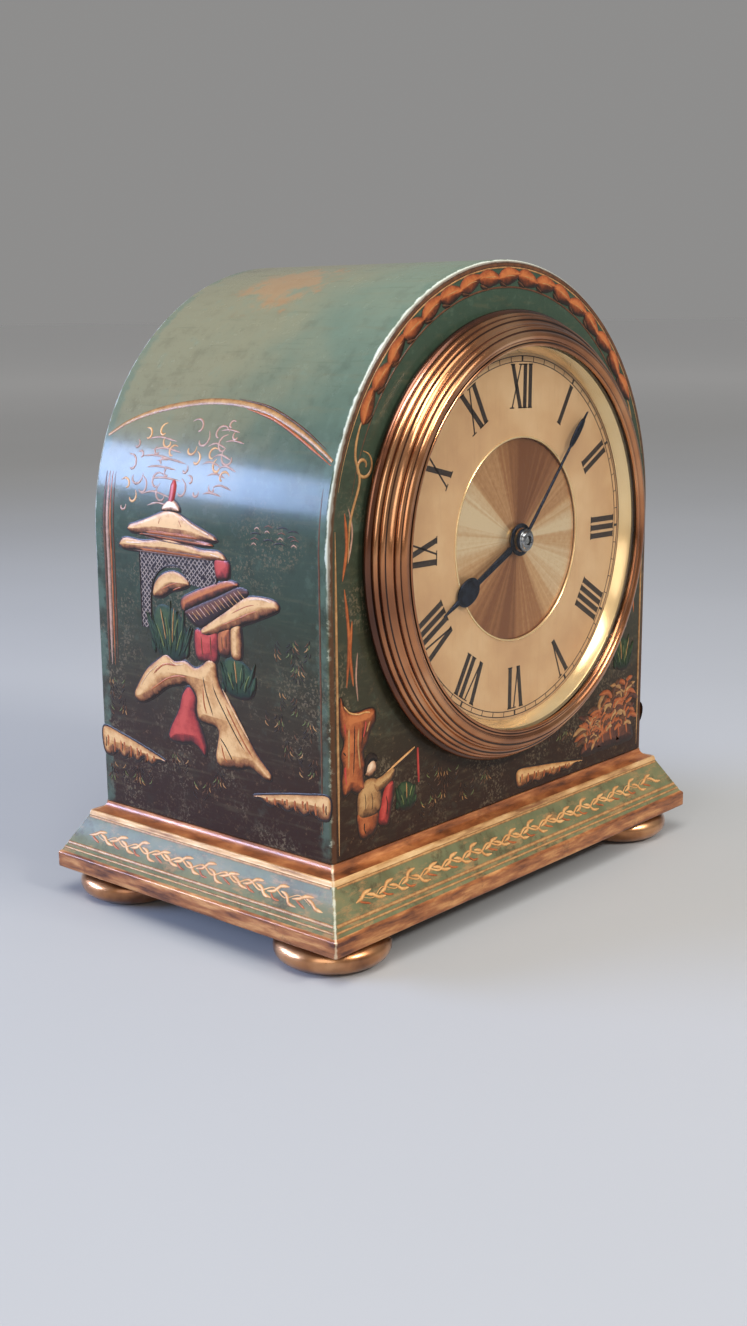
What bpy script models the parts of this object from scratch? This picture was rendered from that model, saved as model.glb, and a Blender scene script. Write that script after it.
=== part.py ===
"""Dome-topped lacquered mantel timepiece, wound and set from behind, with its eight-day movement.

Sizes are in millimetres and become metres when a mesh is written.  X runs to the right of someone facing the
dial, Y runs to the back and Z up.  The origin lies on the table, under the middle of the case.
"""
import bpy
import bmesh
from math import cos, sin, pi, radians, hypot, atan2, sqrt
from mathutils import Matrix, Vector

MM = 0.001
GAP = 0.3                    # clearance between pieces that touch or run on each other
CUT = 1.0                    # how far a cutter reaches past what it cuts
MERGE_DISTANCE = 0.00001

# Sides of the round shapes
LARGE_SIDES = 40
DRUM_SIDES = 24
FOOT_SIDES = 16
PIPE_SIDES = 12
SHAFT_SIDES = 8

# Case
CASE_WIDTH = 140.0
CASE_DEPTH = 85.0
CASE_WALL = 5.5
PANEL_THICKNESS = 6.0
FOOT_HEIGHT = 8.0
FOOT_RADIUS = 15.0
FOOT_FLAT_SHARE = 0.62       # flat top and bottom of a foot, as a share of its radius
FOOT_BELLY_SHARE = 0.54      # height of the widest part
FOOT_STUD_RADIUS = 2.5
FOOT_STUD_LENGTH = 7.0
PLINTH_OVERHANG = 10.0
PLINTH_EDGE_HEIGHT = 4.5
PLINTH_FRIEZE_HEIGHT = 10.9
PLINTH_FILLET_HEIGHT = 0.8
PLINTH_COVE_HEIGHT = 2.8
PLINTH_COVE_OVERHANG = 3.2
PLINTH_RAIL_WIDTH = 30.0
SIDE_HEIGHT = 74.0           # straight sides, from the plinth to where the arch springs
BASE_BOARD_THICKNESS = 4.0

# Dial and bezel
DIAL_DROP = 1.8              # dial centre below the centre of the arch
SIGHT_RADIUS = 50.0
BEZEL_CREST_WIDTH = 3.6
BEZEL_REED_SPREAD = 5.9      # from the crest out to the widest reed
BEZEL_DEPTH = 9.4
BEZEL_REEDS = 3
BEZEL_UNDERCUT = 1.2         # how far, and how high, the foot of the bezel draws in under its widest reed
REED_ROUNDING = 0.35         # share of a reed's height that its groove takes
BEZEL_LIP = 0.8
GLASS_SEAT = 1.0
GLASS_THICKNESS = 1.2
SIGHT_RING_DEPTH = 3.0
SIGHT_RING_SLOPE = 1.3
CHAPTER_THICKNESS = 0.5
CHAPTER_INNER_RADIUS = 26.8
DIAL_THICKNESS = 1.2
DIAL_FOOT_RADIUS = 2.0
DIAL_FOOT_INSET = 6.0        # from the edge of the plates

# Hands, at rest as in the picture: about seven minutes past eight
MINUTE_HAND_DEG = 42.0
HOUR_HAND_DEG = 243.5
MINUTE_HAND_LENGTH = 45.4
MINUTE_LEAF_FROM_TIP = 7.4
MINUTE_LEAF_LENGTH = 10.6
MINUTE_LEAF_WIDTH = 2.2
MINUTE_HUB_WIDTH = 1.0
HOUR_HAND_LENGTH = 36.0
HOUR_MOON_FROM_TIP = 11.0
HOUR_MOON_LENGTH = 10.4
HOUR_MOON_WIDTH = 6.6
HOUR_HUB_WIDTH = 1.2
HAND_THICKNESS = 0.5
HAND_SPACING = 0.6           # between the hands, and from the hour hand to the dial
HAND_STEM = 1.0
HAND_POINT_SHARE = 0.8       # width where the point of a hand starts, as a share of its stem
COLLET_WIDTH = 1.2
COLLET_ROUND = 0.5
PIPE_STICK_OUT = 0.1         # what a pipe or arbor shows past the piece on its end

# Movement frame
PLATE_RADIUS = 42.0
PLATE_THICKNESS = 1.5
PLATE_DISTANCE = 26.0
MOTION_SPACE = 10.8          # from the back of the dial to the front plate
PILLAR_RADIUS = 2.5
PILLAR_SPIGOT_RADIUS = 1.2
PILLAR_INSET = 4.0           # from the edge of the plates
PANEL_HOLE_MARGIN = 6.0      # from the edge of the plates out to the holes in the case
STRAP_INSET = 3.0            # from the holes in the case in to the straps
STRAP_THICKNESS = 1.2
STRAP_WIDTH = 8.0
STRAP_FOOT = 5.0

# Going train: wheel teeth, pinion leaves, module
GREAT_TEETH = 48
GREAT_MODULE = 0.75
INTERMEDIATE_LEAVES = 8
INTERMEDIATE_TEETH = 48
INTERMEDIATE_MODULE = 0.625
CENTRE_LEAVES = 8
CENTRE_TEETH = 48
CENTRE_MODULE = 0.6
THIRD_LEAVES = 6
THIRD_TEETH = 45
THIRD_MODULE = 0.533
FOURTH_LEAVES = 6
FOURTH_TEETH = 48
FOURTH_MODULE = 0.44
ESCAPE_LEAVES = 6
ESCAPE_TEETH = 15
ESCAPE_RADIUS = 5.0

# Motion work
MOTION_MODULE = 0.5
CANNON_LEAVES = 10
MINUTE_TEETH = 30
MINUTE_LEAVES = 8
HOUR_TEETH = 32
HOUR_WHEEL_THICKNESS = 1.0
MOTION_WHEEL_GAP = 1.0       # between the hour wheel and the minute wheel
MINUTE_WHEEL_STAND_OFF = 2.3
MOTION_LEAF_OVERLAP = 0.5    # how far the leaves reach past the wheel that they drive
MINUTE_POST_STICK_OUT = 0.7

# Where the train lies, as directions in the plane of the plates
INTERMEDIATE_DEG = -39.3
BARREL_DEG = -100.0
THIRD_DEG = 150.0
FOURTH_FROM_THIRD_DEG = 63.7
ESCAPE_FROM_FOURTH_DEG = 1.5
MINUTE_WHEEL_DEG = 35.0

# Wheels, pinions and arbors
WHEEL_THICKNESS = 1.2
WHEEL_RIM = 1.3
WHEEL_SPOKE = 1.3
WHEEL_HUB = 1.6              # from the bore of a wheel to its crossings
CENTRE_HUB = 2.1
COLLAR_STEP = 1.0
COLLAR_LENGTH = 1.0
HUB_SHOULDER = 0.1           # step from the roots of the centre pinion down to its pipe
PINION_LENGTH = 2.2
CENTRE_ARBOR_RADIUS = 1.0
TRAIN_ARBOR_RADIUS = 0.8
HEAVY_ARBOR_RADIUS = 1.3
ESCAPE_ARBOR_RADIUS = 0.65
PIVOT_RADIUS = 0.6
CANNON_PIPE_RADIUS = 1.8
HOUR_PIPE_RADIUS = 2.9
MINUTE_POST_RADIUS = 0.65

# Layers of the train, measured from the inside of the front plate
GREAT_LAYER = 2.0
THIRD_LAYER = 8.0
FOURTH_LAYER = 13.0
CENTRE_FROM_BACK = 3.4
INTERMEDIATE_FROM_CENTRE = 3.6
CENTRE_LAYER = PLATE_DISTANCE - CENTRE_FROM_BACK
INTERMEDIATE_LAYER = CENTRE_LAYER - INTERMEDIATE_FROM_CENTRE

# Barrel and winding
BARREL_STEP = 0.5            # from the roots of the great wheel in to the drum
BARREL_WALL = 1.0
BARREL_CLEARANCE = 2.0       # between the drum and the intermediate wheel
GREAT_THICKNESS = 2.0
BARREL_COVER_THICKNESS = 1.0
BARREL_ARBOR_RADIUS = 2.0
BARREL_CORE_RADIUS = 5.0
MAINSPRING_TURNS = 5
MAINSPRING_THICKNESS = 0.6
SQUARE_SHOULDER = 0.2        # how far the corners of the winding square lie inside its arbor
RATCHET_TEETH = 24
RATCHET_RADIUS = 7.5
RATCHET_TOOTH_DEPTH = 1.1
RATCHET_THICKNESS = 1.5
RATCHET_SLANT = 0.85         # where the tip of a ratchet tooth lies in its pitch
CLICK_REACH = 4.0            # from the tips of the ratchet to the click's stud
CLICK_DEG = 140.0
CLICK_TIP_DEG = 105.0
CLICK_RADIUS = 2.0
CLICK_LIFT_DEG = 12.0
CLICK_STUD_RADIUS = 0.9
CLICK_TIP_GAP = 0.1
CLICK_SPRING_THICKNESS = 0.5
CLICK_SPRING_FOOT = (-9.5, 6.5)    # from the click's stud
CLICK_SPRING_BEND = (-3.5, 4.6)
CLICK_SPRING_PAD = 1.6
CLICK_SPRING_SEAT = 0.55     # where it bears on the click, as a share of the click's radius
KEY_HUB_RADIUS = 3.6
KEY_HUB_LENGTH = 12.0
KEY_SPAN = 22.0
KEY_BOW_LENGTH = 13.0
KEY_BOW_THICKNESS = 2.4
KEY_BOW_RIM = 2.2
KEY_SOCKET_FLOOR = 1.7
KEY_SHOULDER = 0.6
KEY_BOW_SEAT = 1.0           # how deep the bow sits in the hub
KEY_STAND_OFF = 6.0          # from the back plate to the key
SET_KNOB_RADIUS = 6.0
SET_KNOB_LENGTH = 9.0
SET_KNOB_STAND_OFF = 18.0
SET_KNOB_NECK_RADIUS = 2.6
SET_KNOB_NECK_LENGTH = 3.6
SET_KNOB_ROUND = 0.8
SET_KNOB_CAP = 2.0

# Escapement
PALLET_OFFSET = 2.6          # from the tips of the escape wheel to the pallet axis
PALLET_DEG = 14.5
BALANCE_DISTANCE = 8.7
BALANCE_DEG = 16.8
PLATFORM_THICKNESS = 1.2
LEVER_THICKNESS = 0.8
FORK_CLEARANCE = 1.8         # from the fork to the balance staff
FORK_HALF_WIDTH = 1.2
NOTCH_HALF_WIDTH = 0.5
NOTCH_DEPTH = 1.2
LEVER_WAIST = 0.6
PALLET_SPREAD = 4.9
PALLET_REACH = 3.4
PALLET_WIDTH = 0.8
PALLET_ROOT = 1.2
ESCAPE_TOOTH_DEPTH = 1.5
BALANCE_RADIUS = 8.5
BALANCE_RIM = 1.3
BALANCE_THICKNESS = 1.5
STAFF_RADIUS = 0.9
STAFF_PIVOT_RADIUS = 0.4
BRIDGE_THICKNESS = 1.0
BRIDGE_HALF_WIDTH = 2.0
BRIDGE_FOOT_OFFSET = 1.6     # from the tips of the escape wheel to the foot of its bridge
BRIDGE_FOOT_SHARE = 0.6
COCK_THICKNESS = 1.4
COCK_HALF_WIDTH = 2.8
COCK_FOOT_OFFSET = 3.9       # from the rim of the balance to the foot of its cock
COCK_FOOT_SHARE = 0.8
COCK_DEG = -37.7
HAIRSPRING_TURNS = 4
HAIRSPRING_WIRE_RADIUS = 0.15
HAIRSPRING_INNER_RADIUS = 1.6
HAIRSPRING_OUTER_RADIUS = 5.4
HAIRSPRING_STUD_RADIUS = 0.6
HAIRSPRING_CLEARANCE = 1.6   # above the balance and below the cock
HAIRSPRING_STUD_LENGTH = 2.4
PLATFORM_MARGIN = 4.0
PLATFORM_BALANCE_RADIUS = 6.0
BALANCE_HUB = 2.2
BALANCE_SPOKE = 0.8
INDEX_LENGTH = 8.5
INDEX_RING = 1.2
INDEX_ROOT_RADIUS = 0.9
INDEX_TIP_RADIUS = 0.4
INDEX_THICKNESS = 0.6
INDEX_BOSS_RADIUS = 2.2

# Back of the case
REAR_RING_MARGIN = 6.0       # how far the ring reaches past the hole in the case
REAR_LEDGE = 3.5             # how far the ring reaches into that hole
REAR_RING_THICKNESS = 1.5
DOOR_LAP = 2.0               # how far the door covers the ring
DOOR_THICKNESS = 1.2
HINGE_MARGIN = 4.0           # from the edge of the door to the hinge axis
HINGE_BLOCK_SHARE = 0.8
HINGE_SINK = 0.6             # how deep an ear is let into the ring
HINGE_RADIUS = 1.8
HINGE_PIN_RADIUS = 0.8
HINGE_KNUCKLE = 8.0          # length of the door's knuckle
HINGE_EAR = 5.7              # length of each ear on the ring
DOOR_KNOB_INSET = 8.5        # from the edge of the door
DOOR_KNOB_RADIUS = 3.0
DOOR_KNOB_LENGTH = 4.4
DOOR_KNOB_ROUND = 1.0
DOOR_KNOB_BAND = 0.8
DOOR_KNOB_CROWN_SHARE = 0.6
DOOR_KNOB_NECK_SHARE = 0.5

# Radii that follow from these
BEZEL_CREST_RADIUS = SIGHT_RADIUS + BEZEL_CREST_WIDTH
BEZEL_RADIUS = BEZEL_CREST_RADIUS + BEZEL_REED_SPREAD
GLASS_RADIUS = SIGHT_RADIUS + GLASS_SEAT
DIAL_SIGHT_RADIUS = SIGHT_RADIUS - SIGHT_RING_SLOPE
PILLAR_CIRCLE = PLATE_RADIUS - PILLAR_INSET
DIAL_FOOT_CIRCLE = PLATE_RADIUS - DIAL_FOOT_INSET
PANEL_HOLE_RADIUS = PLATE_RADIUS + PANEL_HOLE_MARGIN
STRAP_RADIUS = PANEL_HOLE_RADIUS - STRAP_INSET
REAR_RING_RADIUS = PANEL_HOLE_RADIUS + REAR_RING_MARGIN
REAR_OPENING_RADIUS = PANEL_HOLE_RADIUS - REAR_LEDGE
DOOR_RADIUS = REAR_OPENING_RADIUS + DOOR_LAP
HINGE_OFFSET = DOOR_RADIUS + HINGE_MARGIN
DOOR_KNOB_OFFSET = DOOR_RADIUS - DOOR_KNOB_INSET
CLICK_DISTANCE = RATCHET_RADIUS + CLICK_REACH
PALLET_DISTANCE = ESCAPE_RADIUS + PALLET_OFFSET
BRIDGE_REACH = ESCAPE_RADIUS + BRIDGE_FOOT_OFFSET
COCK_REACH = BALANCE_RADIUS + COCK_FOOT_OFFSET
FORK_LENGTH = BALANCE_DISTANCE - STAFF_RADIUS - FORK_CLEARANCE

# Heights and depths that follow
WINDING_SQUARE = sqrt(2) * (BARREL_ARBOR_RADIUS - SQUARE_SHOULDER)
PLINTH_HEIGHT = PLINTH_EDGE_HEIGHT + PLINTH_FRIEZE_HEIGHT + PLINTH_FILLET_HEIGHT + PLINTH_COVE_HEIGHT
PLINTH_BOTTOM = FOOT_HEIGHT
CASE_BOTTOM = PLINTH_BOTTOM + PLINTH_HEIGHT
ARCH_RADIUS = CASE_WIDTH / 2
ARCH_Z = CASE_BOTTOM + SIDE_HEIGHT
DIAL_Z = ARCH_Z - DIAL_DROP
CASE_FRONT = -CASE_DEPTH / 2
CASE_BACK = CASE_DEPTH / 2

BEZEL_BACK = CASE_FRONT - GAP
BEZEL_FRONT = CASE_FRONT - BEZEL_DEPTH - GAP
GLASS_FRONT = BEZEL_FRONT + BEZEL_LIP + GAP
GLASS_BACK = GLASS_FRONT + GLASS_THICKNESS
SIGHT_FRONT = GLASS_BACK + GAP
SIGHT_BACK = SIGHT_FRONT + SIGHT_RING_DEPTH
CHAPTER_FRONT = SIGHT_BACK + GAP
CHAPTER_BACK = CHAPTER_FRONT + CHAPTER_THICKNESS
DIAL_FRONT = CHAPTER_BACK + GAP
DIAL_BACK = DIAL_FRONT + DIAL_THICKNESS

HOUR_HAND_BACK = CHAPTER_FRONT - HAND_SPACING
HOUR_HAND_FRONT = HOUR_HAND_BACK - HAND_THICKNESS
MINUTE_HAND_BACK = HOUR_HAND_FRONT - HAND_SPACING
MINUTE_HAND_FRONT = MINUTE_HAND_BACK - HAND_THICKNESS
COLLET_FRONT = MINUTE_HAND_FRONT - GAP - HAND_THICKNESS

FRONT_PLATE_FRONT = DIAL_BACK + MOTION_SPACE
FRONT_PLATE_BACK = FRONT_PLATE_FRONT + PLATE_THICKNESS
BACK_PLATE_FRONT = FRONT_PLATE_BACK + PLATE_DISTANCE
BACK_PLATE_BACK = BACK_PLATE_FRONT + PLATE_THICKNESS

MINUTE_WHEEL_BACK = FRONT_PLATE_FRONT - MINUTE_WHEEL_STAND_OFF
MINUTE_WHEEL_FRONT = MINUTE_WHEEL_BACK - WHEEL_THICKNESS
HOUR_WHEEL_BACK = MINUTE_WHEEL_FRONT - MOTION_WHEEL_GAP
HOUR_WHEEL_FRONT = HOUR_WHEEL_BACK - HOUR_WHEEL_THICKNESS
MINUTE_PINION_FRONT = HOUR_WHEEL_FRONT - MOTION_LEAF_OVERLAP

REAR_RING_FRONT = CASE_BACK + GAP
REAR_RING_BACK = REAR_RING_FRONT + REAR_RING_THICKNESS
DOOR_FRONT = REAR_RING_BACK + GAP
DOOR_BACK = DOOR_FRONT + DOOR_THICKNESS
HINGE_Y = REAR_RING_BACK + GAP + HINGE_RADIUS


def polar(radius, degrees, start=(0.0, 0.0)):
    """The point at a distance and direction from a start, in the plane of the plates."""
    angle = radians(degrees)
    return (start[0] + radius * cos(angle), start[1] + radius * sin(angle))


def pair_distance(teeth, leaves, module):
    """Distance between the axes of a wheel and the pinion that it meshes with."""
    return module * (teeth + leaves) / 2


# Axes of the movement, from the centre of the dial
CENTRE = (0.0, 0.0)
INTERMEDIATE = polar(pair_distance(INTERMEDIATE_TEETH, CENTRE_LEAVES, INTERMEDIATE_MODULE), INTERMEDIATE_DEG)


def barrel_axis():
    """The barrel meshes with the intermediate pinion and lies in its own direction from the centre."""
    reach = pair_distance(GREAT_TEETH, INTERMEDIATE_LEAVES, GREAT_MODULE)
    way = polar(1.0, BARREL_DEG)
    along = way[0] * INTERMEDIATE[0] + way[1] * INTERMEDIATE[1]
    off_line = hypot(*INTERMEDIATE) ** 2 - along ** 2
    distance = along + sqrt(reach ** 2 - off_line)
    return polar(distance, BARREL_DEG)


BARREL = barrel_axis()
THIRD = polar(pair_distance(CENTRE_TEETH, THIRD_LEAVES, CENTRE_MODULE), THIRD_DEG)
FOURTH = polar(pair_distance(THIRD_TEETH, FOURTH_LEAVES, THIRD_MODULE), FOURTH_FROM_THIRD_DEG, THIRD)
ESCAPE = polar(pair_distance(FOURTH_TEETH, ESCAPE_LEAVES, FOURTH_MODULE), ESCAPE_FROM_FOURTH_DEG, FOURTH)
PALLET = polar(PALLET_DISTANCE, PALLET_DEG, ESCAPE)
BALANCE = polar(BALANCE_DISTANCE, BALANCE_DEG, PALLET)
MINUTE_WHEEL = polar(pair_distance(MINUTE_TEETH, CANNON_LEAVES, MOTION_MODULE), MINUTE_WHEEL_DEG)
CLICK = polar(CLICK_DISTANCE, CLICK_DEG, BARREL)
BRIDGE_FOOT = polar(BRIDGE_REACH, PALLET_DEG + 180, ESCAPE)
COCK_FOOT = polar(COCK_REACH, COCK_DEG, BALANCE)
PILLARS = [polar(PILLAR_CIRCLE, angle) for angle in (30, 150, 210, 330)]
DIAL_FEET = [polar(DIAL_FOOT_CIRCLE, angle) for angle in (0, 90, 180, 270)]


# Finishes

def finish(name, colour, roughness, metallic=0.0):
    """A plain Principled material."""
    material = bpy.data.materials.new(name)
    material.use_nodes = True
    shader = material.node_tree.nodes["Principled BSDF"]
    shader.inputs["Base Color"].default_value = (*colour, 1.0)
    shader.inputs["Roughness"].default_value = roughness
    shader.inputs["Metallic"].default_value = metallic
    material.diffuse_color = (*colour, 1.0)
    return material


def clear_scene():
    for old in list(bpy.data.objects):
        bpy.data.objects.remove(old, do_unlink=True)


clear_scene()
LACQUER = finish("green_lacquer", (0.05, 0.10, 0.08), 0.25)
FRIEZE = finish("frieze_green", (0.20, 0.27, 0.20), 0.35)
BOARD = finish("bare_wood", (0.28, 0.17, 0.09), 0.7)
BRASS = finish("brass", (0.72, 0.48, 0.25), 0.28, 1.0)
GILT = finish("gilt_dial", (0.62, 0.44, 0.26), 0.32, 1.0)
SILVERED = finish("silvered_ring", (0.66, 0.52, 0.34), 0.42, 0.3)
GLASS = finish("glass", (0.92, 0.95, 0.94), 0.03)
STEEL = finish("steel", (0.55, 0.56, 0.58), 0.3, 1.0)
BLUED = finish("blued_steel", (0.03, 0.04, 0.08), 0.3, 0.8)

ASSEMBLY = bpy.data.objects.new("mantel_timepiece", None)
bpy.context.collection.objects.link(ASSEMBLY)


# Outlines, as lists of (x, z) points round an axis

def circle(radius, segments=PIPE_SIDES, centre=(0.0, 0.0)):
    return [polar(radius, 360.0 * k / segments, centre) for k in range(segments)]


def square(side):
    half = side / 2
    return [(-half, -half), (half, -half), (half, half), (-half, half)]


def oblong(start, end, half_width, segments=6):
    """A bar with round ends between two points."""
    turn = atan2(end[1] - start[1], end[0] - start[0])
    points = []
    for centre, base in ((end, turn - pi / 2), (start, turn + pi / 2)):
        for k in range(segments + 1):
            angle = base + pi * k / segments
            points.append((centre[0] + half_width * cos(angle), centre[1] + half_width * sin(angle)))
    return points


def turned_to(outline, degrees):
    """An outline drawn pointing up, turned clockwise as a hand turns."""
    angle = radians(degrees)
    return [(x * cos(angle) + z * sin(angle), z * cos(angle) - x * sin(angle)) for x, z in outline]


# Shares of a tooth's pitch and of its module
WHEEL_ROOT_SHARE = 0.56
WHEEL_ADDENDUM = 0.9
WHEEL_DEDENDUM = 1.2
LEAF_TIP_SHARE = 0.2
LEAF_ROOT_SHARE = 0.5
LEAF_ADDENDUM = 0.8
LEAF_DEDENDUM = 1.25


def wheel_root(teeth, module):
    return module * (teeth / 2 - WHEEL_DEDENDUM)


def wheel_outline(teeth, module, phase=0.0):
    """Pointed clock-wheel teeth with flat roots."""
    root = wheel_root(teeth, module)
    tip = module * (teeth / 2 + WHEEL_ADDENDUM)
    step = 2 * pi / teeth
    half_root = WHEEL_ROOT_SHARE * step / 2
    points = []
    for k in range(teeth):
        middle = phase + k * step
        for radius, angle in ((root, middle - half_root), (tip, middle), (root, middle + half_root)):
            points.append((radius * cos(angle), radius * sin(angle)))
    return points


def pinion_outline(leaves, module, phase=0.0):
    """Pinion leaves with flat tips."""
    pitch_radius = module * leaves / 2
    root = pitch_radius - LEAF_DEDENDUM * module
    tip = pitch_radius + LEAF_ADDENDUM * module
    step = 2 * pi / leaves
    half_root = LEAF_ROOT_SHARE * step / 2
    half_tip = LEAF_TIP_SHARE * step / 2
    points = []
    for k in range(leaves):
        middle = phase + k * step
        for radius, angle in ((root, middle - half_root), (tip, middle - half_tip),
                              (tip, middle + half_tip), (root, middle + half_root)):
            points.append((radius * cos(angle), radius * sin(angle)))
    return points


def mesh_phase(axis_a, axis_b, teeth_a, teeth_b, phase_a=0.0):
    """Phase of wheel B that puts a gap of B where wheel A has a tooth."""
    way = atan2(axis_b[1] - axis_a[1], axis_b[0] - axis_a[0])
    return way + pi + pi / teeth_b - (phase_a - way) * teeth_a / teeth_b


def crossings(hub, rim, spokes=4, spoke=WHEEL_SPOKE):
    """The open spaces between the spokes of a wheel."""
    windows = []
    for k in range(spokes):
        middle = pi / 4 + 2 * pi * k / spokes
        half_rim = pi / spokes - spoke / rim
        half_hub = pi / spokes - spoke / hub
        points = []
        corners = ((rim, -half_rim), (rim, 0.0), (rim, half_rim), (hub, half_hub), (hub, -half_hub))
        for radius, angle in corners:
            points.append((radius * cos(middle + angle), radius * sin(middle + angle)))
        windows.append(points)
    return windows


# Solids

def place_object(name, bm, material, origin, smooth_deg=30):
    """Write a mesh, built in millimetres round its own origin, as a named object in metres."""
    bmesh.ops.remove_doubles(bm, verts=bm.verts, dist=MERGE_DISTANCE)
    bmesh.ops.recalc_face_normals(bm, faces=bm.faces)
    mesh = bpy.data.meshes.new(name)
    bm.to_mesh(mesh)
    bm.free()
    mesh.transform(Matrix.Scale(MM, 4))
    mesh.shade_smooth()
    mesh.set_sharp_from_angle(angle=radians(smooth_deg))
    mesh.materials.append(material)
    thing = bpy.data.objects.new(name, mesh)
    thing.location = Vector(origin) * MM
    bpy.context.collection.objects.link(thing)
    thing.parent = ASSEMBLY
    return thing


def ring_of(bm, outline, y):
    verts = [bm.verts.new((x, y, z)) for x, z in outline]
    edges = [bm.edges.new((verts[k - 1], verts[k])) for k in range(len(verts))]
    return verts, edges


def wall_between(bm, first, second):
    for k in range(len(first)):
        bm.faces.new((first[k - 1], first[k], second[k], second[k - 1]))


def fill_flat(bm, edge_loops):
    edges = [edge for loop in edge_loops for edge in loop]
    bmesh.ops.triangle_fill(bm, use_beauty=True, edges=edges, normal=(0.0, 1.0, 0.0))


def stack_mesh(sections, front_bosses=(), back_bosses=()):
    """Prisms laid end to end along Y, from front to back, as one closed mesh.

    A section is (outline, y_start, y_end) with, after that, an optional bore outline and an optional list of
    windows.  A boss is (outline, y_end) and stands on the first or the last face.
    """
    bm = bmesh.new()
    last_outer = None
    last_bore = None
    last_windows = []
    for index, section in enumerate(sections):
        outline, y_start, y_end = section[:3]
        bore = section[3] if len(section) > 3 else None
        windows = section[4] if len(section) > 4 else []
        outer_start = ring_of(bm, outline, y_start)
        outer_end = ring_of(bm, outline, y_end)
        wall_between(bm, outer_start[0], outer_end[0])
        window_starts = [ring_of(bm, window, y_start) for window in windows]
        window_ends = [ring_of(bm, window, y_end) for window in windows]
        for start, end in zip(window_starts, window_ends):
            wall_between(bm, start[0], end[0])
        bore_start = None
        bore_end = None
        if bore:
            same_bore = last_bore is not None and sections[index - 1][3] == bore
            bore_start = last_bore if same_bore else ring_of(bm, bore, y_start)
            bore_end = ring_of(bm, bore, y_end)
            wall_between(bm, bore_start[0], bore_end[0])
        if index == 0:
            loops = [outer_start[1]] + [ring[1] for ring in window_starts]
            if bore:
                loops.append(bore_start[1])
            loops += add_bosses(bm, front_bosses, y_start)
            fill_flat(bm, loops)
        else:
            loops = [last_outer[1], outer_start[1]]
            loops += [ring[1] for ring in last_windows + window_starts]
            fill_flat(bm, loops)
            if bore_start is not last_bore:
                fill_flat(bm, [ring[1] for ring in (last_bore, bore_start) if ring])
        last_outer, last_bore, last_windows = outer_end, bore_end, window_ends
    loops = [last_outer[1]] + [ring[1] for ring in last_windows]
    if last_bore:
        loops.append(last_bore[1])
    loops += add_bosses(bm, back_bosses, sections[-1][2])
    fill_flat(bm, loops)
    return bm


def add_bosses(bm, bosses, y_base):
    """Posts on a flat face; gives the loops that the face leaves open for them."""
    loops = []
    for outline, y_end in bosses:
        base = ring_of(bm, outline, y_base)
        top = ring_of(bm, outline, y_end)
        wall_between(bm, base[0], top[0])
        fill_flat(bm, [top[1]])
        loops.append(base[1])
    return loops


def stack(name, material, axis, sections, front_bosses=(), back_bosses=()):
    """A stack of prisms on an axis of the movement."""
    bm = stack_mesh(sections, front_bosses, back_bosses)
    return place_object(name, bm, material, (axis[0], 0.0, DIAL_Z + axis[1]))


def turned_mesh(profile, segments, along="Y"):
    """A profile of (radius, distance) points turned about Y or Z, closed on itself or from axis to axis."""
    bm = bmesh.new()
    if along == "Y":
        verts = [bm.verts.new((radius, distance, 0.0)) for radius, distance in profile]
        axis = (0.0, 1.0, 0.0)
    else:
        verts = [bm.verts.new((radius, 0.0, distance)) for radius, distance in profile]
        axis = (0.0, 0.0, 1.0)
    edges = [bm.edges.new((verts[k], verts[k + 1])) for k in range(len(verts) - 1)]
    if profile[0][0] > 0.0:
        edges.append(bm.edges.new((verts[-1], verts[0])))
    bmesh.ops.spin(bm, geom=verts + edges, cent=(0, 0, 0), axis=axis, angle=2 * pi, steps=segments,
                   use_merge=True)
    bmesh.ops.remove_doubles(bm, verts=bm.verts, dist=MERGE_DISTANCE)
    return bm


def turned(name, material, origin, profile, segments, along="Y"):
    return place_object(name, turned_mesh(profile, segments, along), material, origin)


def box_mesh(low, high):
    bm = bmesh.new()
    size = [b - a for a, b in zip(low, high)]
    middle = [(a + b) / 2 for a, b in zip(low, high)]
    bmesh.ops.create_cube(bm, size=1.0, matrix=Matrix.Translation(middle) @ Matrix.Diagonal((*size, 1.0)))
    return bm


def box(name, material, low, high):
    return place_object(name, box_mesh(low, high), material, (0.0, 0.0, 0.0))


def tool(bm, origin):
    """A helper shape for a Boolean, left out of the finished object."""
    helper = place_object("tool", bm, BRASS, origin)
    helper.hide_render = True
    helper.display_type = "WIRE"
    return helper


def combine(thing, helper, operation):
    modifier = thing.modifiers.new(operation.lower(), "BOOLEAN")
    modifier.operation = operation
    modifier.solver = "EXACT"
    modifier.object = helper
    return thing


# Case, plinth and feet

def arch_outline(half_width, bottom, centre_z, segments=32):
    points = [(half_width, bottom)]
    points += [(half_width * cos(pi * k / segments), centre_z + half_width * sin(pi * k / segments))
               for k in range(segments + 1)]
    points.append((-half_width, bottom))
    return points


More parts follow.
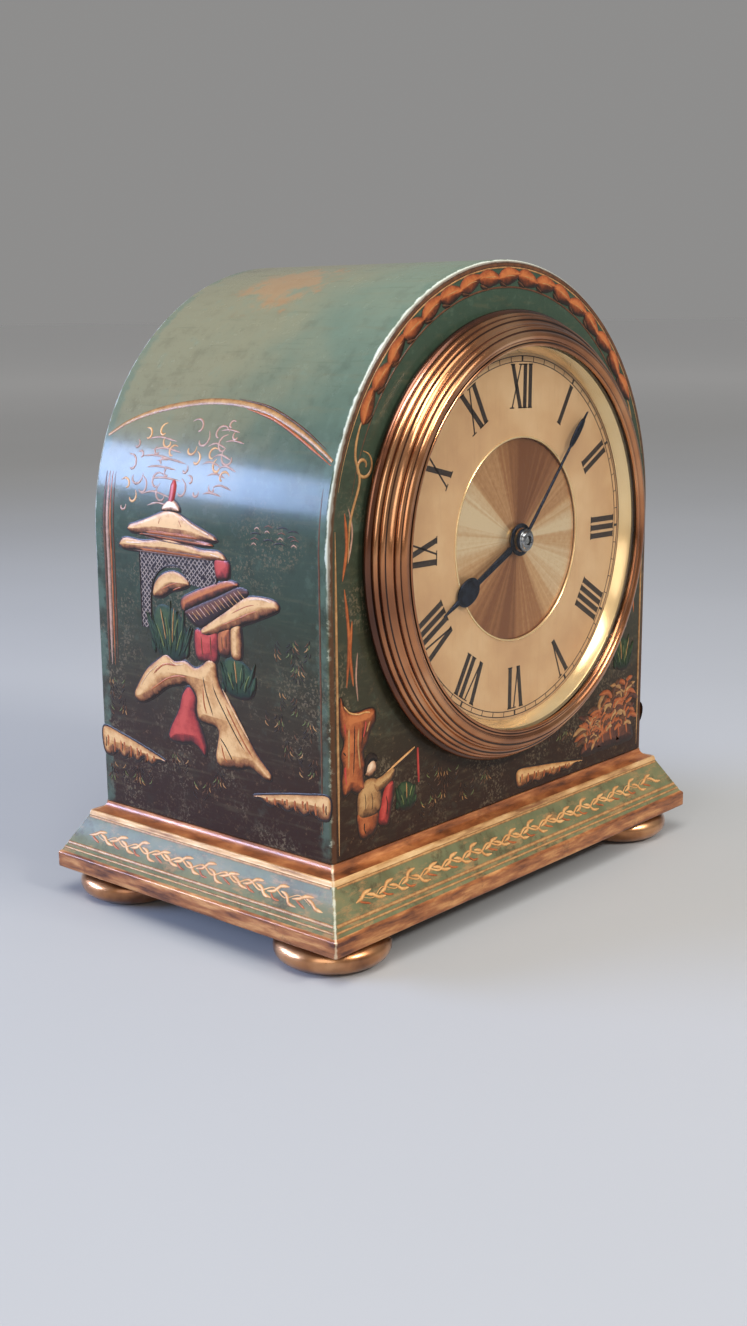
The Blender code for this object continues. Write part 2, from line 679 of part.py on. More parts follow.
def make_case():
    outer = arch_outline(ARCH_RADIUS, CASE_BOTTOM, ARCH_Z)
    inner = arch_outline(ARCH_RADIUS - CASE_WALL, CASE_BOTTOM, ARCH_Z)
    inside_front = CASE_FRONT + PANEL_THICKNESS
    inside_back = CASE_BACK - PANEL_THICKNESS
    shell = stack_mesh([(outer + inner[::-1], inside_front + GAP, inside_back - GAP)])
    place_object("case_shell", shell, LACQUER, (0.0, 0.0, 0.0))
    hole = circle(PANEL_HOLE_RADIUS, LARGE_SIDES, (0.0, DIAL_Z))
    panels = (("front_panel", CASE_FRONT, inside_front), ("back_panel", inside_back, CASE_BACK))
    for name, start, end in panels:
        panel = stack_mesh([(outer, start, end, hole)])
        place_object(name, panel, LACQUER, (0.0, 0.0, 0.0))
    board_x = ARCH_RADIUS - CASE_WALL - GAP
    board_y = inside_back - GAP
    box("base_board", BOARD, (-board_x, -board_y, CASE_BOTTOM),
        (board_x, board_y, CASE_BOTTOM + BASE_BOARD_THICKNESS))


def plinth_profile():
    """(overhang, height) up the outside of the plinth."""
    edge_top = PLINTH_BOTTOM + PLINTH_EDGE_HEIGHT
    frieze_top = edge_top + PLINTH_FRIEZE_HEIGHT
    fillet_top = frieze_top + PLINTH_FILLET_HEIGHT
    profile = [(PLINTH_OVERHANG, PLINTH_BOTTOM), (PLINTH_OVERHANG, edge_top),
               (PLINTH_COVE_OVERHANG, frieze_top), (PLINTH_COVE_OVERHANG, fillet_top)]
    steps = 3
    for k in range(1, steps + 1):
        angle = pi / 2 * k / steps
        profile.append((PLINTH_COVE_OVERHANG * (1 - sin(angle)),
                        fillet_top + (PLINTH_COVE_HEIGHT - GAP) * (1 - cos(angle))))
    return profile


def make_plinth():
    """A mitred moulding round an open middle, with a hole for the stud of each foot."""
    bm = bmesh.new()
    inner_x = CASE_WIDTH / 2 + PLINTH_OVERHANG - PLINTH_RAIL_WIDTH
    inner_y = CASE_DEPTH / 2 + PLINTH_OVERHANG - PLINTH_RAIL_WIDTH
    profile = plinth_profile()

    def corners(half_x, half_y, z):
        return [bm.verts.new((x * half_x, y * half_y, z)) for x, y in ((-1, -1), (1, -1), (1, 1), (-1, 1))]

    loops = [corners(CASE_WIDTH / 2 + out, CASE_DEPTH / 2 + out, z) for out, z in profile]
    loops.append(corners(inner_x, inner_y, profile[-1][1]))
    loops.append(corners(inner_x, inner_y, profile[0][1]))
    for k in range(len(loops)):
        wall_between(bm, loops[k - 1], loops[k])
    plinth = place_object("plinth", bm, FRIEZE, (0.0, 0.0, 0.0))
    for x, y in foot_places().values():
        hole = [(0.0, PLINTH_BOTTOM - CUT), (FOOT_STUD_RADIUS + GAP, PLINTH_BOTTOM - CUT),
                (FOOT_STUD_RADIUS + GAP, PLINTH_BOTTOM + FOOT_STUD_LENGTH + GAP),
                (0.0, PLINTH_BOTTOM + FOOT_STUD_LENGTH + GAP)]
        combine(plinth, tool(turned_mesh(hole, PIPE_SIDES, "Z"), (x, y, 0.0)), "DIFFERENCE")


def foot_places():
    """The feet stand under the corners of the plinth, each just inside its edges."""
    x = CASE_WIDTH / 2 + PLINTH_OVERHANG - FOOT_RADIUS
    y = CASE_DEPTH / 2 + PLINTH_OVERHANG - FOOT_RADIUS
    return {"foot_front_left": (-x, -y), "foot_front_right": (x, -y),
            "foot_back_left": (-x, y), "foot_back_right": (x, y)}


def make_feet():
    """Turned bun feet, flat below, each with a stud that goes up into the plinth."""
    top = FOOT_HEIGHT - GAP
    belly = top * FOOT_BELLY_SHARE
    flat = FOOT_RADIUS * FOOT_FLAT_SHARE
    profile = [(0.0, 0.0), (flat, 0.0)]
    steps = 6
    for k in range(1, steps):
        angle = -pi / 2 + pi * k / steps
        half_height = belly if angle < 0 else top - belly
        profile.append((flat + (FOOT_RADIUS - flat) * cos(angle), belly + half_height * sin(angle)))
    profile += [(flat, top), (FOOT_STUD_RADIUS, top),
                (FOOT_STUD_RADIUS, top + FOOT_STUD_LENGTH), (0.0, top + FOOT_STUD_LENGTH)]
    for name, (x, y) in foot_places().items():
        turned(name, BRASS, (x, y, 0.0), profile[::-1], FOOT_SIDES, "Z")


# Bezel, glass and dial

def make_bezel():
    """A stepped ring of reeds that narrows to a polished crest, with a lip that holds the glass."""
    bore = GLASS_RADIUS + GAP
    base = BEZEL_RADIUS - BEZEL_UNDERCUT
    first_y = BEZEL_BACK - BEZEL_UNDERCUT
    steps = BEZEL_REEDS + 1
    step_r = (BEZEL_RADIUS - BEZEL_CREST_RADIUS) / BEZEL_REEDS
    step_y = (BEZEL_FRONT - first_y) / steps
    groove = REED_ROUNDING * abs(step_y)
    profile = [(bore, BEZEL_BACK), (base, BEZEL_BACK), (base, first_y)]
    for k in range(steps):
        radius = BEZEL_RADIUS - k * step_r
        start = first_y + k * step_y
        profile += [(radius, start - groove), (radius, start + step_y + groove),
                    (radius - step_r / 2, start + step_y)]
    crest_inner = (BEZEL_CREST_RADIUS + SIGHT_RADIUS) / 2
    profile[-1] = (crest_inner, BEZEL_FRONT)
    profile += [(SIGHT_RADIUS, BEZEL_FRONT + BEZEL_LIP), (bore, BEZEL_FRONT + BEZEL_LIP)]
    turned("front_bezel", BRASS, (0.0, 0.0, DIAL_Z), profile, LARGE_SIDES)


def make_glass_and_dial():
    centre = (0.0, 0.0, DIAL_Z)
    glass = [(0.0, GLASS_FRONT), (GLASS_RADIUS, GLASS_FRONT), (GLASS_RADIUS, GLASS_BACK), (0.0, GLASS_BACK)]
    turned("bezel_glass", GLASS, centre, glass[::-1], LARGE_SIDES)
    sight = [(GLASS_RADIUS, SIGHT_FRONT), (SIGHT_RADIUS, SIGHT_FRONT),
             (DIAL_SIGHT_RADIUS, SIGHT_BACK), (GLASS_RADIUS, SIGHT_BACK)]
    turned("sight_ring", BRASS, centre, sight[::-1], LARGE_SIDES)
    chapter = [(GLASS_RADIUS, CHAPTER_FRONT), (CHAPTER_INNER_RADIUS, CHAPTER_FRONT),
               (CHAPTER_INNER_RADIUS, CHAPTER_BACK), (GLASS_RADIUS, CHAPTER_BACK)]
    turned("chapter_ring", SILVERED, centre, chapter[::-1], LARGE_SIDES)
    foot_end = FRONT_PLATE_FRONT - GAP
    feet = [(circle(DIAL_FOOT_RADIUS, SHAFT_SIDES, place), foot_end) for place in DIAL_FEET]
    hole = circle(HOUR_PIPE_RADIUS + GAP, PIPE_SIDES)
    stack("dial_plate", GILT, CENTRE, [(circle(GLASS_RADIUS, LARGE_SIDES), DIAL_FRONT, DIAL_BACK, hole)],
          back_bosses=feet)


# Movement frame

def plate_holes(radii):
    return [circle(radius, SHAFT_SIDES, axis) for axis, radius in radii]


def make_plates():
    """Front plate with the post of the minute wheel, back plate with the stud of the click."""
    pivot = PIVOT_RADIUS + GAP
    shared = [(INTERMEDIATE, pivot), (THIRD, pivot), (FOURTH, pivot)]
    shared += [(place, PILLAR_SPIGOT_RADIUS + GAP) for place in PILLARS]
    front = plate_holes(shared + [(ESCAPE, pivot), (BARREL, PIVOT_RADIUS * 2 + GAP)])
    front_bore = circle(CENTRE_ARBOR_RADIUS + GAP, SHAFT_SIDES)
    post_end = MINUTE_PINION_FRONT - MINUTE_POST_STICK_OUT
    stack("front_plate", BRASS, CENTRE,
          [(circle(PLATE_RADIUS, LARGE_SIDES), FRONT_PLATE_FRONT, FRONT_PLATE_BACK, front_bore, front)],
          front_bosses=[(circle(MINUTE_POST_RADIUS, SHAFT_SIDES, MINUTE_WHEEL), post_end)])
    back = plate_holes(shared + [(ESCAPE, ESCAPE_ARBOR_RADIUS + GAP), (BARREL, BARREL_ARBOR_RADIUS + GAP)])
    stud_end = BACK_PLATE_BACK + GAP + RATCHET_THICKNESS + GAP
    stack("back_plate", BRASS, CENTRE,
          [(circle(PLATE_RADIUS, LARGE_SIDES), BACK_PLATE_FRONT, BACK_PLATE_BACK, front_bore, back)],
          back_bosses=[(circle(CLICK_STUD_RADIUS, SHAFT_SIDES, CLICK), stud_end)])


def make_pillars():
    profile = [(0.0, BACK_PLATE_BACK), (PILLAR_SPIGOT_RADIUS, BACK_PLATE_BACK),
               (PILLAR_SPIGOT_RADIUS, BACK_PLATE_FRONT - GAP), (PILLAR_RADIUS, BACK_PLATE_FRONT - GAP),
               (PILLAR_RADIUS, FRONT_PLATE_BACK + GAP), (PILLAR_SPIGOT_RADIUS, FRONT_PLATE_BACK + GAP),
               (PILLAR_SPIGOT_RADIUS, FRONT_PLATE_FRONT), (0.0, FRONT_PLATE_FRONT)]
    for number, (x, z) in enumerate(PILLARS, start=1):
        turned(f"pillar_{number}", BRASS, (x, 0.0, DIAL_Z + z), profile, SHAFT_SIDES)


def make_straps():
    """Two straps tie the dial to the ring on the back of the case."""
    front = DIAL_BACK + GAP
    back = REAR_RING_FRONT - GAP
    outside = STRAP_RADIUS + STRAP_THICKNESS
    foot_out = sqrt((PANEL_HOLE_RADIUS - GAP) ** 2 - (STRAP_WIDTH / 2) ** 2) - GAP
    outline = [(STRAP_RADIUS - STRAP_FOOT, front), (outside, front), (outside, back - STRAP_THICKNESS),
               (foot_out, back - STRAP_THICKNESS), (foot_out, back), (STRAP_RADIUS, back),
               (STRAP_RADIUS, front + STRAP_THICKNESS), (STRAP_RADIUS - STRAP_FOOT, front + STRAP_THICKNESS)]
    for name, side in (("movement_strap_left", -1), ("movement_strap_right", 1)):
        bm = bmesh.new()
        low = [bm.verts.new((side * x, y, -STRAP_WIDTH / 2)) for x, y in outline]
        high = [bm.verts.new((side * x, y, STRAP_WIDTH / 2)) for x, y in outline]
        wall_between(bm, low, high)
        bm.faces.new(low)
        bm.faces.new(high)
        place_object(name, bm, BRASS, (0.0, 0.0, DIAL_Z))


# Hands and motion work

def hand_outline(hub, length, swell_at, swell_length, swell_width):
    """A slim hand pointing up: round hub, thin stem, one swelling and a fine point."""
    half = HAND_STEM / 2
    right = []
    hub_start = atan2(half, hub)
    steps = 9
    for k in range(steps + 1):
        angle = -pi / 2 + (pi - hub_start) * k / steps
        right.append((hub * cos(angle), hub * sin(angle)))
    swell_steps = 6
    start = pi - atan2(half, swell_width / 2)
    for k in range(swell_steps + 1):
        angle = start + (atan2(half, swell_width) - start) * k / swell_steps
        width = max(half * HAND_POINT_SHARE, swell_width / 2 * sin(angle))
        right.append((width, swell_at + swell_length / 2 * cos(angle)))
    left = [(-x, z) for x, z in right[1:][::-1]]
    return right + [(0.0, length)] + left


def make_hands():
    hour_bore = HOUR_PIPE_RADIUS + GAP
    hour = hand_outline(hour_bore + HOUR_HUB_WIDTH, HOUR_HAND_LENGTH, HOUR_HAND_LENGTH - HOUR_MOON_FROM_TIP,
                        HOUR_MOON_LENGTH, HOUR_MOON_WIDTH)
    stack("hour_hand", BLUED, CENTRE,
          [(turned_to(hour, HOUR_HAND_DEG), HOUR_HAND_FRONT, HOUR_HAND_BACK, circle(hour_bore, PIPE_SIDES))])
    minute_bore = CANNON_PIPE_RADIUS + GAP
    minute = hand_outline(minute_bore + MINUTE_HUB_WIDTH, MINUTE_HAND_LENGTH,
                          MINUTE_HAND_LENGTH - MINUTE_LEAF_FROM_TIP, MINUTE_LEAF_LENGTH, MINUTE_LEAF_WIDTH)
    stack("minute_hand", BLUED, CENTRE,
          [(turned_to(minute, MINUTE_HAND_DEG), MINUTE_HAND_FRONT, MINUTE_HAND_BACK,
            circle(minute_bore, PIPE_SIDES))])
    bore = CENTRE_ARBOR_RADIUS + GAP
    rim = bore + COLLET_WIDTH
    back = MINUTE_HAND_FRONT - GAP
    collet = [(bore, COLLET_FRONT), (rim - COLLET_ROUND, COLLET_FRONT), (rim, (COLLET_FRONT + back) / 2),
              (rim, back), (bore, back)]
    turned("hand_collet", STEEL, (0.0, 0.0, DIAL_Z), collet, PIPE_SIDES)


def make_motion_work():
    arbor_bore = circle(CENTRE_ARBOR_RADIUS + GAP, SHAFT_SIDES)
    pipe = circle(CANNON_PIPE_RADIUS, PIPE_SIDES)
    leaves_front = MINUTE_WHEEL_FRONT - MOTION_LEAF_OVERLAP
    leaves_back = MINUTE_WHEEL_BACK + MOTION_LEAF_OVERLAP
    cannon = pinion_outline(CANNON_LEAVES, MOTION_MODULE)
    stack("cannon_pinion", STEEL, CENTRE,
          [(pipe, MINUTE_HAND_FRONT + PIPE_STICK_OUT, leaves_front, arbor_bore),
           (cannon, leaves_front, leaves_back, arbor_bore),
           (pipe, leaves_back, FRONT_PLATE_FRONT - GAP, arbor_bore)])
    phase = mesh_phase(CENTRE, MINUTE_WHEEL, CANNON_LEAVES, MINUTE_TEETH)
    post_bore = circle(MINUTE_POST_RADIUS + GAP, SHAFT_SIDES)
    leaves = pinion_outline(MINUTE_LEAVES, MOTION_MODULE)
    teeth = wheel_outline(MINUTE_TEETH, MOTION_MODULE, phase)
    stack("minute_wheel", BRASS, MINUTE_WHEEL,
          [(leaves, MINUTE_PINION_FRONT, MINUTE_WHEEL_FRONT, post_bore),
           (teeth, MINUTE_WHEEL_FRONT, MINUTE_WHEEL_BACK, post_bore)])
    hour_phase = mesh_phase(MINUTE_WHEEL, CENTRE, MINUTE_LEAVES, HOUR_TEETH)
    hour_bore = circle(CANNON_PIPE_RADIUS + GAP, PIPE_SIDES)
    teeth = wheel_outline(HOUR_TEETH, MOTION_MODULE, hour_phase)
    hour_pipe = circle(HOUR_PIPE_RADIUS, PIPE_SIDES)
    stack("hour_wheel", BRASS, CENTRE,
          [(hour_pipe, HOUR_HAND_FRONT - PIPE_STICK_OUT, HOUR_WHEEL_FRONT, hour_bore),
           (teeth, HOUR_WHEEL_FRONT, HOUR_WHEEL_BACK, hour_bore)])


def make_centre_arbor():
    knob_front = BACK_PLATE_BACK + SET_KNOB_STAND_OFF
    knob_back = knob_front + SET_KNOB_LENGTH
    arbor_end = knob_back - SET_KNOB_CAP
    arbor = [(circle(CENTRE_ARBOR_RADIUS, SHAFT_SIDES), COLLET_FRONT + PIPE_STICK_OUT, arbor_end)]
    stack("centre_arbor", STEEL, CENTRE, arbor)
    bore = CENTRE_ARBOR_RADIUS + GAP
    head = knob_front + SET_KNOB_NECK_LENGTH
    rounded = SET_KNOB_RADIUS - SET_KNOB_ROUND
    knob = [(0.0, knob_back), (rounded, knob_back), (SET_KNOB_RADIUS, knob_back - SET_KNOB_ROUND),
            (SET_KNOB_RADIUS, head + SET_KNOB_ROUND), (rounded, head), (SET_KNOB_NECK_RADIUS, head),
            (SET_KNOB_NECK_RADIUS, knob_front), (bore, knob_front), (bore, arbor_end + GAP),
            (0.0, arbor_end + GAP)]
    turned("set_knob", BRASS, (0.0, 0.0, DIAL_Z), knob, FOOT_SIDES)


# Going train

def layer(offset):
    return FRONT_PLATE_BACK + offset


def train_arbor(name, axis, wheel_layer, pinion_layer, pinion, radius):
    """An arbor with its pinion, a collar that backs its wheel, and a pivot in each plate."""
    pivot = circle(PIVOT_RADIUS, SHAFT_SIDES)
    shaft = circle(radius, SHAFT_SIDES)
    collar = circle(radius + COLLAR_STEP, SHAFT_SIDES)
    pinion_start = layer(pinion_layer) + WHEEL_THICKNESS / 2 - PINION_LENGTH / 2
    pinion_end = pinion_start + PINION_LENGTH
    collar_start = layer(wheel_layer) + WHEEL_THICKNESS + GAP
    collar_end = collar_start + COLLAR_LENGTH
    shoulder_front = FRONT_PLATE_BACK + GAP
    shoulder_back = BACK_PLATE_FRONT - GAP
    parts = [(pinion_start, pinion_end, pinion), (collar_start, collar_end, collar)]
    parts.sort(key=lambda part: part[0])
    sections = [(pivot, FRONT_PLATE_FRONT, shoulder_front)]
    here = shoulder_front
    for start, end, outline in parts:
        sections += [(shaft, here, start), (outline, start, end)]
        here = end
    sections += [(shaft, here, shoulder_back), (pivot, shoulder_back, BACK_PLATE_BACK)]
    stack(name, STEEL, axis, sections)


def train_wheel(name, axis, teeth, module, wheel_layer, arbor_radius):
    bore = arbor_radius + GAP
    windows = crossings(bore + WHEEL_HUB, wheel_root(teeth, module) - WHEEL_RIM)
    stack(name, BRASS, axis,
          [(wheel_outline(teeth, module), layer(wheel_layer), layer(wheel_layer) + WHEEL_THICKNESS,
            circle(bore, SHAFT_SIDES), windows)])


def make_train():
    phase = mesh_phase(BARREL, INTERMEDIATE, GREAT_TEETH, INTERMEDIATE_LEAVES)
    pinion = pinion_outline(INTERMEDIATE_LEAVES, GREAT_MODULE, phase)
    pinion_layer = GREAT_LAYER + GREAT_THICKNESS / 2 - WHEEL_THICKNESS / 2
    train_arbor("intermediate_arbor", INTERMEDIATE, INTERMEDIATE_LAYER, pinion_layer, pinion,
                HEAVY_ARBOR_RADIUS)
    train_wheel("intermediate_wheel", INTERMEDIATE, INTERMEDIATE_TEETH, INTERMEDIATE_MODULE,
                INTERMEDIATE_LAYER, HEAVY_ARBOR_RADIUS)

    phase = mesh_phase(INTERMEDIATE, CENTRE, INTERMEDIATE_TEETH, CENTRE_LEAVES)
    pinion = pinion_outline(CENTRE_LEAVES, INTERMEDIATE_MODULE, phase)
    bore = circle(CENTRE_ARBOR_RADIUS + GAP, SHAFT_SIDES)
    hub = INTERMEDIATE_MODULE * (CENTRE_LEAVES / 2 - LEAF_DEDENDUM) - HUB_SHOULDER
    pipe = circle(hub, SHAFT_SIDES)
    leaf_start = layer(INTERMEDIATE_LAYER) + WHEEL_THICKNESS / 2 - PINION_LENGTH / 2
    leaf_end = leaf_start + PINION_LENGTH
    wheel_start = layer(CENTRE_LAYER)
    wheel_end = wheel_start + WHEEL_THICKNESS
    windows = crossings(CENTRE_ARBOR_RADIUS + GAP + CENTRE_HUB,
                        wheel_root(CENTRE_TEETH, CENTRE_MODULE) - WHEEL_RIM)
    stack("centre_wheel", BRASS, CENTRE,
          [(pipe, FRONT_PLATE_BACK + GAP, leaf_start, bore),
           (pinion, leaf_start, leaf_end, bore),
           (pipe, leaf_end, wheel_start, bore),
           (wheel_outline(CENTRE_TEETH, CENTRE_MODULE), wheel_start, wheel_end, bore, windows),
           (pipe, wheel_end, BACK_PLATE_FRONT - GAP, bore)])

    phase = mesh_phase(CENTRE, THIRD, CENTRE_TEETH, THIRD_LEAVES)
    pinion = pinion_outline(THIRD_LEAVES, CENTRE_MODULE, phase)
    train_arbor("third_arbor", THIRD, THIRD_LAYER, CENTRE_LAYER, pinion, TRAIN_ARBOR_RADIUS)
    train_wheel("third_wheel", THIRD, THIRD_TEETH, THIRD_MODULE, THIRD_LAYER, TRAIN_ARBOR_RADIUS)

    phase = mesh_phase(THIRD, FOURTH, THIRD_TEETH, FOURTH_LEAVES)
    pinion = pinion_outline(FOURTH_LEAVES, THIRD_MODULE, phase)
    train_arbor("fourth_arbor", FOURTH, FOURTH_LAYER, THIRD_LAYER, pinion, TRAIN_ARBOR_RADIUS)
    train_wheel("fourth_wheel", FOURTH, FOURTH_TEETH, FOURTH_MODULE, FOURTH_LAYER, TRAIN_ARBOR_RADIUS)


# Barrel, winding work and click

BARREL_RADIUS = wheel_root(GREAT_TEETH, GREAT_MODULE) - BARREL_STEP
DRUM_START = layer(GREAT_LAYER) + GREAT_THICKNESS
DRUM_END = layer(INTERMEDIATE_LAYER) - BARREL_CLEARANCE
COVER_START = DRUM_END - BARREL_COVER_THICKNESS - GAP
RATCHET_START = BACK_PLATE_BACK + GAP
RATCHET_END = RATCHET_START + RATCHET_THICKNESS
KEY_START = BACK_PLATE_BACK + KEY_STAND_OFF
KEY_HUB_END = KEY_START + KEY_HUB_LENGTH


def spiral_points(turns, start, end, per_turn):
    count = turns * per_turn
    return [polar(start + (end - start) * k / count, 360.0 * k / per_turn) for k in range(count + 1)]


def least_gap(points, thickness, per_turn):
    """Smallest clear distance between stretches of a spiral that lie a turn or so apart."""
    gaps = []
    for k, here in enumerate(points):
        for there in points[k + per_turn // 2:]:
            gaps.append(hypot(here[0] - there[0], here[1] - there[1]) - thickness)
    return min(gaps)


def make_barrel():
    arbor_bore = circle(BARREL_ARBOR_RADIUS + GAP, PIPE_SIDES)
    inside = BARREL_RADIUS - BARREL_WALL
    stack("barrel", BRASS, BARREL,
          [(wheel_outline(GREAT_TEETH, GREAT_MODULE), layer(GREAT_LAYER), DRUM_START, arbor_bore),
           (circle(BARREL_RADIUS, DRUM_SIDES), DRUM_START, DRUM_END, circle(inside, DRUM_SIDES))])
    cover = [(circle(inside - GAP, DRUM_SIDES), COVER_START, DRUM_END - GAP, arbor_bore)]
    stack("barrel_cover", BRASS, BARREL, cover)
    per_turn = 24
    half = MAINSPRING_THICKNESS / 2
    inner = BARREL_CORE_RADIUS + GAP + half
    outer = inside - 2 * GAP - half
    middle = spiral_points(MAINSPRING_TURNS, inner, outer, per_turn)
    print("mainspring least gap to itself, mm:", round(least_gap(middle, MAINSPRING_THICKNESS, per_turn), 2))
    near = spiral_points(MAINSPRING_TURNS, inner - half, outer - half, per_turn)
    far = spiral_points(MAINSPRING_TURNS, inner + half, outer + half, per_turn)
    bm = bmesh.new()
    y_start = DRUM_START + GAP
    y_end = COVER_START - GAP
    rows = [[bm.verts.new((x, y, z)) for x, z in points]
            for points, y in ((near, y_start), (far, y_start), (far, y_end), (near, y_end))]
    for row in range(4):
        first = rows[row - 1]
        second = rows[row]
        for k in range(len(first) - 1):
            bm.faces.new((first[k], first[k + 1], second[k + 1], second[k]))
    bm.faces.new([row[0] for row in rows])
    bm.faces.new([row[-1] for row in rows])
    place_object("mainspring", bm, STEEL, (BARREL[0], 0.0, DIAL_Z + BARREL[1]))


def make_winding():
    shaft = circle(BARREL_ARBOR_RADIUS, PIPE_SIDES)
    stack("barrel_arbor", STEEL, BARREL,
          [(circle(PIVOT_RADIUS * 2, PIPE_SIDES), FRONT_PLATE_FRONT, FRONT_PLATE_BACK + GAP),
           (shaft, FRONT_PLATE_BACK + GAP, DRUM_START + GAP),
           (circle(BARREL_CORE_RADIUS, PIPE_SIDES), DRUM_START + GAP, COVER_START - GAP),
           (shaft, COVER_START - GAP, RATCHET_START - GAP / 2),
           (square(WINDING_SQUARE), RATCHET_START - GAP / 2, KEY_HUB_END - KEY_SOCKET_FLOOR - GAP)])
    square_hole = square(WINDING_SQUARE + 2 * GAP)
    teeth = []
    step = 2 * pi / RATCHET_TEETH
    root = RATCHET_RADIUS - RATCHET_TOOTH_DEPTH
    for k in range(RATCHET_TEETH):
        for radius, angle in ((root, k * step), (RATCHET_RADIUS, (k + RATCHET_SLANT) * step)):
            teeth.append((radius * cos(angle), radius * sin(angle)))
    stack("ratchet_wheel", STEEL, BARREL, [(teeth, RATCHET_START, RATCHET_END, square_hole)])
    make_key()


def make_key():
    """A butterfly key: a hub on the winding square and a flat bow with two finger holes."""
    arm = KEY_SPAN / 2 - KEY_BOW_LENGTH / 2
    bow_middle = KEY_HUB_END + KEY_BOW_LENGTH / 2 - KEY_BOW_SEAT
    bow_outline = oblong((-arm, 0.0), (arm, 0.0), KEY_BOW_LENGTH / 2, 8)
    finger_radius = KEY_BOW_LENGTH / 2 - KEY_BOW_RIM
    fingers = [circle(finger_radius, PIPE_SIDES, (side * arm, 0.0)) for side in (-1, 1)]
    bow = stack_mesh([(bow_outline, -KEY_BOW_THICKNESS / 2, KEY_BOW_THICKNESS / 2, None, fingers)])
    bmesh.ops.rotate(bow, cent=(0, 0, 0), matrix=Matrix.Rotation(pi / 2, 3, "X"), verts=bow.verts)
    bmesh.ops.translate(bow, vec=(0.0, bow_middle, 0.0), verts=bow.verts)
    socket_end = KEY_HUB_END - KEY_SOCKET_FLOOR
    socket = square(WINDING_SQUARE + 2 * GAP)
    hub = stack("winding_key", BRASS, BARREL,
                [(circle(KEY_HUB_RADIUS, PIPE_SIDES), KEY_START, socket_end, socket),
                 (circle(KEY_HUB_RADIUS - KEY_SHOULDER, PIPE_SIDES), socket_end, KEY_HUB_END + KEY_BOW_SEAT)])
    combine(hub, tool(bow, hub.location / MM), "UNION")


def make_click():
    tip = polar(RATCHET_RADIUS + GAP + CLICK_TIP_GAP, CLICK_TIP_DEG, BARREL)
    tip = (tip[0] - CLICK[0], tip[1] - CLICK[1])
    reach = hypot(*tip)
    way = atan2(tip[1], tip[0])
    start = acos_share(CLICK_RADIUS / reach)
    outline = []
    steps = 8
    for k in range(steps + 1):
        angle = way + start + (2 * pi - 2 * start) * k / steps
        outline.append((CLICK_RADIUS * cos(angle), CLICK_RADIUS * sin(angle)))
    outline.append(tip)
    stack("click", STEEL, CLICK,
          [(outline, RATCHET_START, RATCHET_END, circle(CLICK_STUD_RADIUS + GAP, SHAFT_SIDES))])
    half_reach = reach / 2
    lifted = half_reach * sin(radians(CLICK_LIFT_DEG))
    contact = (half_reach, CLICK_RADIUS * CLICK_SPRING_SEAT + lifted + GAP)
    spring = ribbon_outline([CLICK_SPRING_FOOT, CLICK_SPRING_BEND, contact], CLICK_SPRING_THICKNESS)
    thing = stack("click_spring", STEEL, CLICK, [(spring, RATCHET_START, RATCHET_END)])
    pad = stack_mesh([(circle(CLICK_SPRING_PAD, SHAFT_SIDES, CLICK_SPRING_FOOT), RATCHET_START, RATCHET_END)])
    combine(thing, tool(pad, thing.location / MM), "UNION")


def acos_share(share):
    return atan2(sqrt(1 - share * share), share)


def ribbon_outline(route, thickness, steps=8):
    """A thin strip along a smooth curve through three points."""
    start, bend, end = route
    left = []
    right = []
    for k in range(steps + 1):
        t = k / steps
        x = (1 - t) ** 2 * start[0] + 2 * t * (1 - t) * bend[0] + t * t * end[0]
        z = (1 - t) ** 2 * start[1] + 2 * t * (1 - t) * bend[1] + t * t * end[1]
        dx = 2 * (1 - t) * (bend[0] - start[0]) + 2 * t * (end[0] - bend[0])
        dz = 2 * (1 - t) * (bend[1] - start[1]) + 2 * t * (end[1] - bend[1])
        size = hypot(dx, dz)
        off = thickness / 2
        left.append((x - dz / size * off, z + dx / size * off))
        right.append((x + dz / size * off, z - dx / size * off))
    return left + right[::-1]


# Escapement, on its own platform behind the back plate

PLATFORM_FRONT = BACK_PLATE_BACK + GAP
PLATFORM_BACK = PLATFORM_FRONT + PLATFORM_THICKNESS
LEVER_FRONT = PLATFORM_BACK + 2 * GAP
LEVER_BACK = LEVER_FRONT + LEVER_THICKNESS
BRIDGE_FRONT = LEVER_BACK + 2 * GAP
BRIDGE_BACK = BRIDGE_FRONT + BRIDGE_THICKNESS
BALANCE_FRONT = BRIDGE_BACK + 2 * GAP
BALANCE_BACK = BALANCE_FRONT + BALANCE_THICKNESS
HAIRSPRING_Y = BALANCE_BACK + HAIRSPRING_CLEARANCE
COCK_FRONT = HAIRSPRING_Y + HAIRSPRING_CLEARANCE
COCK_BACK = COCK_FRONT + COCK_THICKNESS
INDEX_FRONT = COCK_BACK + GAP
INDEX_BACK = INDEX_FRONT + INDEX_THICKNESS


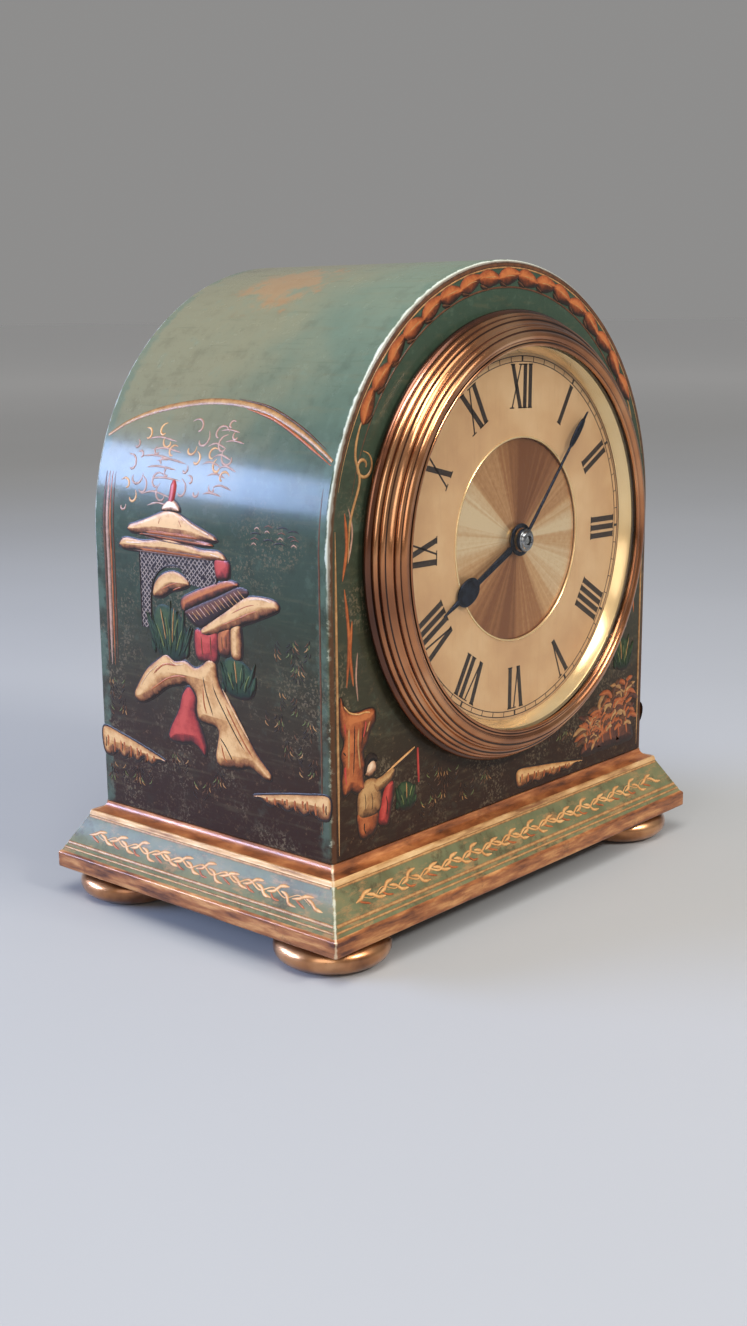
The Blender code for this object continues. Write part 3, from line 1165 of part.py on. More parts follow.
def make_platform():
    """Platform, the bridge of the escape wheel and lever, and the balance cock."""
    pivot = PIVOT_RADIUS + GAP
    outline = hull([circle(PLATFORM_MARGIN, PIPE_SIDES, BRIDGE_FOOT),
                    circle(PLATFORM_MARGIN, PIPE_SIDES, COCK_FOOT),
                    circle(PLATFORM_BALANCE_RADIUS, PIPE_SIDES, BALANCE)])
    holes = [circle(ESCAPE_ARBOR_RADIUS + GAP, SHAFT_SIDES, ESCAPE), circle(pivot, SHAFT_SIDES, PALLET),
             circle(STAFF_PIVOT_RADIUS + GAP, SHAFT_SIDES, BALANCE)]
    stack("escapement_platform", BRASS, CENTRE, [(outline, PLATFORM_FRONT, PLATFORM_BACK, None, holes)])
    bridge_holes = [circle(pivot, SHAFT_SIDES, ESCAPE), circle(pivot, SHAFT_SIDES, PALLET)]
    stack("escape_bridge", BRASS, CENTRE,
          [(oblong(BRIDGE_FOOT, PALLET, BRIDGE_HALF_WIDTH), BRIDGE_FRONT, BRIDGE_BACK, None, bridge_holes)],
          front_bosses=[(circle(BRIDGE_HALF_WIDTH * BRIDGE_FOOT_SHARE, SHAFT_SIDES, BRIDGE_FOOT),
                         PLATFORM_BACK + GAP)])
    stud_circle = HAIRSPRING_OUTER_RADIUS + HAIRSPRING_WIRE_RADIUS + GAP + HAIRSPRING_STUD_RADIUS
    spring_stud = circle(HAIRSPRING_STUD_RADIUS, SHAFT_SIDES, polar(stud_circle, COCK_DEG, BALANCE))
    foot = circle(COCK_HALF_WIDTH * COCK_FOOT_SHARE, PIPE_SIDES, COCK_FOOT)
    staff_hole = circle(STAFF_PIVOT_RADIUS + GAP, SHAFT_SIDES, BALANCE)
    boss = circle(INDEX_BOSS_RADIUS, PIPE_SIDES, BALANCE)
    stack("balance_cock", BRASS, CENTRE,
          [(oblong(COCK_FOOT, BALANCE, COCK_HALF_WIDTH), COCK_FRONT, COCK_BACK, staff_hole),
           (boss, COCK_BACK, INDEX_BACK + GAP, staff_hole)],
          front_bosses=[(foot, PLATFORM_BACK + GAP), (spring_stud, COCK_FRONT - HAIRSPRING_STUD_LENGTH)])


def hull(outlines):
    """The convex outline round several outlines."""
    points = sorted({(round(x, 6), round(z, 6)) for outline in outlines for x, z in outline})

    def half(ordered):
        chain = []
        for p in ordered:
            while len(chain) > 1:
                a, b = chain[-2], chain[-1]
                if (b[0] - a[0]) * (p[1] - a[1]) - (b[1] - a[1]) * (p[0] - a[0]) > 0:
                    break
                chain.pop()
            chain.append(p)
        return chain[:-1]

    return half(points) + half(points[::-1])


def escape_outline():
    """Club teeth: a slanted front, a short flat tip and an undercut back."""
    root = ESCAPE_RADIUS - ESCAPE_TOOTH_DEPTH
    points = []
    for k in range(ESCAPE_TEETH):
        for radius, share in ((root, 0.0), (ESCAPE_RADIUS, 0.45), (ESCAPE_RADIUS, 0.62), (root, 0.5)):
            points.append(polar(radius, 360.0 * (k + share) / ESCAPE_TEETH))
    return points


def lever_outline():
    """A forked tail towards the balance and two arms that hold the pallets over the escape wheel."""
    fork_start = FORK_LENGTH - NOTCH_DEPTH
    neck = PIVOT_RADIUS + LEVER_WAIST
    side = [(FORK_LENGTH, NOTCH_HALF_WIDTH), (FORK_LENGTH, FORK_HALF_WIDTH),
            (fork_start - NOTCH_DEPTH, LEVER_WAIST), (neck, LEVER_WAIST), (0.0, PALLET_SPREAD),
            (-PALLET_REACH, PALLET_SPREAD), (-PALLET_REACH, PALLET_SPREAD - PALLET_WIDTH),
            (-PALLET_WIDTH, PALLET_SPREAD - PALLET_ROOT), (-neck, LEVER_WAIST)]
    outline = [(fork_start, -NOTCH_HALF_WIDTH), (fork_start, NOTCH_HALF_WIDTH)] + side
    outline += [(along, -across) for along, across in side[::-1]]
    return turned_to([(-across, along) for along, across in outline], 90 - BALANCE_DEG)


def make_escapement():
    phase = mesh_phase(FOURTH, ESCAPE, FOURTH_TEETH, ESCAPE_LEAVES)
    pinion = pinion_outline(ESCAPE_LEAVES, FOURTH_MODULE, phase)
    shaft = circle(ESCAPE_ARBOR_RADIUS, SHAFT_SIDES)
    pivot = circle(PIVOT_RADIUS, SHAFT_SIDES)
    leaf_start = layer(FOURTH_LAYER) + WHEEL_THICKNESS / 2 - PINION_LENGTH / 2
    stack("escape_arbor", STEEL, ESCAPE,
          [(pivot, FRONT_PLATE_FRONT, FRONT_PLATE_BACK + GAP),
           (shaft, FRONT_PLATE_BACK + GAP, leaf_start),
           (pinion, leaf_start, leaf_start + PINION_LENGTH),
           (shaft, leaf_start + PINION_LENGTH, BRIDGE_FRONT - GAP),
           (pivot, BRIDGE_FRONT - GAP, BRIDGE_BACK)])
    bore = circle(ESCAPE_ARBOR_RADIUS + GAP, SHAFT_SIDES)
    stack("escape_wheel", BRASS, ESCAPE, [(escape_outline(), LEVER_FRONT, LEVER_BACK, bore)])
    stack("pallet_lever", STEEL, PALLET,
          [(pivot, PLATFORM_FRONT + GAP, LEVER_FRONT), (lever_outline(), LEVER_FRONT, LEVER_BACK),
           (pivot, LEVER_BACK, BRIDGE_BACK)])

    staff_pivot = circle(STAFF_PIVOT_RADIUS, SHAFT_SIDES)
    staff = circle(STAFF_RADIUS, SHAFT_SIDES)
    arms = crossings(BALANCE_HUB, BALANCE_RADIUS - BALANCE_RIM, 2, BALANCE_SPOKE)
    stack("balance_wheel", BRASS, BALANCE,
          [(staff_pivot, PLATFORM_FRONT + GAP, PLATFORM_BACK + GAP),
           (staff, PLATFORM_BACK + GAP, BALANCE_FRONT),
           (circle(BALANCE_RADIUS, DRUM_SIDES), BALANCE_FRONT, BALANCE_BACK, None, arms),
           (staff, BALANCE_BACK, COCK_FRONT - GAP),
           (staff_pivot, COCK_FRONT - GAP, COCK_BACK)])
    make_hairspring()
    make_index()


def make_index():
    """The regulator: a ring round the boss of the cock, with a pointer away from the cock's foot."""
    bore = INDEX_BOSS_RADIUS + GAP
    ring = circle(bore + INDEX_RING, PIPE_SIDES)
    index = stack("regulator_index", STEEL, BALANCE,
                  [(ring, INDEX_FRONT, INDEX_BACK, circle(bore, PIPE_SIDES))])
    way = COCK_DEG + 180
    root = polar(bore + INDEX_RING / 2, way)
    tip = polar(INDEX_LENGTH, way)
    pointer = hull([circle(INDEX_ROOT_RADIUS, SHAFT_SIDES, root), circle(INDEX_TIP_RADIUS, SHAFT_SIDES, tip)])
    arm = stack_mesh([(pointer, INDEX_FRONT, INDEX_BACK)])
    combine(index, tool(arm, index.location / MM), "UNION")


def make_hairspring():
    """The balance spring: one unbroken wire in a flat spiral, from the collet out to its stud."""
    per_turn = 24
    points = spiral_points(HAIRSPRING_TURNS, HAIRSPRING_INNER_RADIUS, HAIRSPRING_OUTER_RADIUS, per_turn)
    print("balance_spring least gap to itself, mm:",
          round(least_gap(points, 2 * HAIRSPRING_WIRE_RADIUS, per_turn), 2))
    turn = radians(COCK_DEG)
    curve = bpy.data.curves.new("balance_spring", "CURVE")
    curve.dimensions = "3D"
    curve.bevel_depth = HAIRSPRING_WIRE_RADIUS * MM
    curve.bevel_resolution = 1
    curve.use_fill_caps = True
    spline = curve.splines.new("POLY")
    spline.points.add(len(points) - 1)
    for point, (x, z) in zip(spline.points, points):
        point.co = ((x * cos(turn) - z * sin(turn)) * MM, 0.0, (x * sin(turn) + z * cos(turn)) * MM, 1.0)
    curve.materials.append(BLUED)
    thing = bpy.data.objects.new("balance_spring", curve)
    thing.location = Vector((BALANCE[0], HAIRSPRING_Y, DIAL_Z + BALANCE[1])) * MM
    bpy.context.collection.objects.link(thing)
    thing.parent = ASSEMBLY


# Ring and door on the back of the case

def knuckle(low, high, radius):
    """A short cylinder on the hinge axis, between two heights from the middle of the door."""
    profile = [(0.0, high), (radius, high), (radius, low), (0.0, low)]
    return turned_mesh(profile, PIPE_SIDES, "Z")


def make_rear():
    """A ring round the rear opening carries the hinge of a round brass door."""
    half = HINGE_KNUCKLE / 2
    ear_start = half + GAP
    ear_end = ear_start + HINGE_EAR
    axis = (-HINGE_OFFSET, HINGE_Y, DIAL_Z)
    opening = circle(REAR_OPENING_RADIUS, LARGE_SIDES)
    ring = stack("rear_bezel", BRASS, CENTRE,
                 [(circle(REAR_RING_RADIUS, LARGE_SIDES), REAR_RING_FRONT, REAR_RING_BACK, opening)])
    block_half = HINGE_RADIUS * HINGE_BLOCK_SHARE
    block_front = REAR_RING_BACK - HINGE_Y - HINGE_SINK
    for low, high in ((-ear_end, -ear_start), (ear_start, ear_end)):
        combine(ring, tool(knuckle(low, high, HINGE_RADIUS), axis), "UNION")
        block = box_mesh((-block_half, block_front, low), (block_half, 0.0, high))
        combine(ring, tool(block, axis), "UNION")
    pin_hole = knuckle(-ear_end - CUT, ear_end + CUT, HINGE_PIN_RADIUS + GAP)
    combine(ring, tool(pin_hole, axis), "DIFFERENCE")

    door_y = DOOR_FRONT - HINGE_Y
    disc = stack_mesh([(circle(DOOR_RADIUS, LARGE_SIDES), door_y, door_y + DOOR_THICKNESS)])
    bmesh.ops.translate(disc, vec=(HINGE_OFFSET, 0.0, 0.0), verts=disc.verts)
    door = place_object("rear_door", disc, BRASS, axis)
    tab = box_mesh((0.0, door_y, -half), (HINGE_MARGIN + DOOR_LAP, door_y + DOOR_THICKNESS, half))
    combine(door, tool(tab, axis), "UNION")
    combine(door, tool(knuckle(-half, half, HINGE_RADIUS), axis), "UNION")
    door_hole = knuckle(-half - CUT, half + CUT, HINGE_PIN_RADIUS + GAP)
    combine(door, tool(door_hole, axis), "DIFFERENCE")
    pin = [(0.0, ear_end), (HINGE_PIN_RADIUS, ear_end), (HINGE_PIN_RADIUS, -ear_end), (0.0, -ear_end)]
    turned("hinge_pin", STEEL, axis, pin, SHAFT_SIDES, "Z")
    knob_start = DOOR_BACK + GAP
    knob_end = knob_start + DOOR_KNOB_LENGTH
    band_end = knob_end - DOOR_KNOB_ROUND
    band_start = band_end - DOOR_KNOB_BAND
    neck = DOOR_KNOB_RADIUS * DOOR_KNOB_NECK_SHARE
    crown = DOOR_KNOB_RADIUS * DOOR_KNOB_CROWN_SHARE
    knob = [(0.0, knob_end), (crown, knob_end), (DOOR_KNOB_RADIUS, band_end), (DOOR_KNOB_RADIUS, band_start),
            (neck, band_start - DOOR_KNOB_ROUND), (neck, knob_start), (0.0, knob_start)]
    turned("door_knob", BRASS, (DOOR_KNOB_OFFSET, 0.0, DIAL_Z), knob, PIPE_SIDES)


make_case()
make_plinth()
make_feet()
make_bezel()
make_glass_and_dial()
make_plates()
make_pillars()
make_straps()
make_hands()
make_motion_work()
make_centre_arbor()
make_train()
make_barrel()
make_winding()
make_click()
make_platform()
make_escapement()
make_rear()
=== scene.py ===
"""Looks of a dome-topped lacquered mantel timepiece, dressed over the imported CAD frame.

Lengths are in millimetres and become metres where a mesh is made.
"""

from math import atan2, cos, hypot, pi, radians, sin

import bmesh
import bpy
from mathutils import Matrix, Vector
from mathutils.geometry import tessellate_polygon


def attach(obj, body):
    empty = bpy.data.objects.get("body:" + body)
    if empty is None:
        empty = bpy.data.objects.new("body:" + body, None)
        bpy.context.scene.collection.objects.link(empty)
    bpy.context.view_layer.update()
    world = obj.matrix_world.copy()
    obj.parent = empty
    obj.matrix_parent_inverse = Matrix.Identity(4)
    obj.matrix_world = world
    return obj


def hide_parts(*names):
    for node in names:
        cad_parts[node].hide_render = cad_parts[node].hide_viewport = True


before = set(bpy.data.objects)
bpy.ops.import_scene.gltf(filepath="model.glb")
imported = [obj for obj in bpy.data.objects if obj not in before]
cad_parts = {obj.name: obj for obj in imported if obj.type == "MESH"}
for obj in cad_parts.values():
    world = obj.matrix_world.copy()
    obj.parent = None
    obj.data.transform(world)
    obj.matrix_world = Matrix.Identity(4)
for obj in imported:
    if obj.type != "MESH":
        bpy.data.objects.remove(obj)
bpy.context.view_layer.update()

MM = 0.001

# Case, as in the CAD model
HALF_WIDTH = 70.0
CASE_FRONT = -42.5
CASE_BACK = 42.5
CASE_BOTTOM = 27.0
ARCH_Z = 101.0
ARCH_RADIUS = 70.0
CASE_TOP = ARCH_Z + ARCH_RADIUS
CASE_WALL = 5.5
PANEL_THICKNESS = 6.0
PANEL_HOLE_RADIUS = 48.0
ARRIS_RADIUS = 1.1

# Plinth and feet
PLINTH_BOTTOM = 8.0
PLINTH_OVERHANG = 10.0
PLINTH_INSET = 20.0  # how far its underside and top reach in under the case
PLINTH_ROUND = 0.5
PLINTH_CHAMFER = 0.5
EDGE_TOP = 12.5
FRIEZE_TOP = 23.4
FRIEZE_FOOT_IN = 0.7  # the slope starts this far in from the edge and up from its top
FRIEZE_FOOT_UP = 0.3
FRIEZE_HEAD_OUT = 0.35  # and ends this far out from the cove and below the fillet
FRIEZE_HEAD_DOWN = 0.5
FILLET_TOP = 24.2
COVE_TOP = 26.7
COVE_OVERHANG = 3.2
FOOT_RADIUS = 15.0
FOOT_FLAT = 9.3
FOOT_BELLY = 4.2

# Dial
DIAL_Z = 99.2
DIAL_CENTRE = (0.0, DIAL_Z)
DIAL_TURN = -1.15  # the dial sits a little turned in its case, in degrees
GLASS_RADIUS = 51.0
GLASS_FRONT = -51.1
GLASS_BACK = -49.9
SIGHT_FRONT = -49.6
SIGHT_BACK = -46.6
SIGHT_RADIUS = 50.0
SIGHT_INNER_RADIUS = 48.2
CHAPTER_FRONT = -46.3
CHAPTER_BACK = -45.8
CHAPTER_INNER_RADIUS = 26.8
SUNBURST_FRONT = -45.7
DIAL_PLATE_FRONT = -45.5
NUMERAL_RADIUS = 39.9
NUMERAL_HEIGHT = 11.4
NUMERAL_STEM = 1.5
NUMERAL_SERIF = 1.9
NUMERAL_HAIRLINE = 0.5
NUMERAL_SERIF_DEPTH = 0.32
TRACK_INNER_RADIUS = 46.2
TRACK_OUTER_RADIUS = 47.6
TRACK_LINE = 0.22
FIVE_MINUTE_LINE = 0.7
INK_HEIGHT = 0.05
INK_FOOT = -0.01  # ink starts a hair below the surface it lies on

# Hands: angles clockwise from the top, in degrees
HOUR_HAND = {"hub": 4.35, "length": 36.0, "swell_at": 25.0, "swell_length": 9.0, "swell_width": 6.6,
             "stem": 1.6}
HOUR_HAND_DEG = 243.5
HOUR_HAND_FRONT = -47.4
HOUR_HAND_BACK = -46.9
HOUR_BORE = 3.2
MINUTE_HAND = {"hub": 3.05, "length": 43.0, "swell_at": 35.8, "swell_length": 9.8, "swell_width": 2.2,
               "stem": 0.7}
MINUTE_HAND_DEG = 42.0
MINUTE_HAND_FRONT = -48.5
MINUTE_HAND_BACK = -48.0
MINUTE_BORE = 2.1
HAND_BEVEL = 0.12
COLLET_BORE = 1.3
COLLET_RADIUS = 3.0
COLLET_BACK = -48.8
COLLET_FRONT = -49.7

# Springs of the movement: middle (x, z), place along y
BARREL_MIDDLE = (-3.99, 76.56)
MAINSPRING_TURNS = 11
MAINSPRING_THICKNESS = 0.35
MAINSPRING_INNER = 5.6
MAINSPRING_OUTER = 14.8
MAINSPRING_FRONT = -27.7
MAINSPRING_BACK = -16.6
BALANCE_MIDDLE = (19.55, 124.21)
HAIRSPRING_TURNS = 9
HAIRSPRING_THICKNESS = 0.12
HAIRSPRING_INNER = 1.6
HAIRSPRING_OUTER = 5.4
HAIRSPRING_FRONT = 3.55
HAIRSPRING_BACK = 3.85
HAIRSPRING_END_DEG = -37.7

# Screws on the back faces of the plate, the balance cock and the bridge:
# middle (x, z) and radius of the head
BACK_PLATE_BACK = -4.5
COCK_BACK = 6.7
BRIDGE_BACK = 0.0
PILLAR_X = 32.91
PILLAR_Z = 19.0
PILLAR_SCREW_RADIUS = 2.4
COCK_SCREW = (29.36, 116.63)
COCK_SCREW_RADIUS = 1.9
BRIDGE_SCREW = (-2.52, 118.21)
BRIDGE_SCREW_RADIUS = 1.4
SCREW_BEVEL = 0.25

# Softened edges of the solids that stay
SOLID_EDGE = 0.12

# Setting knob
SET_KNOB_FRONT = 13.5
SET_KNOB_BACK = 22.5
SET_KNOB_RADIUS = 6.0
SET_KNOB_NECK = 2.6
SET_KNOB_ROUND = 0.8
SET_KNOB_FLUTES = 24
SET_KNOB_FLUTE_DEPTH = 0.5

# Back
REAR_HOLE_RADIUS = 48.0
REAR_RING_RADIUS = 54.0
REAR_BEAD_RADIUS = 50.7
REAR_OPENING_RADIUS = 44.5
REAR_RING_FRONT = 42.8
REAR_RING_BACK = 44.3
DOOR_FRONT = 44.6
DOOR_BACK = 45.8
DOOR_RADIUS = 46.5
DOOR_BEAD_RADIUS = 33.0
DOOR_BOSS_RADIUS = 6.0
DOOR_KNOB_X = 38.0
DOOR_KNOB_END = 50.5
DOOR_KNOB_RADIUS = 3.0
DOOR_KNOB_FOOT = 2.3
HINGE_X = -50.5
HINGE_Y = 46.4
HINGE_RADIUS = 1.8
HINGE_BORE = 1.1
HINGE_BLOCK_HALF = 1.3
KNUCKLE_HALF = 4.0
EAR_START = 4.3
EAR_END = 10.0


# Points and curves

def smooth_path(points, step, closed=False):
    """Points along a smooth curve through the given ones, about one step apart."""
    count = len(points)
    result = []
    for k in range(count if closed else count - 1):
        if closed:
            a, b, c, d = (points[(k + j) % count] for j in (-1, 0, 1, 2))
        else:
            a, b, c, d = (points[min(max(k + j, 0), count - 1)] for j in (-1, 0, 1, 2))
        pieces = max(2, int(hypot(c[0] - b[0], c[1] - b[1]) / step))
        for i in range(pieces):
            t = i / pieces
            result.append(tuple(
                0.5 * (2 * b[j] + (c[j] - a[j]) * t + (2 * a[j] - 5 * b[j] + 4 * c[j] - d[j]) * t * t
                       + (3 * b[j] - a[j] - 3 * c[j] + d[j]) * t ** 3) for j in (0, 1)))
    if not closed:
        result.append(tuple(points[-1]))
    return result


def signed_area(points):
    return sum(a[0] * b[1] - b[0] * a[1] for a, b in zip(points, points[1:] + points[:1])) / 2


def inward(points):
    """The inward direction at each point of a closed path."""
    side = 1.0 if signed_area(points) > 0 else -1.0
    count = len(points)
    result = []
    for k in range(count):
        before, after = points[k - 1], points[(k + 1) % count]
        du, dv = after[0] - before[0], after[1] - before[1]
        length = hypot(du, dv) or 1.0
        result.append((-side * dv / length, side * du / length))
    return result


def room_inside(points):
    """For each point of a closed path, the radius of the largest circle inside that touches it there."""
    rooms = []
    for (u, v), (nu, nv) in zip(points, inward(points)):
        room = 1000.0
        for a, b in points:
            du, dv = a - u, b - v
            reach = du * nu + dv * nv
            if reach > 0.001:
                room = min(room, (du * du + dv * dv) / (2 * reach))
        rooms.append(room)
    return rooms


def inset_path(points, distance, rooms):
    """A closed path moved inwards, less where it has no room."""
    return [(u + nu * min(distance, 0.85 * room), v + nv * min(distance, 0.85 * room))
            for (u, v), (nu, nv), room in zip(points, inward(points), rooms)]


# Meshes

def new_piece(name, points, faces, finishes, indices=None, sharp=35.0, body="case", slot=None, shades=None,
              fill=False):
    """A mesh piece from points in millimetres, smooth but for edges sharper than the given angle.

    shades gives each point a number that painted finishes read.
    fill closes open edges that lie in one plane."""
    mesh = bpy.data.meshes.new(name)
    mesh.from_pydata([tuple(c * MM for c in point) for point in points], [], faces)
    for finish in finishes:
        mesh.materials.append(finish)
    if indices:
        mesh.polygons.foreach_set("material_index", indices)
    if shades:
        mesh.attributes.new("shade", "FLOAT", "POINT").data.foreach_set("value", shades)
    bm = bmesh.new()
    bm.from_mesh(mesh)
    bmesh.ops.remove_doubles(bm, verts=bm.verts, dist=0.000002)
    if fill:
        bmesh.ops.triangle_fill(bm, edges=[edge for edge in bm.edges if edge.is_boundary], use_beauty=True)
    bmesh.ops.recalc_face_normals(bm, faces=bm.faces)
    bm.to_mesh(mesh)
    bm.free()
    mesh.polygons.foreach_set("use_smooth", [True] * len(mesh.polygons))
    mesh.set_sharp_from_angle(angle=radians(sharp))
    piece = bpy.data.objects.new(name, mesh)
    bpy.context.scene.collection.objects.link(piece)
    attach(piece, body)
    return piece


# Faces of a box whose corners run through x, then y, then z
BOX_FACES = [(0, 1, 3, 2), (4, 6, 7, 5), (0, 4, 5, 1), (2, 3, 7, 6), (0, 2, 6, 4), (1, 5, 7, 3)]


def turned_shape(profile, centre=(0.0, 0.0), axis="Y", segments=160, closed=True, flutes=None):
    """Points and faces of a profile of (radius, place along the axis) turned round.

    centre is (x, z), or (x, y) for an upright axis.
    flutes is (count, depth, least radius): hollows cut along the shape wherever it is wider than that."""
    points = []
    for step in range(segments):
        angle = 2 * pi * step / segments
        for radius, along in profile:
            if flutes and radius > flutes[2]:
                radius -= flutes[1] * (0.5 + 0.5 * cos(flutes[0] * angle))
            a, b = centre[0] + radius * cos(angle), centre[1] + radius * sin(angle)
            points.append((a, along, b) if axis == "Y" else (a, b, along))
    rows = len(profile)
    faces = []
    for step in range(segments):
        this, other = step * rows, (step + 1) % segments * rows
        for row in range(rows if closed else rows - 1):
            after = (row + 1) % rows
            faces.append((this + row, this + after, other + after, other + row))
    return points, faces


def turned(name, profile, finishes, centre=(0.0, 0.0), axis="Y", segments=160, closed=True, rows_of=None,
           flutes=None, **settings):
    """A turned piece. rows_of gives the finish of each row of faces, where there is more than one finish."""
    points, faces = turned_shape(profile, centre, axis, segments, closed, flutes)
    rows = len(profile) if closed else len(profile) - 1
    finishes = finishes if isinstance(finishes, list) else [finishes]
    indices = [rows_of[k % rows] for k in range(len(faces))] if rows_of else None
    return new_piece(name, points, faces, finishes, indices, **settings)


def arc(centre, radius, start, end, steps):
    """Profile points on an arc, angles in degrees."""
    return [(centre[0] + radius * cos(radians(start + (end - start) * k / steps)),
             centre[1] + radius * sin(radians(start + (end - start) * k / steps)))
            for k in range(steps + 1)]


# Materials

def colour(red, green, blue):
    """A screen colour from 0 to 255 as the linear one that shaders take."""
    def linear(value):
        value /= 255.0
        return value / 12.92 if value <= 0.04045 else ((value + 0.055) / 1.055) ** 2.4
    return (linear(red), linear(green), linear(blue), 1.0)


class Finish:
    """A node material in the making. Lengths in its patterns are in millimetres."""

    def __init__(self, name, roughness=0.5, metallic=0.0, **sockets):
        self.material = bpy.data.materials.new(name)
        self.material.use_nodes = True
        self.tree = self.material.node_tree
        self.shader = self.tree.nodes["Principled BSDF"]
        self.set("Roughness", roughness)
        self.set("Metallic", metallic)
        for socket, value in sockets.items():
            self.set(socket.replace("_", " "), value)
        scaled = self.node("ShaderNodeVectorMath", operation="SCALE")
        self.join(scaled.inputs[0], self.node("ShaderNodeTexCoord").outputs["Object"])
        scaled.inputs["Scale"].default_value = 1.0 / MM
        self.place = scaled.outputs[0]
        parts = self.node("ShaderNodeSeparateXYZ")
        self.join(parts.inputs[0], self.place)
        self.x, self.y, self.z = parts.outputs

    def node(self, kind, **settings):
        made = self.tree.nodes.new(kind)
        for key, value in settings.items():
            setattr(made, key, value)
        return made

    def join(self, socket, value):
        if isinstance(value, bpy.types.NodeSocket):
            self.tree.links.new(value, socket)
        else:
            socket.default_value = value

    def set(self, socket, value):
        self.join(self.shader.inputs[socket], value)

    def math(self, operation, first, second=0.0, clamp=False):
        made = self.node("ShaderNodeMath", operation=operation, use_clamp=clamp)
        self.join(made.inputs[0], first)
        self.join(made.inputs[1], second)
        return made.outputs[0]

    def times(self, first, second, **settings):
        return self.math("MULTIPLY", first, second, **settings)

    def plus(self, first, second, **settings):
        return self.math("ADD", first, second, **settings)

    def minus(self, first, second, **settings):
        return self.math("SUBTRACT", first, second, **settings)

    def length(self, first, second):
        return self.math("SQRT", self.plus(self.times(first, first), self.times(second, second)))

    def swing(self, noise, size):
        """Noise as a number that swings about 0 instead of 0.5."""
        return self.times(self.minus(noise, 0.5), size)

    def between(self, value, low, high):
        """0 below low, 1 above high, smooth between; the other way round if low is above high."""
        made = self.node("ShaderNodeMapRange", interpolation_type="SMOOTHSTEP")
        self.join(made.inputs["Value"], value)
        if low < high:
            ends = (low, high, 0.0, 1.0)
        else:
            ends = (high, low, 1.0, 0.0)
        for socket, end in zip(("From Min", "From Max", "To Min", "To Max"), ends):
            made.inputs[socket].default_value = end
        return made.outputs["Result"]

    def stretched(self, along):
        made = self.node("ShaderNodeVectorMath", operation="MULTIPLY")
        self.join(made.inputs[0], self.place)
        made.inputs[1].default_value = along
        return made.outputs[0]

    def noise(self, size, detail=3.0, rough=0.55, stretch=None, shift=0.0):
        """Smooth noise around 0.5 whose blotches are about this size."""
        made = self.node("ShaderNodeTexNoise", noise_dimensions="4D")
        self.join(made.inputs["Vector"], self.stretched(stretch) if stretch else self.place)
        made.inputs["W"].default_value = shift
        made.inputs["Scale"].default_value = 1.0 / size
        made.inputs["Detail"].default_value = detail
        made.inputs["Roughness"].default_value = rough
        return made.outputs["Fac"]

    def ramp(self, value, stops):
        """Colours along a value: stops are (value from 0 to 1, colour)."""
        made = self.node("ShaderNodeValToRGB")
        elements = made.color_ramp.elements
        while len(elements) < len(stops):
            elements.new(0.5)
        for element, (at, shade) in zip(elements, stops):
            element.position = at
            element.color = shade
        self.join(made.inputs[0], value)
        return made.outputs[0]

    def mix(self, share, first, second):
        made = self.node("ShaderNodeMix", data_type="RGBA")
        self.join(made.inputs[0], share)
        self.join(made.inputs[6], first)
        self.join(made.inputs[7], second)
        return made.outputs[2]

    def bump(self, height, strength, distance=0.1):
        """Relief on the surface, distance in millimetres."""
        made = self.node("ShaderNodeBump")
        made.inputs["Strength"].default_value = strength
        made.inputs["Distance"].default_value = distance * MM
        self.join(made.inputs["Height"], height)
        self.set("Normal", made.outputs[0])
        self.set("Coat Normal", made.outputs[0])

    def vary(self, low, high, value):
        """A number from low to high as value goes from 0 to 1."""
        return self.plus(self.times(value, high - low), low)


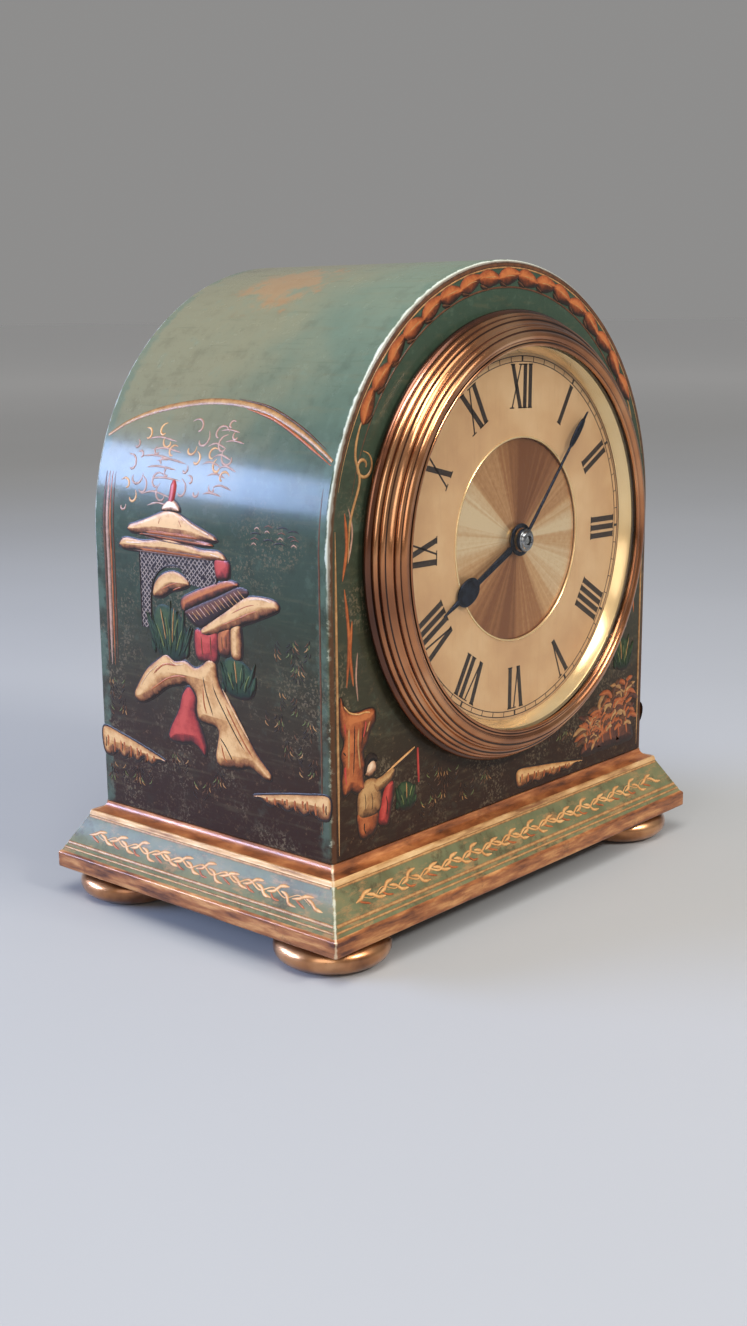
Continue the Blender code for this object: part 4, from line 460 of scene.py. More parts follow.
def lacquer():
    """Old green lacquer: near black at the foot, green above, rubbed on the edges; paler up the sides and
    over the dome, partly fading and partly painted light from above, with the front and back in a darker
    ramp as painted shade, and a painted highlight along the arris of the arch.
    """
    f = Finish("green_lacquer", Coat_Weight=0.16, Coat_Roughness=0.07, Specular_IOR_Level=0.12)
    blotch = f.noise(16.0, 4.0)
    cloud = f.noise(5.0, 5.0, 0.65, shift=2.0)
    fine = f.noise(0.9, 4.0, 0.7)
    brush = f.noise(1.6, 4.0, 0.6, stretch=(0.3, 0.1, 1.0))
    height = f.plus(f.z, f.swing(blotch, 22.0))
    level = f.math("DIVIDE", f.minus(height, CASE_BOTTOM), CASE_TOP - CASE_BOTTOM, clamp=True)
    # Sides and dome: paler towards the top, partly fading and partly painted light from above
    side = f.ramp(level, [
        (0.0, colour(46, 25, 16)), (0.14, colour(50, 31, 20)), (0.26, colour(54, 46, 33)),
        (0.42, colour(52, 60, 47)), (0.6, colour(62, 76, 66)), (0.76, colour(86, 100, 84)),
        (1.0, colour(108, 120, 101))])
    shift = f.swing(blotch, 60.0)
    backwards = f.between(f.plus(f.y, shift), -38.0, 18.0)
    high = f.between(height, 104.0, 134.0)
    faded_and_painted_light = f.mix(f.times(backwards, high), side, colour(122, 118, 92))
    # Front and back: a darker ramp of the same lacquer, painted shade on the faces turned from the light
    front = f.ramp(level, [
        (0.0, colour(46, 27, 18)), (0.1, colour(48, 32, 22)), (0.25, colour(52, 48, 34)),
        (0.6, colour(54, 62, 48)), (1.0, colour(54, 72, 59))])
    normal = f.node("ShaderNodeSeparateXYZ")
    f.join(normal.inputs[0], f.node("ShaderNodeNewGeometry").outputs["Normal"])
    facing = f.between(f.math("ABSOLUTE", normal.outputs[1]), 0.5, 0.85)
    ground = f.mix(facing, faded_and_painted_light, front)
    # Brush marks, clouding, dark pits and pale flecks
    ground = f.mix(f.times(f.between(brush, 0.5, 0.72), 0.2), ground, colour(108, 98, 72))
    ground = f.mix(f.times(f.between(cloud, 0.5, 0.32), f.vary(0.45, 0.12, level)), ground,
                   colour(44, 36, 26))
    scrapes = f.noise(1.2, 4.0, 0.6, stretch=(1.0, 0.08, 1.0), shift=5.0)
    ground = f.mix(f.times(f.between(scrapes, 0.56, 0.74), f.times(level, 0.35)), ground,
                   colour(74, 82, 64))
    paler = f.times(f.between(cloud, 0.54, 0.72), f.vary(0.08, 0.32, level))
    ground = f.mix(paler, ground, colour(104, 122, 104))
    ground = f.mix(f.times(f.between(fine, 0.58, 0.72), f.vary(0.5, 0.2, level)), ground,
                   colour(28, 24, 18))
    scatter = f.between(f.noise(1.5, 6.0, 0.8, shift=7.0), 0.56, 0.66)
    low_down = f.between(f.plus(height, f.swing(cloud, 60.0)), 84.0, 58.0)
    ground = f.mix(f.times(f.times(scatter, low_down), 0.5), ground, colour(112, 84, 58))
    stipple = f.times(f.between(f.noise(0.7, 3.0, 0.6, shift=13.0), 0.52, 0.6),
                     f.between(f.noise(15.0, 3.0, shift=17.0), 0.47, 0.6))
    ground = f.mix(f.times(f.times(stipple, f.between(level, 0.72, 0.5)), 0.5), ground,
                   colour(118, 102, 80))
    # A rubbed spray of old gilding on the dome
    across = f.math("DIVIDE", f.plus(f.x, 27.0), 13.0)
    along = f.math("DIVIDE", f.minus(f.y, 9.0), 15.0)
    away = f.length(across, along)
    away = f.plus(away, f.swing(cloud, 3.0))
    spray = f.times(f.between(away, 1.0, 0.45), f.between(f.z, 150.0, 158.0))
    ground = f.mix(f.times(spray, 0.42), ground, colour(168, 116, 72))
    # Distance from the arris between the sides and the front or back
    rise = f.math("MAXIMUM", f.minus(f.z, ARCH_Z), 0.0)
    out = f.length(f.x, rise)
    from_outline = f.minus(HALF_WIDTH, out)
    from_ends = f.minus(CASE_BACK, f.math("ABSOLUTE", f.y))
    edge = f.math("MAXIMUM", from_outline, from_ends)
    ragged = f.plus(edge, f.swing(f.noise(2.2, 5.0, 0.75), 6.0))
    margin = f.times(f.between(ragged, 4.2, 2.6), f.minus(1.0, facing))
    patchy = f.times(margin, f.between(f.noise(6.0, 4.0, shift=9.0), 0.36, 0.6))
    ground = f.mix(f.times(patchy, 0.6), ground, colour(88, 106, 90))
    ground = f.mix(f.times(f.between(ragged, 0.5, -0.3), 0.8), ground, colour(168, 172, 152))
    # A crisp near-white line on the arris of the arch: painted highlight
    painted_highlight_reach = f.plus(edge, f.swing(f.noise(3.0, 4.0, shift=3.0), 1.6))
    line = f.times(f.between(painted_highlight_reach, 0.95, 0.55), f.between(f.z, 84.0, 106.0))
    ground = f.mix(f.times(line, 0.9), ground, colour(206, 212, 200))
    brown = f.times(facing, f.between(f.plus(edge, f.times(cloud, 0.8)), 2.4, 1.6))
    ground = f.mix(f.times(brown, 0.75), ground, colour(84, 52, 32))
    f.set("Base Color", ground)
    dull = f.times(f.between(level, 0.4, 0.1), 0.25)
    f.set("Roughness", f.plus(f.vary(0.14, 0.36, f.noise(4.0, 5.0, 0.65, shift=1.0)), dull))
    f.bump(f.plus(f.times(fine, 0.7), f.times(brush, 0.5)), 0.3, 0.06)
    return f.material


def worn_mitre(f, tone, worn):
    """Paint rubbed pale along the mitred corners of the plinth."""
    past_side = f.minus(f.math("ABSOLUTE", f.x), HALF_WIDTH)
    past_front = f.minus(f.math("ABSOLUTE", f.y), CASE_BACK)
    away = f.math("ABSOLUTE", f.minus(past_side, past_front))
    ragged = f.plus(away, f.swing(f.noise(1.6, 5.0, 0.75, shift=11.0), 2.4))
    return f.mix(f.times(f.between(ragged, 0.7, -0.1), 0.7), tone, worn)


def frieze_green():
    """Sage green lacquer of the plinth, smudged dark and rubbed to its gilt ground."""
    f = Finish("frieze_green", Coat_Weight=0.08, Coat_Roughness=0.15, Specular_IOR_Level=0.15)
    ground = f.ramp(f.noise(9.0, 4.0), [
        (0.3, colour(90, 86, 58)), (0.5, colour(102, 104, 74)), (0.7, colour(124, 114, 78))])
    smudge = f.between(f.noise(6.0, 5.0, 0.75, shift=3.0), 0.52, 0.68)
    ground = f.mix(f.times(smudge, 0.7), ground, colour(70, 54, 36))
    rubbed = f.between(f.noise(2.2, 5.0, 0.75, stretch=(0.3, 0.3, 1.0), shift=8.0), 0.5, 0.66)
    ground = f.mix(f.times(rubbed, 0.6), ground, colour(166, 122, 80))
    ground = worn_mitre(f, ground, colour(206, 204, 182))
    f.set("Base Color", ground)
    f.set("Roughness", f.vary(0.35, 0.6, f.noise(3.0, 4.0)))
    f.bump(f.noise(0.8, 4.0, 0.6), 0.3, 0.06)
    return f.material


def gilding(name, pale, mid, dark, grain, patch=9.0):
    """Gilt mouldings, streaked along their length from pale to dark, with worn patches."""
    f = Finish(name, metallic=0.25, Coat_Weight=0.25, Coat_Roughness=0.15, Specular_IOR_Level=0.4)
    streaks = f.noise(grain, 4.0, 0.6, stretch=(0.16, 0.16, 1.0))
    tone = f.ramp(streaks, [(0.34, dark), (0.5, mid), (0.66, pale)])
    worn = f.between(f.noise(patch, 5.0, 0.7, shift=5.0), 0.56, 0.7)
    tone = f.mix(f.times(worn, 0.5), tone, dark)
    tone = worn_mitre(f, tone, colour(224, 204, 172))
    f.set("Base Color", tone)
    f.set("Roughness", f.vary(0.26, 0.5, f.noise(1.5, 4.0)))
    f.bump(f.noise(0.7, 4.0, 0.65), 0.45, 0.08)
    return f.material


def painted(name, pale, mid, dark, grain, rim=colour(38, 24, 16)):
    """Raised paint, uneven from the brush: dark at the rim of a shape, pale where its shade is high; the
    shade also holds painted light from the upper left.
    """
    f = Finish(name, metallic=0.1, Coat_Weight=0.12, Coat_Roughness=0.15, Specular_IOR_Level=0.25)
    shade = f.node("ShaderNodeAttribute", attribute_name="shade").outputs["Fac"]
    uneven = f.swing(f.noise(grain, 5.0, 0.7), 1.1)
    level = f.plus(shade, uneven, clamp=True)
    tone = f.ramp(level, [(0.02, rim), (0.26, dark), (0.55, mid), (0.85, pale)])
    specks = f.between(f.noise(0.8, 4.0, 0.7, shift=6.0), 0.6, 0.72)
    tone = f.mix(f.times(specks, 0.4), tone, dark)
    f.set("Base Color", tone)
    f.set("Roughness", f.vary(0.32, 0.56, f.noise(1.5, 4.0)))
    f.bump(f.noise(0.6, 4.0, 0.65), 0.4, 0.08)
    return f.material


def lattice_paint():
    """Dark fretwork wall: a fine grey lattice on purple-brown."""
    f = Finish("paint_lattice", Coat_Weight=0.08, Coat_Roughness=0.15, Specular_IOR_Level=0.2)
    cell = 1.5
    across = f.math("PINGPONG", f.plus(f.y, f.z), cell / 2)
    along = f.math("PINGPONG", f.minus(f.y, f.z), cell / 2)
    bars = f.math("MAXIMUM", f.between(across, 0.28, 0.12), f.between(along, 0.28, 0.12))
    broken = f.between(f.noise(1.2, 3.0), 0.36, 0.5)
    tone = f.mix(f.times(bars, broken), colour(38, 26, 26), colour(148, 130, 118))
    f.set("Base Color", tone)
    f.set("Roughness", f.vary(0.3, 0.5, f.noise(2.0)))
    f.bump(bars, 0.3, 0.08)
    return f.material


def turned_brass(name, pale, mid, dark, centre=None, roughness=0.2, patch=26.0, metallic=1.0, spread=0.0):
    """Polished brass with fine lathe lines round a centre (x, z), tarnished in soft patches.

    spread draws highlights out across the lathe lines, on a ring whose own middle is that centre."""
    f = Finish(name, metallic=metallic, Coat_Weight=0.6, Coat_Roughness=0.08)
    tone = f.ramp(f.noise(patch, 3.0, 0.5), [(0.3, dark), (0.52, mid), (0.72, pale)])
    spots = f.between(f.noise(1.4, 4.0, 0.7, shift=4.0), 0.62, 0.74)
    tone = f.mix(f.times(spots, 0.35), tone, dark)
    lines = f.noise(0.5, 3.0)
    if centre:
        dx = f.minus(f.x, centre[0])
        dz = f.minus(f.z, centre[1])
        out = f.length(dx, dz)
        wave = f.node("ShaderNodeTexNoise", noise_dimensions="1D")
        f.join(wave.inputs["W"], f.plus(out, f.y))
        wave.inputs["Scale"].default_value = 3.2
        wave.inputs["Detail"].default_value = 3.0
        lines = wave.outputs["Fac"]
        tone = f.mix(f.times(f.between(lines, 0.5, 0.7), 0.25), tone, dark)
    f.set("Base Color", tone)
    f.set("Roughness", f.vary(roughness - 0.06, roughness + 0.12, f.noise(3.0, 4.0, 0.6, shift=2.0)))
    if spread:
        round_lines = f.node("ShaderNodeTangent", direction_type="RADIAL", axis="Y")
        f.set("Tangent", round_lines.outputs[0])
        f.set("Anisotropic", spread)
        f.set("Anisotropic Rotation", 0.25)
    f.bump(lines, 0.25, 0.03)
    return f.material


def brushed_brass(name, pale, dark):
    """Satin brass with a fine upright grain."""
    f = Finish(name, metallic=1.0)
    grain = f.noise(0.3, 3.0, 0.5, stretch=(1.0, 1.0, 0.05))
    tone = f.ramp(grain, [(0.2, dark), (0.6, pale)])
    f.set("Base Color", f.mix(f.times(f.between(f.noise(9.0, 3.0), 0.5, 0.8), 0.4), tone, dark))
    f.set("Roughness", f.vary(0.22, 0.4, grain))
    f.bump(grain, 0.2, 0.02)
    return f.material


def champagne():
    """Aged silvering of the chapter ring, brushed upright, warmer in patches."""
    f = Finish("champagne_silvering", metallic=0.3, Specular_IOR_Level=0.4)
    tone = f.ramp(f.noise(18.0, 4.0), [
        (0.3, colour(192, 146, 104)), (0.5, colour(206, 162, 117)), (0.7, colour(217, 178, 134))])
    brushed = f.noise(0.7, 3.0, stretch=(1.0, 1.0, 0.06))
    tone = f.mix(f.times(f.between(brushed, 0.5, 0.75), 0.2), tone, colour(178, 136, 98))
    stain = f.between(f.noise(2.4, 4.0, 0.6, shift=6.0), 0.68, 0.78)
    tone = f.mix(f.times(stain, 0.5), tone, colour(150, 110, 74))
    f.set("Base Color", tone)
    f.set("Roughness", f.vary(0.34, 0.5, f.noise(3.0)))
    f.bump(brushed, 0.15, 0.02)
    return f.material


def sunburst():
    """Engine-turned dial centre: fine rays round the middle, with painted highlight in two opposite wedges
    and painted shade between them, standing in for the turned reflection.
    """
    f = Finish("sunburst_gilt", metallic=0.65, Anisotropic=0.7)
    angle = f.math("ARCTAN2", f.minus(f.z, DIAL_Z), f.x)

    def rays(scale, detail):
        made = f.node("ShaderNodeTexNoise", noise_dimensions="1D")
        f.join(made.inputs["W"], angle)
        made.inputs["Scale"].default_value = scale
        made.inputs["Detail"].default_value = detail
        return made.outputs["Fac"]

    narrow = rays(14.0, 4.0)
    wide = rays(2.4, 2.0)
    # Two bright and two dark wedges: painted highlight and painted shade of the turned reflection
    painted_sheen_wedge = f.math("COSINE", f.times(f.minus(angle, radians(163.0)), 2.0))
    rays_and_painted_sheen = f.plus(f.times(painted_sheen_wedge, 0.36), 0.46)
    rays_and_painted_sheen = f.plus(rays_and_painted_sheen, f.swing(wide, 0.9))
    rays_and_painted_sheen = f.plus(rays_and_painted_sheen, f.swing(narrow, 0.35))
    rays_and_painted_sheen = f.plus(rays_and_painted_sheen, f.swing(f.noise(1.2, 4.0), 0.25), clamp=True)
    tone = f.ramp(rays_and_painted_sheen, [(0.08, colour(134, 82, 48)), (0.36, colour(172, 116, 72)),
                          (0.6, colour(212, 162, 112)), (0.85, colour(236, 206, 164))])
    f.set("Base Color", tone)
    f.set("Roughness", f.vary(0.26, 0.4, narrow))
    f.set("Tangent", f.node("ShaderNodeTangent", direction_type="RADIAL", axis="Y").outputs[0])
    f.bump(narrow, 0.25, 0.03)
    return f.material


def steel(name, pale, dark, roughness):
    f = Finish(name, metallic=1.0)
    f.set("Base Color", f.ramp(f.noise(2.5, 5.0, 0.65), [(0.35, dark), (0.65, pale)]))
    f.set("Roughness", f.vary(roughness, roughness + 0.16, f.noise(0.9, 4.0)))
    f.bump(f.noise(0.4, 3.0, stretch=(1.0, 1.0, 0.2)), 0.12, 0.02)
    return f.material


def dial_ink():
    f = Finish("dial_ink", Specular_IOR_Level=0.35)
    f.set("Base Color", f.ramp(f.noise(0.8, 4.0), [(0.3, colour(22, 15, 12)), (0.75, colour(58, 40, 28))]))
    f.set("Roughness", f.vary(0.35, 0.6, f.noise(1.5)))
    return f.material


def bare_wood():
    """Dark-stained wood inside the case and under the plinth."""
    f = Finish("bare_wood", Specular_IOR_Level=0.25)
    grain = f.noise(3.0, 5.0, 0.6, stretch=(0.15, 1.0, 0.6))
    f.set("Base Color", f.ramp(grain, [(0.3, colour(74, 50, 32)), (0.5, colour(104, 72, 46)),
                                       (0.7, colour(128, 92, 60))]))
    f.set("Roughness", f.vary(0.55, 0.8, f.noise(4.0)))
    f.bump(grain, 0.3, 0.1)
    return f.material


def clear_glass():
    """Thin flat glass: lamps pass, and a faint reflection stays on its outer face."""
    f = Finish("clear_glass", roughness=0.02)
    tree = f.tree
    clear = f.node("ShaderNodeBsdfTransparent")
    clear.inputs["Color"].default_value = (0.975, 0.985, 0.98, 1.0)
    gloss = f.node("ShaderNodeBsdfGlossy")
    gloss.inputs["Roughness"].default_value = 0.015
    weight = f.node("ShaderNodeFresnel")
    weight.inputs["IOR"].default_value = 1.35
    sheet = f.node("ShaderNodeMixShader")
    inside = f.node("ShaderNodeNewGeometry").outputs["Backfacing"]
    f.join(sheet.inputs[0], f.times(weight.outputs[0], f.minus(1.0, inside)))
    tree.links.new(clear.outputs[0], sheet.inputs[1])
    tree.links.new(gloss.outputs[0], sheet.inputs[2])
    tree.links.new(sheet.outputs[0], tree.nodes["Material Output"].inputs["Surface"])
    return f.material


def clear_back():
    """The rim and back of the glass, which only let light through."""
    f = Finish("glass_back")
    clear = f.node("ShaderNodeBsdfTransparent")
    clear.inputs["Color"].default_value = (0.985, 0.99, 0.985, 1.0)
    f.tree.links.new(clear.outputs[0], f.tree.nodes["Material Output"].inputs["Surface"])
    return f.material


LACQUER = lacquer()
FRIEZE = frieze_green()
WOOD = bare_wood()
GLASS = clear_glass()
CLEAR = clear_back()
INK = dial_ink()
CHAMPAGNE = champagne()
SUNBURST = sunburst()
COPPER_BRASS = turned_brass("copper_brass", colour(238, 184, 136), colour(196, 130, 84),
                            colour(118, 66, 38), DIAL_CENTRE, roughness=0.18, spread=0.8)
# Darker brass for the outermost reed of the bezel: painted shade
SHADED_EDGE_BRASS = turned_brass("shaded_edge_brass", colour(138, 86, 58), colour(104, 62, 42), colour(70, 40, 27),
                          DIAL_CENTRE, roughness=0.2)
# Dark brass for the grooves between the reeds: painted shade
GROOVE_SHADE_BRASS = turned_brass("groove_shade_brass", colour(84, 50, 32), colour(62, 36, 23), colour(40, 24, 16),
                            DIAL_CENTRE, roughness=0.4)
SIGHT_BRASS = turned_brass("sight_brass", colour(252, 224, 172), colour(242, 206, 150),
                           colour(220, 180, 124), DIAL_CENTRE, roughness=0.2, metallic=0.7)
FOOT_BRASS = turned_brass("foot_brass", colour(220, 164, 116), colour(186, 128, 84), colour(124, 78, 50),
                          roughness=0.28, patch=9.0)
MOVEMENT_BRASS = brushed_brass("movement_brass", colour(238, 206, 140), colour(218, 180, 112))
REAR_BRASS = turned_brass("rear_brass", colour(222, 178, 120), colour(206, 160, 104), colour(180, 134, 84),
                          DIAL_CENTRE, roughness=0.2)
GILT_BRASS = turned_brass("gilt_brass", colour(252, 214, 138), colour(238, 192, 110), colour(208, 158, 84),
                          roughness=0.18, patch=8.0)
NICKEL = brushed_brass("brushed_nickel", colour(196, 196, 192), colour(160, 160, 156))
STEEL = steel("bright_steel", colour(206, 206, 204), colour(146, 146, 146), 0.16)
COLLET_STEEL = steel("collet_steel", colour(176, 176, 178), colour(92, 92, 98), 0.08)
BLUED = steel("blued_steel", colour(44, 50, 66), colour(20, 20, 28), 0.24)
GILT_COVE = gilding("gilt_cove", colour(196, 128, 76), colour(152, 88, 48), colour(84, 46, 26), grain=2.4)
GILT_LINE = gilding("gilt_line", colour(232, 192, 138), colour(204, 156, 102), colour(140, 92, 54),
                    grain=2.0)
GILT_EDGE = gilding("gilt_edge", colour(206, 148, 92), colour(158, 96, 54), colour(84, 44, 28), grain=2.2,
                    patch=6.0)
PAINTS = {
    "cream": painted("paint_cream", colour(216, 170, 114), colour(184, 130, 76), colour(122, 70, 38), 3.0),
    "gold": painted("paint_gold", colour(184, 142, 92), colour(150, 106, 64), colour(100, 66, 40), 1.8),
    "orange": painted("paint_orange", colour(182, 106, 58), colour(146, 74, 38), colour(86, 42, 24), 2.6),
    "red": painted("paint_red", colour(186, 72, 60), colour(158, 50, 42), colour(96, 32, 28), 3.0),
    "green": painted("paint_green", colour(58, 74, 42), colour(38, 54, 30), colour(26, 36, 22), 1.8),
    "leaf": painted("paint_leaf", colour(118, 120, 70), colour(86, 94, 52), colour(50, 58, 34), 1.6),
    "pink": painted("paint_pink", colour(186, 148, 126), colour(152, 114, 94), colour(100, 78, 64), 1.6),
    "ink": painted("paint_ink", colour(52, 36, 27), colour(36, 25, 19), colour(22, 15, 12), 1.6,
                   colour(20, 13, 10)),
    "tile": painted("paint_tile", colour(100, 58, 42), colour(70, 40, 30), colour(42, 25, 21), 1.6),
    "brown": painted("paint_brown", colour(108, 68, 42), colour(80, 50, 32), colour(50, 33, 24), 1.6),
    "white": painted("paint_white", colour(228, 198, 166), colour(202, 162, 128), colour(150, 104, 74),
                     1.6),
    "lattice": lattice_paint(),
}

# Steps of an even scatter in two directions
SCATTER_U = 0.7549
SCATTER_V = 0.5698


# Case, plinth and feet

def case_outline():
    """Closed outline of the case seen from the front, as (x, z)."""
    points = []
    bottom, side, dome = 24, 14, 112
    for k in range(bottom):
        points.append((HALF_WIDTH - 2 * HALF_WIDTH * k / bottom, CASE_BOTTOM))
    for k in range(side):
        points.append((-HALF_WIDTH, CASE_BOTTOM + (ARCH_Z - CASE_BOTTOM) * k / side))
    for k in range(dome):
        angle = pi - pi * k / dome
        points.append((ARCH_RADIUS * cos(angle), ARCH_Z + ARCH_RADIUS * sin(angle)))
    for k in range(side):
        points.append((HALF_WIDTH, ARCH_Z - (ARCH_Z - CASE_BOTTOM) * k / side))
    return points


def make_case():
    """One skin of lacquer over the sides, dome, front and back, with bare wood inside."""
    outline = case_outline()
    count = len(outline)

    def drawn_in(distance):
        share = (HALF_WIDTH - distance) / HALF_WIDTH
        return [(x * share, ARCH_Z + (z - ARCH_Z) * share if z > ARCH_Z else z) for x, z in outline]

    def hole(radius):
        around = []
        for x, z in outline:
            angle = atan2(z - DIAL_Z, x)
            around.append((radius * cos(angle), DIAL_Z + radius * sin(angle)))
        return around

    inside_front = CASE_FRONT + PANEL_THICKNESS
    inside_back = CASE_BACK - PANEL_THICKNESS
    rings = [(hole(PANEL_HOLE_RADIUS), inside_front, 1), (hole(PANEL_HOLE_RADIUS), CASE_FRONT, 0)]
    steps = 5
    turn = [pi / 2 * k / steps for k in range(steps + 1)]
    rings += [(drawn_in(ARRIS_RADIUS * (1 - sin(a))), CASE_FRONT + ARRIS_RADIUS * (1 - cos(a)), 0)
              for a in turn]
    rings += [(drawn_in(ARRIS_RADIUS * (1 - sin(a))), CASE_BACK - ARRIS_RADIUS * (1 - cos(a)), 0)
              for a in turn[::-1]]
    rings += [(hole(REAR_HOLE_RADIUS), CASE_BACK, 1), (hole(REAR_HOLE_RADIUS), inside_back, 1),
              (drawn_in(CASE_WALL), inside_back, 1), (drawn_in(CASE_WALL), inside_front, 1)]
    points = [(x, y, z) for loop, y, _ in rings for x, z in loop]
    faces = []
    indices = []
    on_face = {1, len(rings) - 5, len(rings) - 3, len(rings) - 1}
    for r in range(len(rings)):
        after = (r + 1) % len(rings)
        for k in range(count):
            k2 = (k + 1) % count
            flat_bottom = outline[k][1] == CASE_BOTTOM and outline[k2][1] == CASE_BOTTOM
            through_hole = r in (0, len(rings) - 4)
            if flat_bottom and r not in on_face and not through_hole:
                continue
            faces.append((r * count + k, r * count + k2, after * count + k2, after * count + k))
            indices.append(rings[r][2])
    case = new_piece("lacquered_case", points, faces, [LACQUER, WOOD], indices, slot="green_lacquer",
                     fill=True)
    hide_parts("case_shell", "front_panel", "back_panel")


def make_plinth():
    """Mitred moulding: gilt edge, sloping green frieze, bright fillet and a gilt cove."""
    green, cove, edge, line, wood = range(5)
    soft = PLINTH_ROUND
    rim = PLINTH_OVERHANG - soft
    profile = [(-PLINTH_INSET, PLINTH_BOTTOM, wood), (rim, PLINTH_BOTTOM, edge)]
    profile += [(r, z, edge) for r, z in arc((rim, PLINTH_BOTTOM + soft), soft, -70, 0, 3)]
    profile += [(r, z, edge) for r, z in arc((rim, EDGE_TOP - soft), soft, 0, 60, 3)]
    profile += [(PLINTH_OVERHANG - FRIEZE_FOOT_IN, EDGE_TOP + FRIEZE_FOOT_UP, green),
                (COVE_OVERHANG + FRIEZE_HEAD_OUT, FRIEZE_TOP - FRIEZE_HEAD_DOWN, line)]
    profile += [(COVE_OVERHANG + 0.3, FRIEZE_TOP, line), (COVE_OVERHANG + 0.1, FILLET_TOP - 0.15, line)]
    steps = 8
    for k in range(steps + 1):
        angle = pi / 2 * k / steps
        profile.append((COVE_OVERHANG * (1 - sin(angle)) * 0.93,
                        FILLET_TOP + (COVE_TOP - FILLET_TOP) * (1 - cos(angle)), cove))
    profile += [(-1.0, COVE_TOP, wood), (-PLINTH_INSET, COVE_TOP, wood)]
    points = []
    for out, z, _ in profile:
        x, y = HALF_WIDTH + out, CASE_BACK + out
        for sx, sy in ((-1, -1), (1, -1), (1, 1), (-1, 1)):
            pair = [(sx * x, sy * (y - PLINTH_CHAMFER), z), (sx * (x - PLINTH_CHAMFER), sy * y, z)]
            points += pair if sx == sy else pair[::-1]
    faces = []
    indices = []
    rows = len(profile)
    around = 8
    for r in range(rows):
        after = (r + 1) % rows
        for k in range(around):
            k2 = (k + 1) % around
            faces.append((r * around + k, r * around + k2, after * around + k2, after * around + k))
            indices.append(profile[r][2])
    plinth = new_piece("moulded_plinth", points, faces, [FRIEZE, GILT_COVE, GILT_EDGE, GILT_LINE, WOOD],
                       indices, sharp=25.0, slot="frieze_green")
    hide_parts("plinth")


def make_feet():
    """Polished bun feet."""
    x = HALF_WIDTH + PLINTH_OVERHANG - FOOT_RADIUS
    y = CASE_BACK + PLINTH_OVERHANG - FOOT_RADIUS
    profile = [(0.0, 0.0), (FOOT_FLAT - 1.0, 0.0)]
    steps = 16
    for k in range(steps + 1):
        angle = -pi / 2 + pi * k / steps
        half = FOOT_BELLY if angle < 0 else PLINTH_BOTTOM - FOOT_BELLY
        profile.append((FOOT_FLAT + (FOOT_RADIUS - FOOT_FLAT) * cos(angle), FOOT_BELLY + half * sin(angle)))
    profile.append((0.0, PLINTH_BOTTOM))
    for name, sx, sy in (("front_left", -1, -1), ("front_right", 1, -1), ("back_left", -1, 1),
                         ("back_right", 1, 1)):
        foot = turned("bun_foot_" + name, profile, FOOT_BRASS, (sx * x, sy * y), "Z", 64, closed=False,
                      slot="brass")
        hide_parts("foot_" + name)


# Bezel, glass and dial

# Steps of the bezel from its foot to its crest, each an arc and the groove after it:
# middle (radius, y), size, first and last angle, pieces, finish, groove points
# Finishes of the bezel rows: the groove and edge finishes are painted shade
COPPER, GROOVE_SHADE, SHADED_EDGE = range(3)
BEZEL_FOOT = [(51.3, -42.8), (58.3, -42.8), (58.3, -43.3)]
BEZEL_STEPS = (
    ((58.35, -44.4), 1.1, 80, -70, 10, SHADED_EDGE, [(58.55, -45.55), (58.2, -45.7)]),
    ((57.75, -46.35), 0.75, 60, -70, 8, COPPER, [(57.75, -47.15), (57.4, -47.3)]),
    ((56.95, -47.95), 0.7, 60, -60, 8, COPPER, [(56.95, -48.7), (56.5, -48.75)]),
    ((57.0, -50.2), 1.5, 110, 165, 6, COPPER, [(55.2, -49.95), (55.0, -50.0)]),
    ((54.45, -50.6), 0.7, 50, -80, 8, COPPER, [(54.3, -51.3), (53.9, -51.3)]),
    ((52.75, -51.0), 1.2, -5, -150, 12, COPPER, [(51.3, -51.62), (51.0, -51.5)]),
    ((50.6, -51.5), 0.45, -40, -180, 6, COPPER, [(50.1, -51.25), (51.3, -51.2)]),
)


def make_bezel():
    """Stepped brass ring: two reeds, a hollow, a reed and a round polished crest, with painted shade in the
    grooves and on the outermost reed.
    """
    profile = list(BEZEL_FOOT)
    rows = [GROOVE_SHADE] * len(profile)
    for middle, size, start, end, pieces, finish, groove in BEZEL_STEPS:
        profile += arc(middle, size, start, end, pieces) + groove
        rows += [finish] * (pieces + 1) + [GROOVE_SHADE] * len(groove)
    bezel = turned("reeded_bezel", profile, [COPPER_BRASS, GROOVE_SHADE_BRASS, SHADED_EDGE_BRASS], DIAL_CENTRE,
                   segments=192, rows_of=rows, sharp=40.0, slot="brass")
    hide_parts("front_bezel")


def make_glass():
    """The polished sight ring and the flat glass on it."""
    soft = 0.2
    sight = [(GLASS_RADIUS, SIGHT_FRONT), (SIGHT_RADIUS, SIGHT_FRONT),
             (SIGHT_RADIUS - soft, SIGHT_FRONT + soft), (SIGHT_INNER_RADIUS + 0.1, SIGHT_BACK - 0.25),
             (SIGHT_INNER_RADIUS, SIGHT_BACK), (GLASS_RADIUS, SIGHT_BACK)]
    ring = turned("polished_sight_ring", sight, SIGHT_BRASS, DIAL_CENTRE, segments=192, sharp=40.0,
                  slot="brass")
    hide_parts("sight_ring")
    pane = [(0.0, GLASS_FRONT), (GLASS_RADIUS - soft, GLASS_FRONT), (GLASS_RADIUS, GLASS_FRONT + soft),
            (GLASS_RADIUS, GLASS_BACK), (0.0, GLASS_BACK)]
    glass = turned("dial_glass", pane, [GLASS, CLEAR], DIAL_CENTRE, segments=160, closed=False,
                   rows_of=(0, 0, 1, 1), slot="glass")
    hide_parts("bezel_glass")


def on_dial(across, up, height, turn=0.0):
    """A point on the dial, turned clockwise by some degrees, raised towards the viewer."""
    angle = radians(DIAL_TURN - turn)
    return (across * cos(angle) - up * sin(angle), CHAPTER_FRONT - height,
            DIAL_Z + across * sin(angle) + up * cos(angle))


